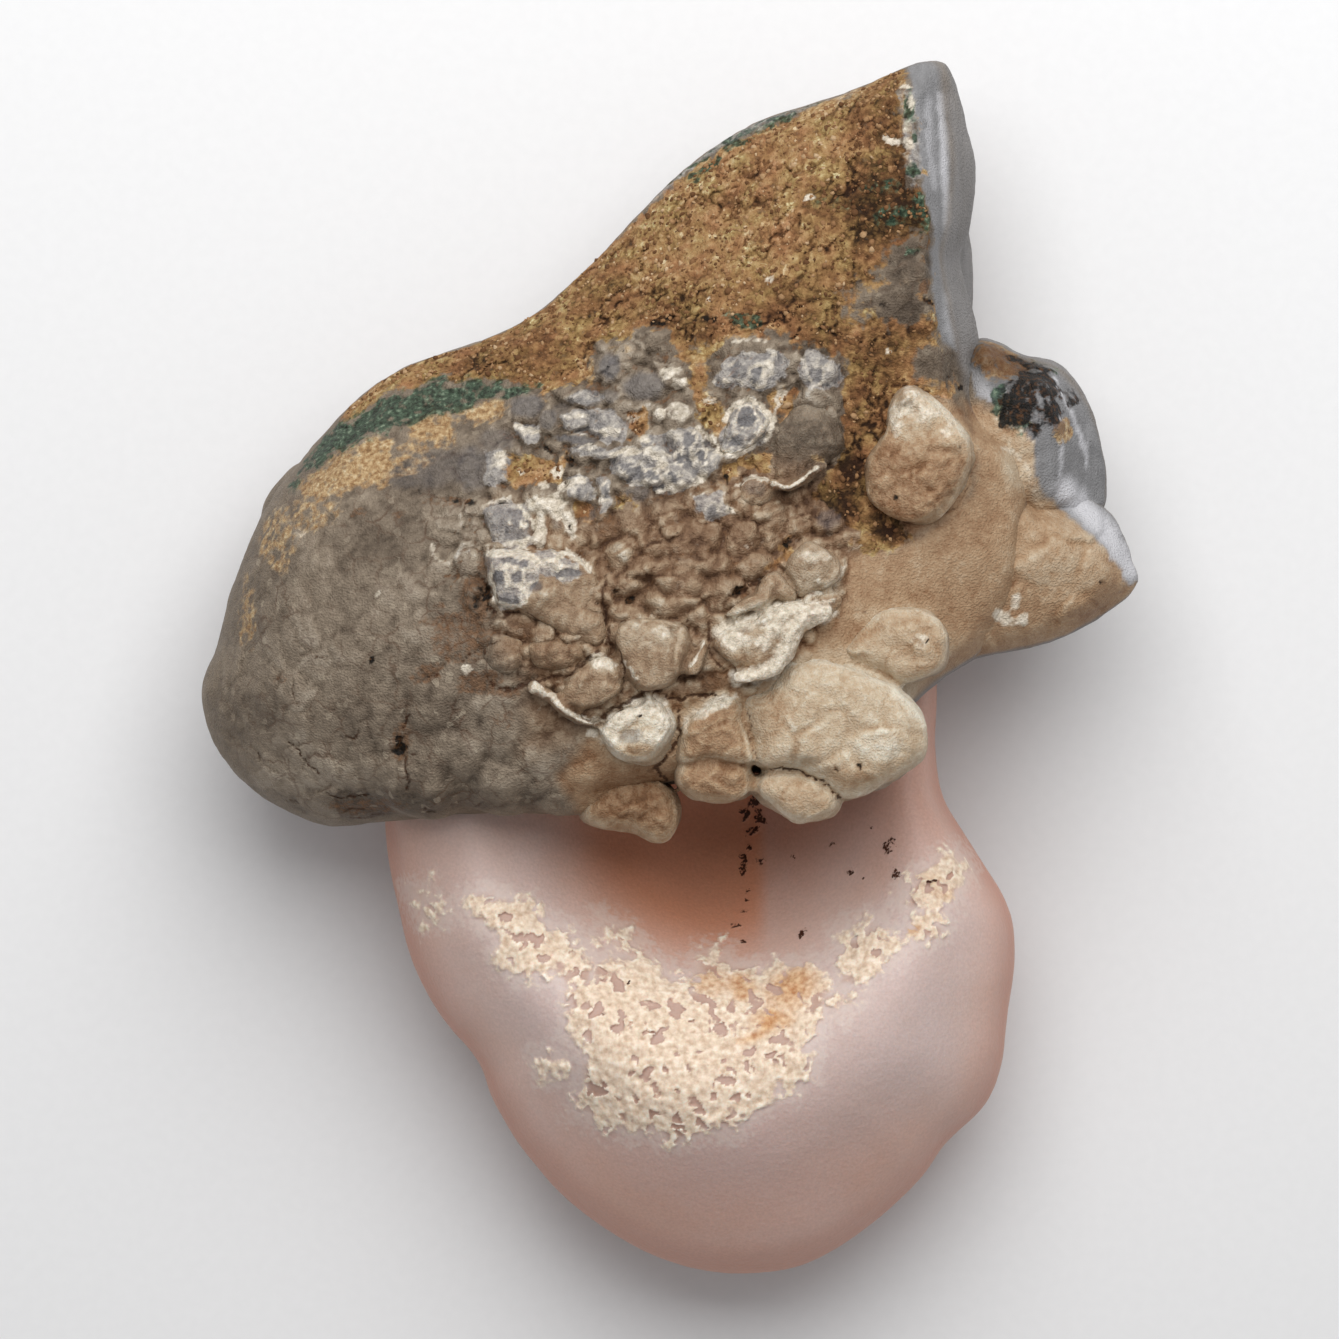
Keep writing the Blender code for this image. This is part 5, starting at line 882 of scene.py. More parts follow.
# The porous patch on the lobe: outlines, then holes (x, y, half width, half length, turn in degrees)
DRUSE = [
    [(-10.2, -11.3), (-9.2, -10.9), (-8.0, -11.5), (-6.9, -11.7), (-6.6, -12.4), (-5.5, -13.0),
     (-5.4, -14.0), (-4.6, -14.5), (-6.0, -15.3), (-7.5, -15.3), (-8.8, -14.3), (-8.3, -13.2),
     (-9.4, -12.6), (-10.0, -12.0)],
    [(-4.2, -15.5), (-3.2, -14.3), (-1.5, -14.5), (0.0, -15.2), (1.0, -15.7), (1.6, -14.3), (2.6, -14.2),
     (3.8, -14.9), (5.0, -15.3), (6.4, -14.6), (7.2, -14.8), (8.2, -15.8), (7.9, -17.3), (7.0, -18.5),
     (7.2, -20.0), (6.0, -21.0), (4.1, -21.8), (3.5, -22.8), (1.8, -23.2), (0.2, -23.5), (-1.7, -23.2),
     (-3.5, -22.8), (-4.7, -22.0), (-4.5, -20.5), (-4.2, -18.8), (-5.0, -18.0), (-5.4, -16.6),
     (-5.2, -15.6)],
    [(-3.7, -12.3), (-2.3, -13.1), (-1.5, -13.9), (-0.4, -14.7), (-1.4, -14.8), (-2.4, -14.2),
     (-3.3, -13.0)],
    [(-12.3, -12.0), (-11.8, -11.6), (-11.1, -11.9), (-11.2, -12.6), (-12.0, -12.7)],
    [(8.6, -12.9), (9.4, -13.0), (10.2, -12.5), (11.5, -13.7), (10.5, -14.9), (9.3, -15.6), (8.4, -15.9),
     (8.5, -14.3)],
    [(11.4, -11.5), (12.6, -10.2), (13.5, -9.5), (14.9, -9.3), (15.0, -10.3), (14.3, -11.3),
     (12.9, -12.0), (12.0, -12.2)],
    [(12.0, -12.5), (12.8, -12.3), (13.8, -12.6), (13.4, -13.5), (12.4, -13.6)],
    [(-6.8, -13.2), (-5.4, -13.0), (-4.4, -13.6), (-3.6, -14.6), (-3.8, -16.0), (-5.2, -15.8),
     (-6.6, -15.0)],
    [(-12.9, -11.0), (-12.2, -10.9), (-12.0, -11.6), (-12.8, -11.8)],
    [(-6.6, -19.6), (-5.8, -19.2), (-5.4, -20.0), (-6.2, -20.4)],
    [(7.4, -16.6), (8.2, -16.0), (9.2, -16.4), (8.4, -17.2)],
]
DRUSE_HOLES = [
    (1.5, -14.9, 0.7, 0.3, -10), (3.6, -14.8, 0.6, 0.25, 20), (1.8, -16.5, 0.8, 0.2, -30),
    (0.4, -17.0, 0.35, 0.45, 0), (2.6, -18.0, 0.4, 0.3, 0), (-0.6, -18.4, 0.35, 0.35, 0),
    (2.8, -20.4, 0.5, 0.22, -10), (-0.7, -21.0, 0.25, 0.45, 20), (1.5, -21.9, 0.3, 0.25, 0),
    (5.4, -18.4, 0.6, 0.3, 30), (-3.6, -17.0, 0.5, 0.3, 40), (-2.4, -17.3, 0.2, 0.4, 0),
    (-8.2, -12.4, 0.3, 0.25, 0), (-7.0, -13.4, 0.4, 0.25, 0), (-3.5, -21.0, 0.5, 0.3, -30),
    (-1.8, -21.4, 0.2, 0.3, 0), (0.4, -19.2, 0.2, 0.2, 0), (-0.9, -16.8, 0.2, 0.2, 0),
    (4.2, -16.9, 0.6, 0.2, 25), (-1.2, -20.3, 0.3, 0.2, 0), (0.4, -22.8, 0.4, 0.15, -20),
    (-6.2, -14.4, 0.4, 0.25, 0),
]
DRUSE_STAINS = [
    (6.1, -15.9, 1.3, 0.9, 30, 0.9), (5.0, -17.6, 1.0, 0.6, 30, 1.0), (2.0, -15.7, 0.9, 0.5, 0, 0.6),
    (3.5, -15.8, 0.9, 0.5, 0, 0.8), (4.2, -18.3, 0.9, 0.4, 20, 0.8), (12.1, -13.0, 0.3, 0.3, 0, 0.9),
    (14.2, -11.2, 0.6, 0.4, 0, 0.5), (13.0, -10.6, 0.8, 0.6, 0, 0.3),
]
LOBE_DIRT = [
    (4.3, -6.6, 0.4, 0.3, 0, 0.8), (4.5, -7.4, 0.3, 0.4, 0, 0.8), (3.8, -7.3, 0.2, 0.4, 0, 0.8),
    (4.2, -8.1, 0.3, 0.2, 0, 0.7), (4.0, -9.0, 0.12, 0.2, 0, 0.7), (3.8, -11.6, 0.1, 0.1, 0, 0.8),
    (3.8, -9.6, 0.15, 0.3, 0, 0.8), (4.6, -9.7, 0.15, 0.15, 0, 0.8), (3.7, -10.2, 0.2, 0.15, 0, 0.8),
    (3.8, -12.1, 0.15, 0.12, 0, 0.7), (3.4, -12.8, 0.25, 0.12, 0, 0.9), (3.7, -13.5, 0.12, 0.1, 0, 0.8),
    (6.5, -13.2, 0.1, 0.25, -20, 0.9), (9.1, -10.2, 0.2, 0.12, 0, 0.9), (9.7, -10.4, 0.12, 0.1, 0, 0.8),
    (8.3, -8.7, 0.15, 0.12, 0, 0.8), (10.9, -9.0, 0.25, 0.3, 0, 0.7), (11.4, -10.2, 0.15, 0.2, 0, 0.8),
    (11.1, -8.6, 0.3, 0.15, 0, 0.5), (13.1, -10.5, 0.12, 0.12, 0, 1.0), (-2.0, -15.6, 0.1, 0.1, 0, 1.0),
    (10.1, -7.9, 0.12, 0.1, 0, 0.6), (6.3, -9.5, 0.12, 0.08, 0, 0.5), (3.9, -11.0, 0.1, 0.3, 0, 0.5),
]

# Tints from dark to light, each as its red, green and blue look, 0 to 255
TINTS = {
    "grey": [(70, 59, 48), (105, 92, 78), (136, 122, 105), (164, 151, 134), (206, 200, 188)],
    "tan": [(86, 54, 32), (134, 99, 70), (168, 139, 109), (194, 175, 149), (220, 212, 194)],
    "joint": [(74, 44, 24)],
    "fleck": [(190, 176, 154)],
    "glass": [(120, 119, 119), (142, 141, 142)],
    "glass shade": [(78, 75, 71)],
    "streak": [(204, 203, 206)],
    "under": [(160, 138, 130), (148, 136, 128)],
    "frost": [(106, 104, 103), (144, 140, 138), (176, 171, 165), (204, 197, 186)],
    "sand": [(46, 30, 18), (84, 60, 38), (123, 91, 61), (154, 120, 84), (176, 145, 109), (214, 195, 166)],
    "rosy": [(255, 238, 232), (244, 255, 230)],
    "ochre": [(94, 62, 32), (156, 121, 80), (190, 161, 119), (222, 205, 170)],
    "ochre shade": [(88, 52, 22)],
    "green": [(7, 15, 11), (30, 48, 36), (66, 88, 70), (140, 156, 132)],
    "stain": [(66, 42, 25), (124, 90, 62)],
    "blue": [(86, 85, 86), (116, 114, 116)],
    "white": [(146, 134, 116), (198, 187, 168), (226, 215, 197), (243, 235, 221)],
    "crack": [(34, 19, 10), (78, 48, 29)],
    "dirt": [(8, 6, 4), (20, 16, 11), (84, 54, 28)],
    "grain": [(96, 66, 42), (122, 88, 58), (142, 106, 73), (156, 120, 84), (172, 140, 104), (200, 174, 140)],
    "grain speck": [(108, 76, 48)],
    "pink": [(204, 172, 158), (206, 180, 170)],
    "milky": [(192, 173, 167), (198, 179, 174)],
    "lobe rim": [(190, 138, 118)],
    "lobe hollow": [(204, 136, 100)],
    "bloom": [(216, 202, 192)],
    "pore": [(176, 138, 116)],
    "druse": [(172, 142, 118), (206, 182, 158), (230, 211, 189), (246, 235, 219)],
    "druse stain": [(176, 118, 72), (222, 186, 144)],
    "lobe dirt": [(66, 36, 24)],
    "paper": [(224, 224, 224), (235, 235, 235)],
}


# Noise

def smooth_step(low, high, value):
    """0 up to low, 1 from high on, and a smooth rise between them; low may be the larger."""
    share = np.clip((value - low) / (high - low), 0, 1)
    return share * share * (3 - 2 * share)


def random_at(cells, seed):
    """A repeatable number from 0 to 1 for each row of whole numbers."""
    mixed = np.full(len(cells), seed + 1, np.uint64)
    for column in cells.T.astype(np.int64).astype(np.uint64):
        mixed = (mixed ^ column) * np.uint64(0x9E3779B97F4A7C15)
        mixed ^= mixed >> np.uint64(31)
    return (mixed >> np.uint64(11)) / 2.0**53


def soft_noise(at, size, seed):
    """Smooth noise from -1 to 1 whose bumps are about this size."""
    scaled = at / size
    cell = np.floor(scaled)
    share = scaled - cell
    share = share * share * (3 - 2 * share)
    total = np.zeros(len(at))
    for corner in itertools.product((0, 1), repeat=at.shape[1]):
        weight = np.where(corner, share, 1 - share).prod(1)
        total += weight * random_at(cell + corner, seed)
    return 2 * total - 1


def layered_noise(at, size, seed, layers=3):
    """Soft noise with finer noise on it, each layer half the size and turned from the last."""
    turn = math.radians(37)
    spin = np.eye(at.shape[1])
    spin[:2, :2] = [[math.cos(turn), -math.sin(turn)], [math.sin(turn), math.cos(turn)]]
    total = np.zeros(len(at))
    for layer in range(layers):
        at = at @ spin
        total += soft_noise(at, size / 2**layer, seed + layer) / 2**layer
    return total / (2 - 2 / 2**layers)


def mosaic(at, size, seed):
    """Irregular cells in x and y: distance from the edge between cells, and a number for each cell."""
    cell = np.floor(at / size)
    first = np.full(len(at), np.inf)
    second = first.copy()
    number = np.zeros(len(at))
    for offset in itertools.product((-1, 0, 1), repeat=2):
        there = cell + offset
        place = there + np.column_stack([random_at(there, seed), random_at(there, seed + 1)])
        gap = np.linalg.norm(at - place * size, axis=1)
        closer = gap < first
        second = np.where(closer, first, np.minimum(second, gap))
        number = np.where(closer, random_at(there, seed + 2), number)
        first = np.minimum(first, gap)
    return (second - first) / 2, number


def faceted(at, size, seed):
    """Blunt blocks of about this size, each with a flat top tilted its own way, from about -1 to 1."""
    cell = np.floor(at / size)
    first = np.full(len(at), np.inf)
    second = first.copy()
    height = np.zeros(len(at))
    for offset in itertools.product((-1, 0, 1), repeat=2):
        there = cell + offset
        away = at / size - there - np.column_stack([random_at(there, seed + axis) for axis in (0, 1)])
        gap = np.linalg.norm(away, axis=1)
        closer = gap < first
        tilt = np.column_stack([random_at(there, seed + axis) for axis in (2, 3)]) - 0.5
        height = np.where(closer, 2.4 * (away * tilt).sum(1) + 0.7 * random_at(there, seed + 4), height)
        second = np.where(closer, first, np.minimum(second, gap))
        first = np.minimum(first, gap)
    return height * smooth_step(0.0, 0.22, second - first) - 0.25


def warped(at, *moves):
    """The points moved about a little, to make outlines drawn with them uneven.

    Each move is how far at most, the size of its bumps and a seed.
    """
    for reach, size, seed in moves:
        shifts = [layered_noise(at, size, seed + 10 * axis, 2) for axis in range(2)]
        at = at + reach * np.column_stack(shifts)
    return at


# Curves, surfaces and distances

def spline_ring(points, steps):
    """A closed Catmull-Rom curve through the points, with the same number of steps between each two."""
    points = np.array(points, float)
    share = np.linspace(0, 1, steps, endpoint=False)[:, None]
    spans = []
    for i in range(len(points)):
        before, start, end, after = (points[(i + k) % len(points)] for k in (-1, 0, 1, 2))
        spans.append(
            start
            + 0.5 * share * (end - before)
            + share**2 * (before - 2.5 * start + 2 * end - 0.5 * after)
            + share**3 * (1.5 * (start - end) + 0.5 * (after - before))
        )
    return np.concatenate(spans)


def surface_through(spots):
    """A function of x and y: the thin-plate surface through spot heights."""
    spots = np.array(spots, float)
    places, heights = spots[:, :2], spots[:, 2]

    def bend(distance):
        return distance**2 * np.log(distance + 1e-9)

    count = len(spots)
    plane = np.hstack([np.ones((count, 1)), places])
    matrix = np.zeros((count + 3, count + 3))
    matrix[:count, :count] = bend(np.linalg.norm(places[:, None] - places[None], axis=2))
    matrix[:count, count:] = plane
    matrix[count:, :count] = plane.T
    weights = np.linalg.solve(matrix, np.append(heights, np.zeros(3)))

    def height(at):
        bent = bend(np.linalg.norm(at[:, None] - places[None], axis=2)) @ weights[:count]
        return bent + weights[count] + at @ weights[count + 1 :]

    return height


def edge_profile(share, straight):
    """How far the surface has risen from the rim: a quarter round, or a straight break."""
    share = np.clip(share, 0, 1)
    return (1 - straight) * np.sqrt(1 - (1 - share) ** 2) + straight * share


def inside(rim, at):
    """Which of the points lie inside the rim."""
    crossings = np.zeros(len(at), int)
    for (x0, y0), (x1, y1) in zip(rim, np.roll(rim, -1, axis=0)):
        spans = (at[:, 1] < y0) != (at[:, 1] < y1)
        across = x0 + (at[:, 1] - y0) * (x1 - x0) / (y1 - y0 + 1e-12)
        crossings += spans & (at[:, 0] < across)
    return crossings % 2 == 1


def line_distance(at, points, closed=False):
    """Distance from each place to a line through the points."""
    points = np.array(points, float)
    ends = np.roll(points, -1, axis=0) if closed else points[1:]
    nearest = np.full(len(at), np.inf)
    for start, end in zip(points, ends):
        along = end - start
        share = np.clip((at - start) @ along / (along @ along), 0, 1)
        nearest = np.minimum(nearest, np.linalg.norm(at - start - share[:, None] * along, axis=1))
    return nearest


def depth_inside(at, outlines, reach=2.0):
    """How far inside the outlines each place lies, negative outside them and never below -reach."""
    deepest = np.full(len(at), -reach)
    for outline in outlines:
        points = np.array(outline, float)
        near = np.flatnonzero(((at > points.min(0) - reach) & (at < points.max(0) + reach)).all(1))
        distance = line_distance(at[near], points, closed=True)
        signed = np.where(inside(points, at[near]), distance, -distance)
        deepest[near] = np.maximum(deepest[near], signed)
    return deepest


def reach_from(at, x, y, wide, long, turn):
    """Distance from a spot's centre as a share of its half sizes."""
    cos, sin = math.cos(math.radians(turn)), math.sin(math.radians(turn))
    away = (at - (x, y)) @ np.array([(cos, -sin), (sin, cos)])
    return np.linalg.norm(away / (wide, long), axis=1)


# Meshes

def inner_points(rim):
    """Points inside a rim that runs clockwise: a few rows that follow it, and a grid clear of them."""
    along = np.roll(rim, -1, axis=0) - np.roll(rim, 1, axis=0)
    inward = np.column_stack([along[:, 1], -along[:, 0]])
    inward /= np.linalg.norm(inward, axis=1)[:, None]
    xs = np.arange(rim[:, 0].min() + PLATE_GRID / 2, rim[:, 0].max(), PLATE_GRID)
    ys = np.arange(rim[:, 1].min() + PLATE_GRID / 2, rim[:, 1].max(), PLATE_GRID)
    rows = [(rim + inward * inset, inset * 0.9) for inset in RIM_INSETS]
    rows.append((np.array([(x, y) for x in xs for y in ys]), RIM_INSETS[-1] + PLATE_GRID / 2))
    kept = []
    for points, clear in rows:
        gap = np.linalg.norm(points[:, None] - rim[None], axis=2).min(1)
        kept.append(points[inside(rim, points) & (gap > clear)])
    return np.concatenate(kept)


def add_plate(shape, rim_points, top_spots, under_spots):
    """A closed plate with this rim seen from above, and a top and an underside through spot heights."""
    ring = spline_ring(rim_points, RIM_STEPS)
    rim = ring[:, :2]
    places = np.concatenate([rim, inner_points(rim)])
    loop = [(i, (i + 1) % len(rim)) for i in range(len(rim))]
    flat, _, faces, *_ = delaunay_2d_cdt([Vector(p) for p in places], loop, [], 1, 1e-6)
    at = np.array([tuple(p) for p in flat])
    distance = np.linalg.norm(at[:, None] - rim[None], axis=2)
    nearest = distance.argmin(1)
    inward = distance.min(1)
    _, _, rim_z, wall, width, straight = ring[nearest].T
    levels = []
    for spots, edge_z, reach in (
        (top_spots, rim_z, width),
        (under_spots, rim_z - wall, width * UNDER_REACH),
    ):
        rise = surface_through(spots)(at) - edge_z
        levels.append(edge_z + rise * edge_profile(inward / reach, straight))
    upper, lower = (
        [shape.verts.new((x, y, z)) for (x, y), z in zip(at, level)] for level in levels
    )
    for face in faces:
        shape.faces.new([upper[i] for i in face])
        shape.faces.new([lower[i] for i in reversed(face)])
    edge = distance.argmin(0)
    for i, j in zip(edge, np.roll(edge, -1)):
        shape.faces.new([upper[i], upper[j], lower[j], lower[i]])


def add_ball(shape, centre, half_sizes, seed, uneven):
    """A ball stretched to its half sizes and made a little uneven."""
    made = bmesh.ops.create_icosphere(shape, subdivisions=BALL_ROUNDS, radius=1.0)["verts"]
    for vert in made:
        swell = 1 + uneven * noise.noise(vert.co * UNEVEN_SCALE + Vector((seed, 0, 0)))
        vert.co = Vector(centre) + Vector([c * s * swell for c, s in zip(vert.co, half_sizes)])


def clockwise(outline):
    """The outline, turned round if it runs the other way."""
    points = np.array(outline, float)
    ahead = np.roll(points, -1, axis=0)
    area = (points[:, 0] * ahead[:, 1] - ahead[:, 0] * points[:, 1]).sum()
    return points[::-1] if area > 0 else points


def add_domed(shape, outline, rim_z, top_z, under_z, width, wall):
    """A plate with this outline whose top and underside swell to these heights."""
    points = clockwise(outline)
    middle = points.mean(0)
    rim = [(x, y, z, wall, width, 0.0) for (x, y), z in zip(points, rim_z)]
    spots = [tuple(middle)] + [tuple(middle + 0.6 * (p - middle)) for p in points[::2]]
    tops = [(x, y, top_z if i == 0 else top_z - 0.08 * width) for i, (x, y) in enumerate(spots)]
    unders = [(x, y, under_z) for x, y in spots]
    add_plate(shape, rim, tops, unders)


def fused(shape, cube, rounds):
    """One skin around all the overlapping shapes, as a mesh of near-square faces of this size."""
    bmesh.ops.recalc_face_normals(shape, faces=shape.faces)
    mesh = bpy.data.meshes.new("shape")
    shape.to_mesh(mesh)
    shape.free()
    helper = bpy.data.objects.new("helper", mesh)
    bpy.context.scene.collection.objects.link(helper)
    remesh = helper.modifiers.new("Fuse", "REMESH")
    remesh.mode = "VOXEL"
    remesh.voxel_size = cube
    smooth = helper.modifiers.new("Soften", "SMOOTH")
    smooth.factor = SMOOTH_SHARE
    smooth.iterations = rounds
    made = bpy.data.meshes.new_from_object(
        helper.evaluated_get(bpy.context.evaluated_depsgraph_get())
    )
    bpy.data.objects.remove(helper)
    bpy.data.meshes.remove(mesh)
    return made


def refine(mesh, wanted):
    """Divides each face whose centre and normal are wanted into four."""
    shape = bmesh.new()
    shape.from_mesh(mesh)
    centres = np.array([face.calc_center_median() for face in shape.faces])
    normals = np.array([face.normal for face in shape.faces])
    chosen = wanted(centres, normals)
    edges = {edge for face, pick in zip(shape.faces, chosen) if pick for edge in face.edges}
    bmesh.ops.subdivide_edges(shape, edges=list(edges), cuts=1, use_grid_fill=True)
    bmesh.ops.triangulate(shape, faces=[face for face in shape.faces if len(face.verts) > 4])
    shape.to_mesh(mesh)
    shape.free()


def places_of(mesh):
    """Each vertex's place and normal."""
    at = np.empty(len(mesh.vertices) * 3)
    mesh.vertices.foreach_get("co", at)
    normals = np.empty(len(mesh.vertices) * 3)
    mesh.vertices.foreach_get("normal", normals)
    return at.reshape(-1, 3), normals.reshape(-1, 3)


def hollowness(mesh, at, normals):
    """How far each place lies below its surroundings, near and a little wider, in millimetres."""
    ends = np.empty(2 * len(mesh.edges), int)
    mesh.edges.foreach_get("vertices", ends)
    first, second = ends.reshape(-1, 2).T
    count = np.bincount(ends, minlength=len(at))[:, None]
    found = np.zeros(len(at))
    smooth = at
    for rounds, share in ((2, 1.0), (7, 0.3)):
        for _ in range(rounds):
            total = np.zeros_like(at)
            for axis in range(3):
                total[:, axis] = np.bincount(first, smooth[second, axis], len(at))
                total[:, axis] += np.bincount(second, smooth[first, axis], len(at))
            smooth = total / np.maximum(count, 1)
        found += share * ((smooth - at) * normals).sum(1)
    return found


# Markings

def lightness(at):
    """How light the crust is at each place, from 0 to 1."""
    level = np.full(len(at), MIDDLE_LEVEL)
    for x, y, wide, long, turn, wanted in LEVELS:
        near = np.flatnonzero(np.abs(at - (x, y)).max(1) < 1.5 * max(wide, long))
        share = smooth_step(1.35, 0.65, reach_from(at[near], x, y, wide, long, turn))
        level[near] += (wanted - level[near]) * share
    return level


def painted(at, spots=(), strokes=(), soft=0.7):
    """How strongly spots and strokes show at each place."""
    strength = np.zeros(len(at))
    for x, y, wide, long, turn, most in spots:
        near = np.flatnonzero(np.abs(at - (x, y)).max(1) < 1.6 * max(wide, long))
        shown = most * smooth_step(1.9 - soft, soft, reach_from(at[near], x, y, wide, long, turn))
        strength[near] = np.maximum(strength[near], shown)
    for width, most, points in strokes:
        points = np.array(points, float)
        near = np.flatnonzero(((at > points.min(0) - width) & (at < points.max(0) + width)).all(1))
        distance = line_distance(at[near], points)
        shown = most * smooth_step(0.7 * width, 0.1 * width, distance)
        strength[near] = np.maximum(strength[near], shown)
    return strength


def soft_area(at, outlines, edge):
    """1 inside the outlines and 0 outside them, with a soft edge this wide each way."""
    return smooth_step(-edge, edge, depth_inside(at, outlines))


def crumple(at):
    """Small crinkled knobs: how high each place is, how near a crease, and a number for each knob."""
    edge, number = mosaic(warped(at, (0.3, 0.7, 200)), 1.1, 205)
    fine_edge, fine_number = mosaic(warped(at, (0.12, 0.3, 210)), 0.5, 215)
    rise = smooth_step(0.0, 0.28, edge) * (0.5 + 0.5 * number)
    rise += 0.45 * smooth_step(0.0, 0.14, fine_edge) * fine_number
    return rise, smooth_step(0.06, 0.0, edge), 0.6 * number + 0.4 * fine_number


def frost_cells(at, marks, knobs):
    """Whitens the frosted areas where they are high and around their grey cells."""
    patchy = smooth_step(-0.55, 0.35, layered_noise(at, 1.0, 238, 2))
    crests = smooth_step(0.75, 1.05, knobs) * patchy
    wider = [
        (x, y, wide + FROST_RIM, long + FROST_RIM, turn, most)
        for x, y, wide, long, turn, most in SPOTS["blue"]
    ]
    rims = painted(warped(at, (0.13, 0.4, 30)), wider) * smooth_step(0.5, 0.2, marks["blue"])
    white = marks["frost"] * np.maximum(0.75 * crests, 0.9 * rims * (0.3 + 0.7 * patchy))
    marks["white"] = np.maximum(marks["white"], white)


def markings(at, shown):
    """Each marking's strength on the crust's top side, at x and y."""
    flat = warped(at[:, :2], (0.3, 1.1, 20), (0.16, 0.4, 25))
    fine = warped(at[:, :2], (0.13, 0.4, 30), (0.07, 0.2, 33))
    marks = {}
    for name, edge in AREA_EDGES.items():
        drawn = fine if name in ("cream", "glass") else flat
        marks[name] = soft_area(drawn, OUTLINES[name], edge)
    for name in ("white", "blue", "dirt", "crack", "stain", "ochre", "green", "streak", "frost"):
        shapes = painted(fine, SPOTS.get(name, ()), STROKES.get(name, ()))
        marks[name] = np.maximum(marks.get(name, 0), shapes)
    marks["shade"] = painted(flat, SPOTS["shade"], soft=0.3) * (1 - marks["glass"])
    marks["shade"] = np.maximum(marks["shade"], painted(fine, strokes=STROKES["shade"]))
    marks["crackle"] = 0.45 + 0.55 * painted(flat, SPOTS["crackle"], soft=0.2)
    marks["crackle"] *= (1 - marks["cream"]) * (1 - marks["glass"])
    marks["sand"] *= 1 - painted(flat, SPOTS["clear"], soft=0.3)
    marks["sand"] *= 1 - painted(fine, strokes=STROKES["frost"])
    frost_cells(at[:, :2], marks, crumple(at[:, :2])[0])
    return {name: strength * shown for name, strength in marks.items()}


def stone_marks(at, normals, top_height):
    """Markings on any face of the crust: painted ones on top, and broken or smooth stone elsewhere."""
    near_top = smooth_step(3.2, 1.6, top_height(at[:, :2]) - at[:, 2])
    shown = smooth_step(0.0, 0.3, normals[:, 2]) * near_top
    marks = markings(at, shown)
    side = smooth_step(0.75, 0.45, np.abs(normals[:, 2])) * (1 - shown)
    right = smooth_step(9.0, 12.5, at[:, 0])
    marks["glass"] = np.maximum(marks["glass"], 0.8 * side * right * (1 - marks["sand"]))
    marks["under"] = smooth_step(0.1, -0.3, normals[:, 2]) * smooth_step(12.0, 9.0, at[:, 2])
    marks["level"] = MIDDLE_LEVEL + (lightness(at[:, :2]) - MIDDLE_LEVEL) * shown
    return marks, shown


# Relief

def all_nodules():
    """The nodules of the table, and small ones at random that fill the gaps in the field."""
    rng = np.random.default_rng(7)
    field = np.array(NODULE_FIELD)
    low, high = field.min(0), field.max(0)
    pitch = 0.8
    found = list(NODULES)
    for x in np.arange(low[0], high[0], pitch):
        for y in np.arange(low[1], high[1], pitch):
            place = np.array([(x, y)]) + rng.uniform(-0.3, 0.3, (1, 2))
            wide, long = rng.uniform(0.35, 0.6, 2)
            turn, proud = rng.uniform(0, 180), rng.uniform(0.15, 0.45)
            taken = any(reach_from(place, *row[:5])[0] < 0.85 for row in NODULES)
            if inside(field, place)[0] and not taken:
                found.append((*place[0], wide, long, turn, proud))
    return found


def nodule_relief(at, nodules):
    """Height of the nodules over the crust, how near a crevice each place is, and each nodule's number."""
    at = warped(at, (0.3, 1.0, 60), (0.12, 0.4, 62))
    best = np.full(len(at), -CREVICE_DEPTH)
    second = best.copy()
    number = np.full(len(at), 0.5)
    for i, (x, y, wide, long, turn, proud) in enumerate(nodules):
        near = np.flatnonzero(np.abs(at - (x, y)).max(1) < 1.6 * max(wide, long))
        reach = reach_from(at[near], x, y, wide, long, turn)
        lean = math.tau * random_at(np.array([[i]]), 5)[0]
        slope = (at[near] - (x, y)) @ (math.cos(lean), math.sin(lean)) / max(wide, long)
        rise = np.maximum(proud * (1 - reach**3) + 0.35 * proud * slope, -CREVICE_DEPTH)
        higher = rise > best[near]
        second[near] = np.where(higher, best[near], np.maximum(second[near], rise))
        number[near] = np.where(higher, random_at(np.array([[i]]), 3)[0], number[near])
        best[near] = np.maximum(best[near], rise)
    field = smooth_step(-0.4, 0.6, depth_inside(at, [NODULE_FIELD]))
    crevice = smooth_step(0.07, 0.0, best - second) * field
    return np.maximum(best, -CREVICE_DEPTH * field), crevice, number


def sink(marks):
    """How far the cracks, the cells and the pits lie below the surface."""
    return sum(depth * marks[name] for name, depth in DEPTHS.items())


def sand_relief(at):
    """The rough sandy skin: its height, and how deep in a pit each place is."""
    coarse = layered_noise(at, 1.5, 70, 3)
    crumbs = layered_noise(at, 0.55, 72, 2)
    winding = np.abs(layered_noise(warped(at[:, :2], (0.2, 0.6, 76)), 0.9, 78, 2))
    pits = smooth_step(0.13, 0.0, winding) * smooth_step(-0.15, 0.25, layered_noise(at, 1.8, 79, 2))
    return 0.16 * coarse + 0.16 * crumbs - 0.2 * pits, pits


# Pieces

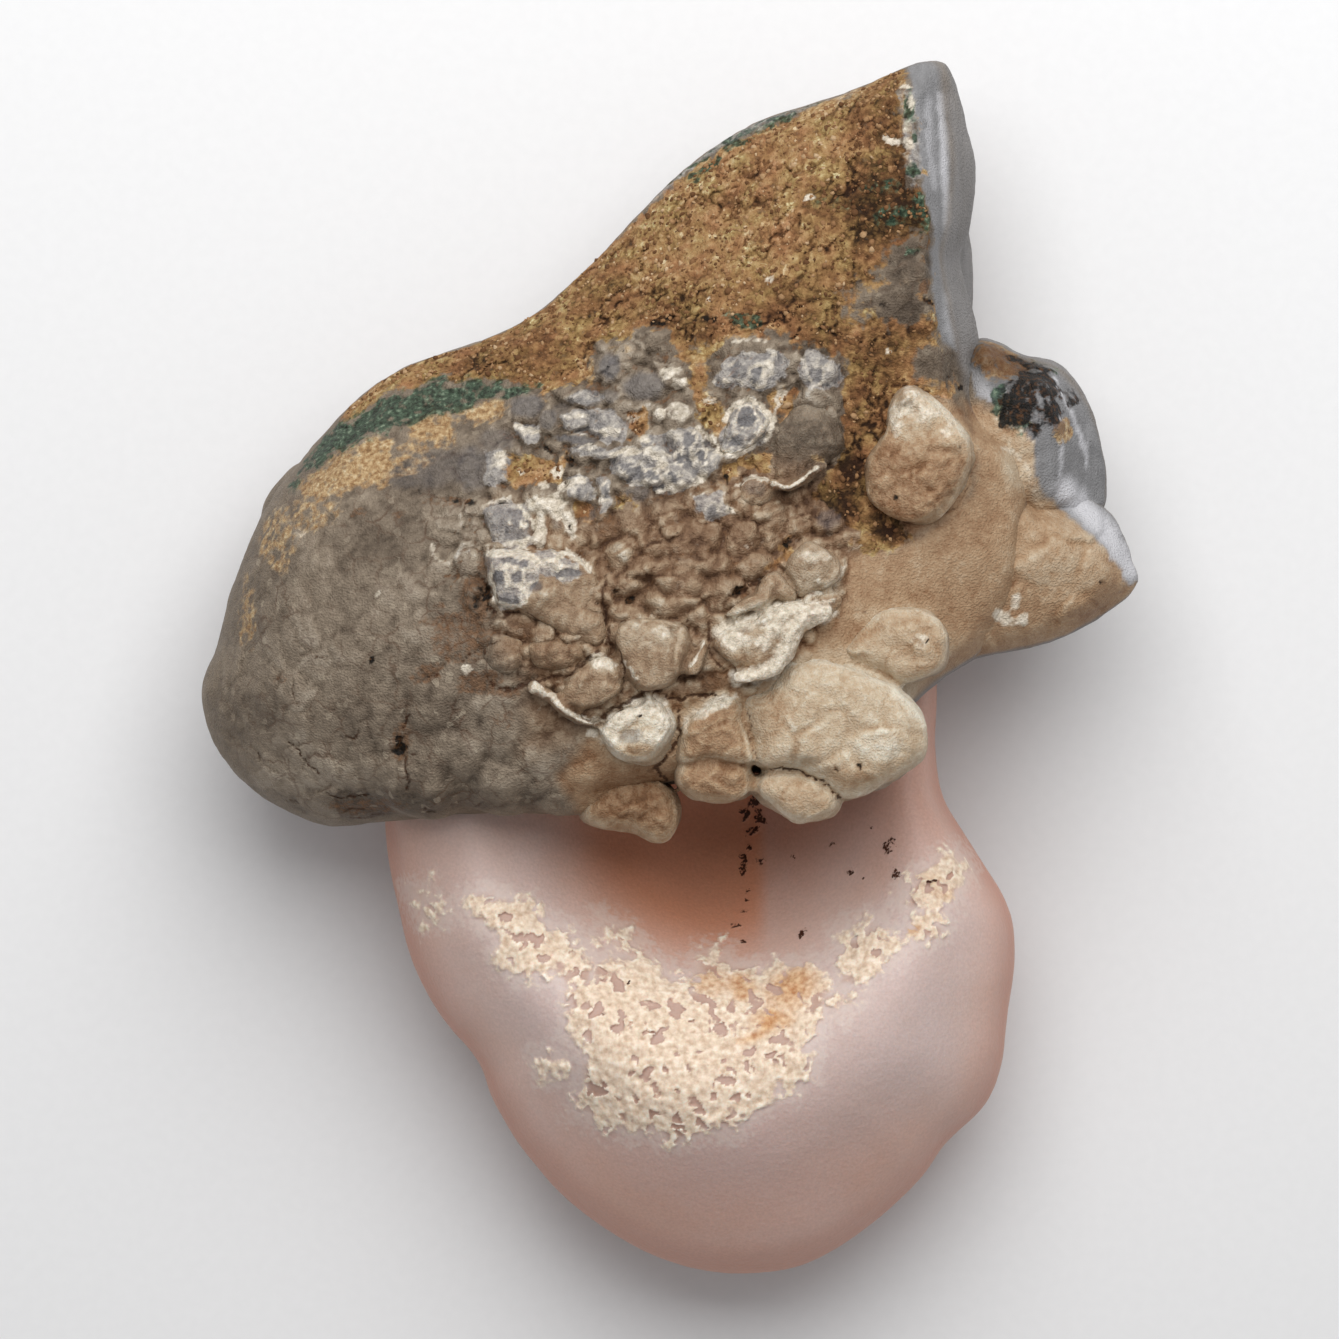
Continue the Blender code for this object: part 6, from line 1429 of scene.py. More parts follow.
def finish_piece(name, mesh, at, marks, material, normals=None):
    """Stands the stone's piece in the scene: final places in metres, markings as attributes."""
    at = at.copy()
    at[:, 2] = np.maximum(at[:, 2], 0)
    # How far each place lies below its surroundings, for the materials to paint shade into hollows and light
    # onto bumps
    if normals is not None:
        marks["hollow_shading"] = 0.5 + HOLLOW_SHADING_GAIN * hollowness(mesh, at, normals)
    mesh.vertices.foreach_set("co", (at * MM).ravel())
    for mark_name, strength in marks.items():
        layer = mesh.attributes.new(mark_name, "FLOAT", "POINT")
        layer.data.foreach_set("value", np.clip(strength, 0, 1))
    mesh.shade_smooth()
    mesh.materials.clear()
    mesh.materials.append(material)
    mesh.name = name
    piece = bpy.data.objects.new(name, mesh)
    bpy.context.scene.collection.objects.link(piece)
    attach(piece, "root")
    return piece


def crust_mesh(top_height):
    """The wedge and the left lobe on their bulges, finer where the relief is."""
    shape = bmesh.new()
    add_plate(shape, CRUST_RIM, CRUST_TOP, CRUST_UNDER)
    for balls, seed in ((BULGES, BULGE_SEED), (EDGE_SWELLINGS, 0.0)):
        for number, (x, y, z, *half_sizes) in enumerate(balls):
            add_ball(shape, (x, y, z), half_sizes, seed + number * SEED_STEP, BULGE_UNEVEN)
    mesh = fused(shape, CRUST_CUBE, 4)
    cracks = [(width + 0.5, most, points) for width, most, points in STROKES["crack"]]

    def detailed(centres, normals):
        on_top = (normals[:, 2] > 0.1) & (centres[:, 2] > top_height(centres[:, :2]) - 3.0)
        field = depth_inside(centres[:, :2], [NODULE_FIELD, *OUTLINES["sand"]]) > -0.6
        return on_top & (field | (painted(centres[:, :2], strokes=cracks) > 0))

    refine(mesh, detailed)
    return mesh


def build_crust(material):
    """The sandy wedge and the left lobe, with the small nodules and the bulges underneath."""
    top_height = surface_through(CRUST_TOP)
    mesh = crust_mesh(top_height)
    at, normals = places_of(mesh)
    marks, shown = stone_marks(at, normals, top_height)
    rise, crevice, number = nodule_relief(at[:, :2], all_nodules())
    knobs, crease, knob_number = crumple(at[:, :2])
    skin, pits = sand_relief(at)

    # Where the stone is sandy, crinkled or smooth
    field = smooth_step(-0.8, 0.6, depth_inside(at[:, :2], [NODULE_FIELD]))
    crinkled = (0.12 + 0.88 * field) * (1 - 0.9 * marks["cream"]) * (1 - marks["glass"]) * shown
    rough = np.maximum(marks["sand"], np.maximum(0.6 * marks["ochre"], 0.5 * marks["green"]))
    bare = 1 - rough
    smooth = shown * (1 - field) * bare * (1 - marks["cream"]) * (1 - marks["glass"])

    # Relief
    near = warped(at[:, :2], (0.2, 0.8, 228))
    blocks = faceted(near, 1.3, 230)
    scales, scale_number = mosaic(warped(at[:, :2], (0.5, 1.2, 240)), 1.5, 245)
    up = shown * bare * rise + 0.12 * bare * crinkled * (knobs - 0.7)
    up += bare * crinkled * (0.26 * blocks + 0.1 * faceted(near, 0.6, 236))
    up += shown * (rough * skin - sink(marks))
    up += smooth * 0.14 * smooth_step(0.0, 0.16, scales) * scale_number
    up += smooth * (0.1 * faceted(near, 2.1, 232) + 0.07 * layered_noise(at, 0.7, 248, 2))
    out = 0.1 * layered_noise(at, 2.4, 85, 3) * (1 - marks["glass"]) + 0.05 * soft_noise(at, 0.7, 88)
    moved = at + normals * out[:, None]
    moved[:, 2] += up

    # Markings that follow the relief
    # The sand's pits, which its colour darkens as painted shade
    marks["pit"] = pits * shown * rough
    marks["crackle"] = marks["crackle"] * bare * (1 - 0.3 * field)
    patchy = 0.5 + 0.5 * soft_noise(at, 1.2, 64)
    crevice = crevice * shown * bare * patchy
    marks["stain"] = np.maximum(marks["stain"], crevice)
    marks["stain"] = np.maximum(marks["stain"], 0.6 * crease * crinkled * field * patchy)
    tone = (number - 0.5) * smooth_step(-0.12, 0.1, rise) * shown * (1 - marks["cream"])
    marks["level"] += 0.2 * tone - 0.1 * crevice - 0.05 * field * shown
    # A random tone for each knob, with painted light on the higher knobs and blocks and painted shade on the
    # lower ones
    marks["level"] += crinkled * (0.14 * (knob_number - 0.5) + 0.05 * (knobs - 0.75) + 0.14 * blocks)
    marks["level"] += smooth * (0.14 * (scale_number - 0.5) - 0.08 * smooth_step(0.1, 0.0, scales))
    return finish_piece("crust", mesh, moved, marks, material, normals)


def lumps_mesh():
    """The lumps and the raised bands, fused into one skin."""
    top_height = surface_through(CRUST_TOP)
    shape = bmesh.new()
    for proud, width, outline in TOP_LUMPS:
        points = clockwise(outline)
        rim_z = top_height(points) - 0.2
        top = float(top_height(points.mean(0)[None])[0]) + proud
        add_domed(shape, outline, rim_z, top, float(rim_z.min()) - 1.5, width, 0.8)
    for rim_z, top, under, width, outline in EDGE_LUMPS:
        add_domed(shape, outline, [rim_z] * len(outline), top, under, width, 0.6)
    for width, height, points in RIDGES:
        steps = np.linspace(0, len(points) - 1, 4 * len(points))
        at = np.column_stack(
            [np.interp(steps, range(len(points)), axis) for axis in np.transpose(points)]
        )
        for i, (x, y, z) in enumerate(np.column_stack([at, top_height(at) + height])):
            add_ball(shape, (x, y, z), (width, width, RIDGE_HALF_HEIGHT), i * SEED_STEP, RIDGE_UNEVEN)
    return fused(shape, LUMP_CUBE, 2)


def build_lumps(material):
    """The bold lumps on the crust and over its lower edge."""
    mesh = lumps_mesh()
    at, normals = places_of(mesh)
    shown = smooth_step(-0.2, 0.2, normals[:, 2])
    marks = markings(at, shown)
    for name in ("sand", "glass", "green", "under", "pit"):
        marks[name] = np.zeros(len(at))
    marks["crackle"] *= 0.4
    knobs, crease, number = crumple(at[:, :2])
    bold = depth_inside(at[:, :2], [outline for *_, outline in EDGE_LUMPS[:BOLD_LUMPS]]) > -0.3
    crinkled = shown * np.where(bold, 0.15, 0.5)
    # Painted light: the sloping sides of the cream lumps are made paler
    painted_edge_light = 0.22 * marks["cream"] * smooth_step(0.85, 0.35, normals[:, 2])
    level = lightness(at[:, :2]) + painted_edge_light
    # A random tone for each knob, with painted light on the higher knobs and painted shade on the lower ones
    marks["level"] = level + crinkled * (0.12 * (number - 0.5) + 0.06 * (knobs - 0.75))
    marks["stain"] = np.maximum(marks["stain"], 0.4 * crease * crinkled * (1 - marks["frost"]))
    out = 0.14 * layered_noise(at, 1.7, 92, 3) + 0.03 * soft_noise(at, 0.4, 95)
    out += 0.4 * smooth_step(0.6, 0.2, np.abs(normals[:, 2])) * layered_noise(at, 2.6, 98, 3)
    moved = at + normals * out[:, None]
    near = warped(at[:, :2], (0.3, 1.2, 233))
    planes = 0.28 * faceted(near, 2.6, 234) + 0.1 * faceted(near, 1.1, 242)
    planes += crinkled * 0.12 * faceted(near, 0.55, 252)
    moved[:, 2] += 0.2 * crinkled * (knobs - 0.7) + shown * (planes - sink(marks))
    return finish_piece("lumps", mesh, moved, marks, material, normals)


def build_side_plate(name, rim, top, under, material, seed):
    """The spur or the knob, which stand out on the right."""
    shape = bmesh.new()
    add_plate(shape, rim, top, under)
    mesh = fused(shape, SPUR_CUBE, 3)
    at, normals = places_of(mesh)
    marks, shown = stone_marks(at, normals, surface_through(top))
    marks["sand"] = np.zeros(len(at))
    marks["under"] *= 0.5
    rough = np.maximum(marks["ochre"], marks["dirt"]) * shown
    marks["pit"] = rough * smooth_step(0.1, 0.5, layered_noise(at, 0.6, seed + 9, 2))
    out = 0.14 * layered_noise(at, 2.2, seed, 3) + 0.04 * soft_noise(at, 0.6, seed + 5)
    moved = at + normals * out[:, None]
    near = warped(at[:, :2], (0.3, 1.2, seed + 11))
    planes = 0.3 * faceted(near, 3.0, seed + 12) + 0.1 * faceted(near, 1.2, seed + 17)
    moved[:, 2] += shown * (1 - rough) * (planes - sink(marks))
    moved[:, 2] += rough * 0.5 * layered_noise(at, 0.8, seed + 8, 2)
    return finish_piece(name, mesh, moved, marks, material, normals)


def lobe_mesh():
    """The lobe's plate, twice refined at the porous patch and at the dark crumbs."""
    shape = bmesh.new()
    add_plate(shape, LOBE_RIM, LOBE_TOP, LOBE_UNDER)
    mesh = fused(shape, LOBE_CUBE, 6)
    for margin in (1.2, 0.7):

        def near_druse(centres, normals, margin=margin):
            deep = depth_inside(centres[:, :2], DRUSE) > -margin
            dirty = painted(centres[:, :2], LOBE_DIRT) > 0
            return (normals[:, 2] > 0.2) & (centres[:, 2] > 4.0) & (deep | dirty)

        refine(mesh, near_druse)
    return mesh


def lobe_marks(at, normals):
    """The markings of the lobe, and where its top is."""
    top = smooth_step(0.1, 0.3, normals[:, 2]) * smooth_step(4.0, 5.0, at[:, 2])

    # The porous patch
    flat = warped(at[:, :2], (0.45, 0.9, 120), (0.2, 0.35, 125))
    fine = warped(at[:, :2], (0.2, 0.3, 130), (0.08, 0.15, 133))
    deep = depth_inside(flat, DRUSE)
    pores = 0.6 * layered_noise(at[:, :2], 1.1, 131, 3) + 0.4 * layered_noise(at[:, :2], 0.4, 135, 2)
    holes = painted(fine, [(*row, 1.0) for row in DRUSE_HOLES])
    gap, number = mosaic(warped(at[:, :2], (0.35, 0.5, 136)), 0.7, 137)
    holes = np.maximum(holes, smooth_step(0.06, 0.2, gap) * (number > 0.6))
    cover = np.interp(deep, (-1.1, -0.2, 0.4, 1.4), (-0.8, -0.15, 0.3, 0.6))
    solid = cover + pores - 0.95 * holes

    # The orange hollow, and the rosy rim and neck
    from_hollow = np.hypot(at[:, 0] - 1.6, (at[:, 1] + 7.5) * 0.8)
    hollow = smooth_step(13.4, 9.0, at[:, 2]) * smooth_step(9.6, 4.0, from_hollow)
    right_wall = smooth_step(4.2, 5.2, at[:, 0])
    from_middle = np.hypot(at[:, 0] - 2.0, at[:, 1] + 14.0)
    rim = smooth_step(12.6, 8.0, at[:, 2]) * smooth_step(10.0, 13.0, from_middle)
    neck = 0.55 * smooth_step(-12.5, -6.0, at[:, 1]) * smooth_step(3.0, 6.0, at[:, 0])
    tip = 0.4 * smooth_step(-18.0, -27.0, at[:, 1])
    marks = {
        "druse": np.clip(0.5 + 1.5 * solid, 0, 1) * top,
        "bloom": smooth_step(-1.4, 0.2, deep) * smooth_step(1.0, 0.2, deep) * top,
        "pore": smooth_step(0.0, 0.6, deep) * top,
        "stain": painted(warped(at[:, :2], (0.4, 0.8, 140)), DRUSE_STAINS, soft=0.3) * top,
        "dirt": painted(fine, LOBE_DIRT) * top,
        "hollow": hollow * (1 - 0.65 * right_wall),
        "rim": np.maximum(np.maximum(rim, neck), tip),
        "haze": smooth_step(11.0, 14.2, at[:, 2]),
    }
    return marks, top


def build_lobe(material):
    """The smooth pink lobe with the porous patch on its ridge."""
    mesh = lobe_mesh()
    at, normals = places_of(mesh)
    marks, top = lobe_marks(at, normals)
    out = 0.10 * layered_noise(at, 4.0, 150, 2) + 0.016 * layered_noise(at, 0.9, 155, 2)
    moved = at + normals * out[:, None]
    crumbs = 0.14 + 0.16 * layered_noise(at, 0.45, 160, 2)
    covered = smooth_step(0.35, 0.7, marks["druse"])
    moved[:, 2] += top * (covered * crumbs + 0.06 * marks["dirt"])
    return finish_piece("lobe", mesh, moved, marks, material, normals)


def build_grains(crust, material):
    """Loose grains stuck on the sandy skin, as one mesh."""
    rng = np.random.default_rng(11)
    at, normals = places_of(crust.data)
    marks = {}
    for name in ("sand", "shade", "ochre"):
        marks[name] = np.empty(len(at))
        crust.data.attributes[name].data.foreach_get("value", marks[name])
    sandy = np.maximum(marks["sand"], 0.8 * marks["ochre"])
    candidates = np.flatnonzero((sandy > 0.8) & (normals[:, 2] > 0.25))
    chosen = rng.choice(candidates, min(GRAIN_COUNT, len(candidates)), replace=False)
    ball = bmesh.new()
    bmesh.ops.create_icosphere(ball, subdivisions=1, radius=1.0)
    ball.verts.ensure_lookup_table()
    corners = np.array([vert.co for vert in ball.verts])
    faces = np.array([[vert.index for vert in face.verts] for face in ball.faces])
    ball.free()
    all_corners, all_faces = [], []
    tones, shades = [], []
    for number, vertex in enumerate(chosen):
        size = MM * rng.gamma(GRAIN_SIZE_SHAPE, GRAIN_SIZE_STEP) * rng.uniform(0.6, 1.4, 3)
        turn = Matrix.Rotation(rng.uniform(0, math.tau), 3, Vector(rng.normal(size=3)).normalized())
        rough = corners * (1 + 0.35 * rng.uniform(-1, 1, (len(corners), 1))) * size
        centre = at[vertex] - normals[vertex] * size.mean() * 0.25
        all_corners.append(rough @ np.array(turn).T + centre)
        all_faces.append(faces + number * len(corners))
        tones.append(np.full(len(corners), rng.uniform() ** 1.5))
        shades.append(np.full(len(corners), marks["shade"][vertex]))
    made = bpy.data.meshes.new("grains")
    made.from_pydata(np.concatenate(all_corners), [], np.concatenate(all_faces))
    at = np.concatenate(all_corners) / MM
    marks = {"tone": np.concatenate(tones), "shade": np.concatenate(shades)}
    return finish_piece("grains", made, at, marks, material)


# Material nodes

class Value:
    """What a material node gives at each place; numbers can be added, subtracted and multiplied."""

    def __init__(self, tree, socket):
        self.tree = tree
        self.socket = socket

    def __add__(self, other):
        return add_node(self.tree, "ShaderNodeMath", {0: self, 1: other}, operation="ADD")

    def __sub__(self, other):
        return add_node(self.tree, "ShaderNodeMath", {0: self, 1: other}, operation="SUBTRACT")

    def __mul__(self, other):
        return add_node(self.tree, "ShaderNodeMath", {0: self, 1: other}, operation="MULTIPLY")

    def __abs__(self):
        return add_node(self.tree, "ShaderNodeMath", {0: self}, operation="ABSOLUTE")


def set_inputs(tree, node, inputs):
    """Links each input to a node's value, or sets it to a plain number or colour."""
    for name, value in inputs.items():
        if isinstance(value, Value):
            tree.links.new(value.socket, node.inputs[name])
        else:
            node.inputs[name].default_value = value


def add_node(tree, kind, inputs, output=0, **settings):
    """The value of one output of a new node with these inputs and settings."""
    made = tree.nodes.new(kind)
    for name, value in settings.items():
        setattr(made, name, value)
    set_inputs(tree, made, inputs)
    return Value(tree, made.outputs[output])


def colour(red, green, blue):
    """A colour from how bright its red, green and blue look, 0 to 255."""
    shares = np.array([red, green, blue]) / 255
    linear = np.where(shares < 0.04, shares / 12.92, ((shares + 0.055) / 1.055) ** 2.4)
    return (*linear, 1.0)


def plain(name):
    """The only tint of that name."""
    return colour(*TINTS[name][0])


def ramped(value, name):
    """A colour for each value from 0 to 1, through the evenly spaced tints of that name."""
    tints = TINTS[name]
    ramp = add_node(value.tree, "ShaderNodeValToRGB", {"Fac": value}, "Color")
    stops = ramp.socket.node.color_ramp.elements
    stops[0].position, stops[0].color = 0.0, colour(*tints[0])
    stops[1].position, stops[1].color = 1.0, colour(*tints[-1])
    for number, tint in enumerate(tints[1:-1], 1):
        stops.new(number / (len(tints) - 1)).color = colour(*tint)
    return ramp


def mixed(share, first, second, blend_type="MIX"):
    """A mix of two colours; the share is how much of the second shows."""
    if isinstance(share, Value):
        tree = share.tree
    else:
        tree = first.tree
    inputs = {MIX_SHARE: share, MIX_FIRST: first, MIX_SECOND: second}
    settings = {"data_type": "RGBA", "blend_type": blend_type}
    return add_node(tree, "ShaderNodeMix", inputs, MIX_RESULT, **settings)


def layered(base, layers):
    """The base colour with layers laid over it, lowest first: how much each covers, and its tint."""
    for share, tint in layers:
        base = mixed(share, base, tint)
    return base


def spread(value, low, high, least=0.0, most=1.0):
    """The value stretched so that low to high becomes least to most."""
    inputs = {"Value": value, "From Min": low, "From Max": high, "To Min": least, "To Max": most}
    return add_node(value.tree, "ShaderNodeMapRange", inputs, "Result", clamp=True)


def toned(tint, shade, most):
    """The colour made lighter or darker by a value from 0 to 1, by this share at most."""
    inputs = {"Color": tint, "Value": spread(shade, 0, 1, 1 - most, 1 + most)}
    return add_node(tint.tree, "ShaderNodeHueSaturation", inputs, "Color")


def ragged(value, noise_value, reach=0.35, soft=0.14):
    """A soft-edged marking cut off along an uneven line, whose unevenness comes from the noise."""
    noisy = (noise_value - 0.5) * (2 * reach)
    return spread(value + noisy, 0.5 - soft, 0.5 + soft) * spread(value, 0.05, 0.3)


def mark(tree, name):
    """The marking of that name, as painted on the mesh."""
    return add_node(tree, "ShaderNodeAttribute", {}, "Fac", attribute_name=name)


def place(tree):
    """The place on the piece, in metres."""
    return add_node(tree, "ShaderNodeTexCoord", {}, "Object")


def cloudy(where, size, detail, output):
    """Noise with bumps of this size in millimetres, as a number (Fac) or a colour (Color)."""
    inputs = {"Vector": where, "Scale": 1 / (size * MM), "Detail": detail}
    return add_node(where.tree, "ShaderNodeTexNoise", inputs, output)


def pattern(tree, size, low=0.35, high=0.65, stretch=None, detail=3.0):
    """Noise from 0 to 1 with bumps of this size in millimetres, longer along x, y or z if stretched."""
    where = place(tree)
    if stretch:
        where = add_node(tree, "ShaderNodeMapping", {"Vector": where, "Scale": stretch})
    return spread(cloudy(where, size, detail, "Fac"), low, high)


def crinkles(tree, size, width):
    """Crooked lines that wander over the surface, with bends of this size in millimetres."""
    return spread(abs(cloudy(place(tree), size, 2.5, "Fac") - 0.5), width, 0.0)


def shaky(tree, size, reach):
    """Places moved about a little, for uneven patterns: how far and over what size, in millimetres."""
    where = place(tree)
    centred = add_node(
        tree,
        "ShaderNodeVectorMath",
        {0: cloudy(where, size, 2.0, "Color"), 1: (0.5, 0.5, 0.5)},
        operation="SUBTRACT",
    )
    moves = {0: centred, 1: (2 * reach * MM,) * 3, 2: where}
    return add_node(tree, "ShaderNodeVectorMath", moves, operation="MULTIPLY_ADD")


def seams(tree, size, width):
    """How near each place is to the joints between cells of this size, in millimetres."""
    inputs = {"Vector": shaky(tree, 0.6 * size, 0.3 * size), "Scale": 1 / (size * MM)}
    gap = add_node(tree, "ShaderNodeTexVoronoi", inputs, "Distance", feature="DISTANCE_TO_EDGE")
    return spread(gap, width / size, 0.0)


def cells(tree, size):
    """A random number for each small cell, as in grains of this size in millimetres."""
    inputs = {"Vector": place(tree), "Scale": 1 / (size * MM)}
    tint = add_node(tree, "ShaderNodeTexVoronoi", inputs, "Color")
    return add_node(tree, "ShaderNodeSeparateColor", {"Color": tint})


def bumped(height, distance):
    """Fine unevenness of the surface, this many millimetres high."""
    inputs = {"Height": height, "Distance": distance * MM}
    return add_node(height.tree, "ShaderNodeBump", inputs, "Normal")


def new_material(name):
    """A new material and its node tree."""
    material = bpy.data.materials.new(name)
    material.use_nodes = True
    return material, material.node_tree


def set_surface(tree, base, roughness, specular, inputs=None):
    """The colour, the dullness and the shine of the material, and what else its surface has."""
    inputs = {"Base Color": base, "Roughness": roughness, "Specular IOR Level": specular, **(inputs or {})}
    set_inputs(tree, tree.nodes["Principled BSDF"], inputs)


def translucent(share, radius):
    """Light that enters the stone and comes out nearby, as far as the radius says in millimetres."""
    return {"Subsurface Weight": share, "Subsurface Radius": radius, "Subsurface Scale": MM}


# Materials

def sand_colour(tree, coarse, medium, fine, cell):
    """Tan skin with soft clumps, crooked dark lines and a few pale grains."""
    lines = crinkles(tree, 0.8, 0.06) * spread(coarse, 0.2, 0.8)
    value = fine * 0.24 + medium * 0.32 + coarse * 0.16 + 0.3
    value -= mark(tree, "shade") * 0.6
    # Painted shade in the pits
    value -= mark(tree, "pit") * 0.22
    value -= lines * 0.24
    # Painted shade in the hollows and painted light on the bumps
    value -= (mark(tree, "hollow_shading") - 0.5) * 0.6
    value += spread(cell, 0.97, 0.985) * 0.25
    return mixed(0.9, ramped(value, "sand"), ramped(coarse, "rosy"), "MULTIPLY")


def glass_colour(tree, fine):
    """Dull grey glassy stone with soft upright fibres and pale streaks, darker where the shade mark lies:
    painted shade on the strip's steep outer facets.
    """
    fibres = pattern(tree, 0.5, 0.3, 0.7, stretch=(1.0, 0.12, 0.4))
    layers = [
        (mark(tree, "streak") * 0.9, plain("streak")),
        (mark(tree, "shade") * 0.9, plain("glass shade")),
    ]
    return layered(ramped(fibres * 0.7 + fine * 0.3, "glass"), layers)


def stone_material(name, inputs=None):
    """The crust: grey or tan stone with every painted marking laid over it."""
    material, tree = new_material(name)
    coarse = pattern(tree, 1.4)
    medium = pattern(tree, 0.5, 0.3, 0.7)
    fine = pattern(tree, 0.24, 0.3, 0.7)
    speckled = pattern(tree, 0.11, 0.3, 0.7, detail=2.0)
    cell = cells(tree, 0.32)
    crackle = mark(tree, "crackle")
    shade = mark(tree, "shade")
    # Painted shade in the hollows and painted light on the bumps, in the stone's level and in the lit value
    # that tints frost, ochre, green and white
    hollow_shade = mark(tree, "hollow_shading") - 0.5
    lit = fine * 0.7 + 0.15 - hollow_shade * 0.5
    varied = coarse * 0.1 + medium * 0.12 + fine * 0.12 + speckled * 0.1
    level = mark(tree, "level") + varied - 0.22 - shade * 0.2 - hollow_shade * 0.45
    tan = ramped(level, "tan")
    joints = seams(tree, 1.5, 0.1) * crackle * spread(coarse, 0.25, 0.7)
    flecks = spread(cell, 0.94, 0.97) * crackle
    sandy = ragged(mark(tree, "sand"), medium, 0.4, 0.16)
    ochre = mixed(shade * 0.85, ramped(lit, "ochre"), plain("ochre shade"))
    layers = [
        (spread(mark(tree, "warm"), 0, 1, 0, 0.62), tan),
        (mark(tree, "cream"), tan),
        (joints * 0.75, plain("joint")),
        (flecks * 0.4, plain("fleck")),
        (mark(tree, "glass"), glass_colour(tree, fine)),
        (mark(tree, "under"), ramped(coarse, "under")),
        (ragged(mark(tree, "frost"), medium) * 0.75, ramped(lit, "frost")),
        (sandy, sand_colour(tree, coarse, medium, fine, cell)),
        (ragged(mark(tree, "ochre"), medium, 0.6, 0.3) * 0.9, ochre),
        (ragged(mark(tree, "green"), medium, 0.65, 0.25) * 0.9, ramped(lit, "green")),
        (ragged(mark(tree, "stain"), fine, 0.35, 0.3) * 0.75, ramped(fine, "stain")),
        (mark(tree, "blue") * 0.85, ramped(fine, "blue")),
        (ragged(mark(tree, "white") * 1.2, medium, 0.45, 0.4) * 0.88, ramped(lit, "white")),
        (ragged(mark(tree, "crack"), fine, 0.4, 0.3) * 0.85, ramped(fine, "crack")),
        (ragged(mark(tree, "dirt"), medium, 0.5, 0.25) * 0.96, ramped(fine, "dirt")),
    ]
    base = layered(ramped(level, "grey"), layers)
    roughness = spread(sandy, 0, 1, 0.5, 0.86) + fine * 0.14
    set_surface(tree, base, roughness, 0.2, {"Normal": bumped(speckled, 0.05), **(inputs or {})})
    return material


def grain_material():
    """Dull sand grains, from brown to pale."""
    material, tree = new_material("sand_grains")
    lit = mark(tree, "tone") - mark(tree, "shade") * 0.4 + (pattern(tree, 3.0) * 0.24 - 0.12)
    speckled = pattern(tree, 0.08, 0.4, 0.7)
    tint = mixed(speckled * 0.3, ramped(lit, "grain"), plain("grain speck"))
    roughness = spread(speckled, 0, 1, 0.8, 0.95)
    set_surface(tree, tint, roughness, 0.15, {"Normal": bumped(speckled, 0.01)})
    return material


def lobe_material():
    """Waxy pink stone, milky on its ridge, with the porous patch."""
    material, tree = new_material("pink_lobe")
    cloud = pattern(tree, 5.0)
    speckled = pattern(tree, 0.14, 0.3, 0.7, detail=2.0)
    fine = pattern(tree, 0.3, 0.3, 0.7)
    stone_layers = [
        (mark(tree, "haze") * 0.8, ramped(cloud, "milky")),
        (mark(tree, "rim") * 0.9, plain("lobe rim")),
        (mark(tree, "hollow") * 0.85, plain("lobe hollow")),
    ]
    stone = toned(layered(ramped(cloud, "pink"), stone_layers), speckled, 0.06)
    # Painted shade in the hollows and painted light on the bumps of the porous patch
    lit = fine * 0.6 + 0.25 - (mark(tree, "hollow_shading") - 0.5) * 0.8
    druse = mixed(mark(tree, "stain"), ramped(lit, "druse"), ramped(fine, "druse stain"))
    covered = ragged(mark(tree, "druse"), fine, 0.28, 0.22)
    patch_layers = [
        (ragged(mark(tree, "bloom"), fine, 0.5, 0.3) * 0.4, plain("bloom")),
        (mark(tree, "pore") * 0.6, plain("pore")),
        (covered, druse),
        (ragged(mark(tree, "dirt"), speckled, 0.45, 0.2), plain("lobe dirt")),
    ]
    roughness = spread(covered, 0, 1, 0.42, 0.8) + speckled * 0.08
    inputs = {"Normal": bumped(fine, 0.015), **translucent(0.3, (1.2, 0.7, 0.5))}
    set_surface(tree, layered(stone, patch_layers), roughness, 0.3, inputs)
    return material


# The scene

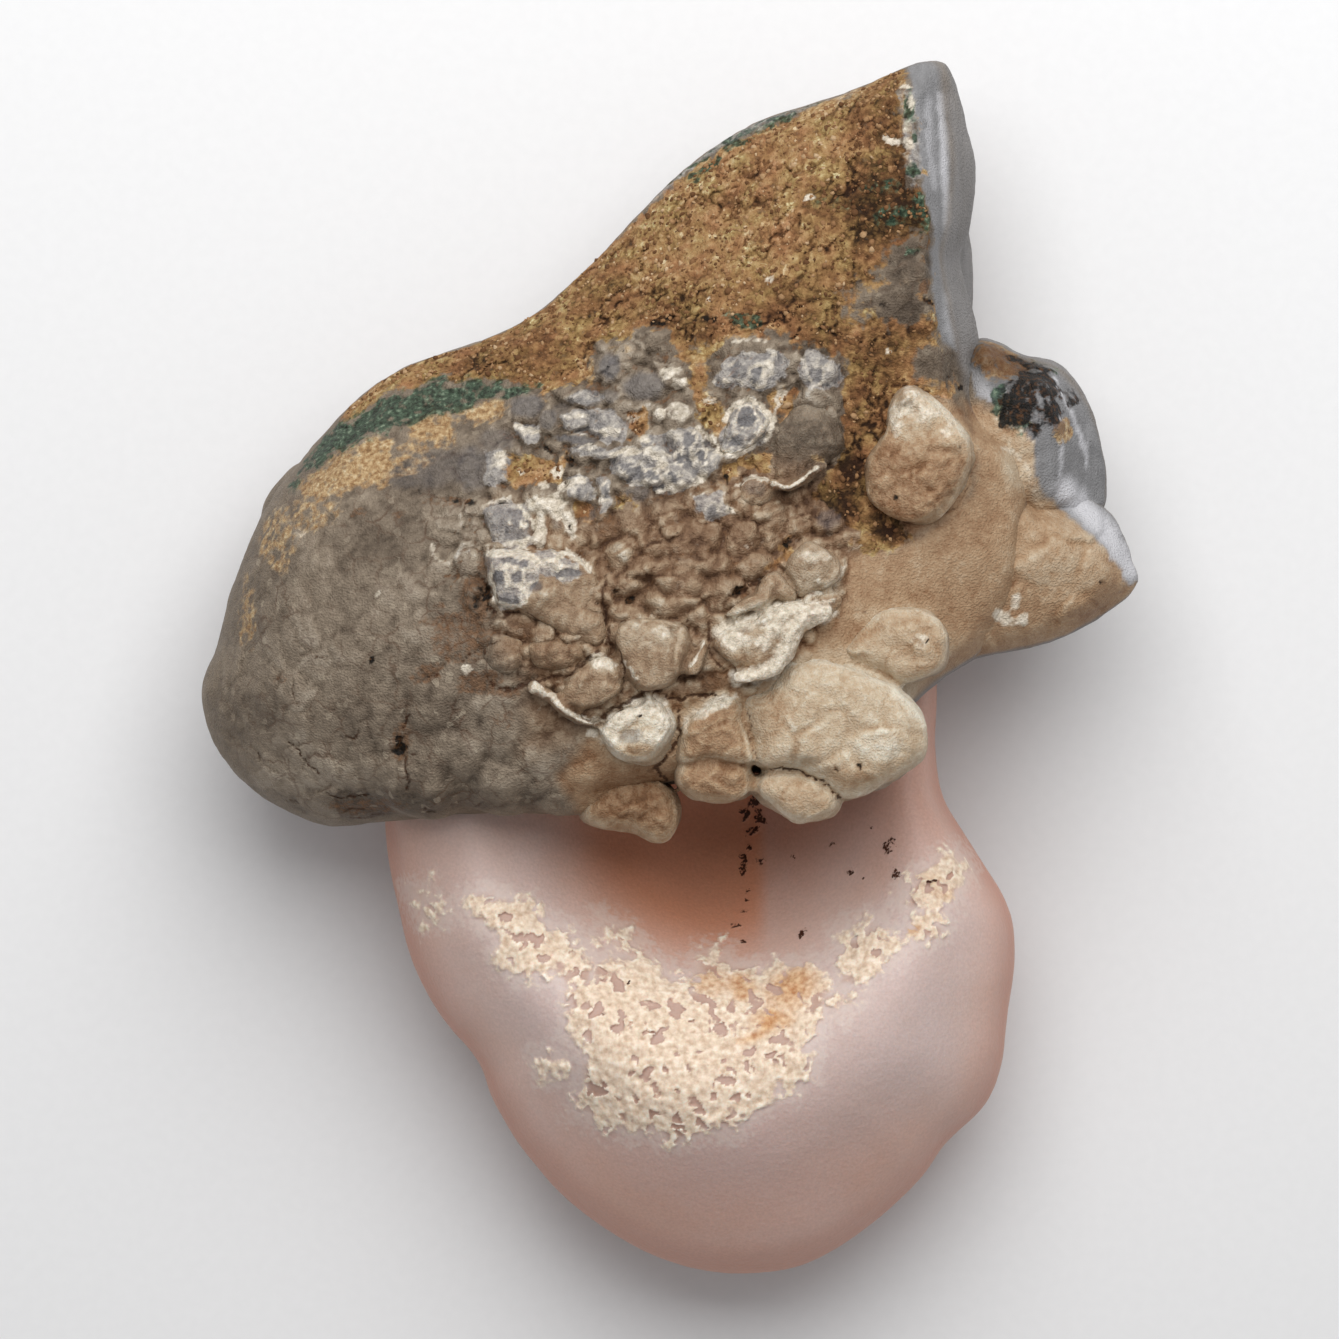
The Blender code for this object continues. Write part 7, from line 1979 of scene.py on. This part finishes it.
def build_floor():
    """The pale table, a little darker towards the front: painted shade of the window's light falling off."""
    shape = bmesh.new()
    bmesh.ops.create_grid(shape, x_segments=1, y_segments=1, size=FLOOR_HALF_SIZE)
    mesh = bpy.data.meshes.new("floor")
    shape.to_mesh(mesh)
    shape.free()
    floor = bpy.data.objects.new("floor", mesh)
    bpy.context.scene.collection.objects.link(floor)
    floor.location.z = -FLOOR_DROP
    material, tree = new_material("paper")
    along = add_node(tree, "ShaderNodeSeparateXYZ", {"Vector": place(tree)}, "Y")
    # Painted shade: the paper grows darker towards the front, away from the window
    paper = ramped(spread(along, -0.04, 0.04), "paper")
    set_surface(tree, toned(paper, pattern(tree, 0.6), 0.008), 0.9, 0.5)
    mesh.materials.append(material)


def set_lights():
    """A bright room, and one large window behind the stone's far end."""
    world = bpy.data.worlds.new("room")
    bpy.context.scene.world = world
    world.use_nodes = True
    background = world.node_tree.nodes["Background"]
    background.inputs["Color"].default_value = ROOM_TINT
    background.inputs["Strength"].default_value = ROOM_STRENGTH
    data = bpy.data.lights.new("window", "AREA")
    data.shape = "SQUARE"
    data.size = WINDOW_SIZE
    data.energy = WINDOW_POWER
    window = bpy.data.objects.new("window", data)
    bpy.context.scene.collection.objects.link(window)
    window.location = WINDOW_PLACE
    toward_stone = Vector(STONE_MIDDLE) - Vector(WINDOW_PLACE)
    window.rotation_euler = toward_stone.to_track_quat("-Z", "Y").to_euler()
    bpy.context.scene.view_settings.view_transform = "Standard"


def set_camera():
    """Straight above the stone, framing the view width at the height of its middle."""
    data = bpy.data.cameras.new("camera")
    data.sensor_width = SENSOR_WIDTH
    data.lens = SENSOR_WIDTH * CAMERA_DISTANCE / VIEW_WIDTH
    data.clip_start = 0.01
    camera = bpy.data.objects.new("camera", data)
    bpy.context.scene.collection.objects.link(camera)
    camera.location = (0, 0, FRAMED_HEIGHT + CAMERA_DISTANCE)
    bpy.context.scene.camera = camera


def main():
    """Builds the stone, piece by piece, and the scene around it."""
    stone = stone_material("crust_stone")
    cream = stone_material("cream_stone", translucent(0.25, (1.1, 0.8, 0.6)))
    crust = build_crust(stone)
    build_lumps(cream)
    build_side_plate("spur", SPUR_RIM, SPUR_TOP, SPUR_UNDER, stone, 170)
    build_side_plate("knob", KNOB_RIM, KNOB_TOP, KNOB_UNDER, stone, 180)
    build_lobe(lobe_material())
    build_grains(crust, grain_material())
    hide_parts("chalcedony")
    build_floor()
    set_lights()
    set_camera()


main()
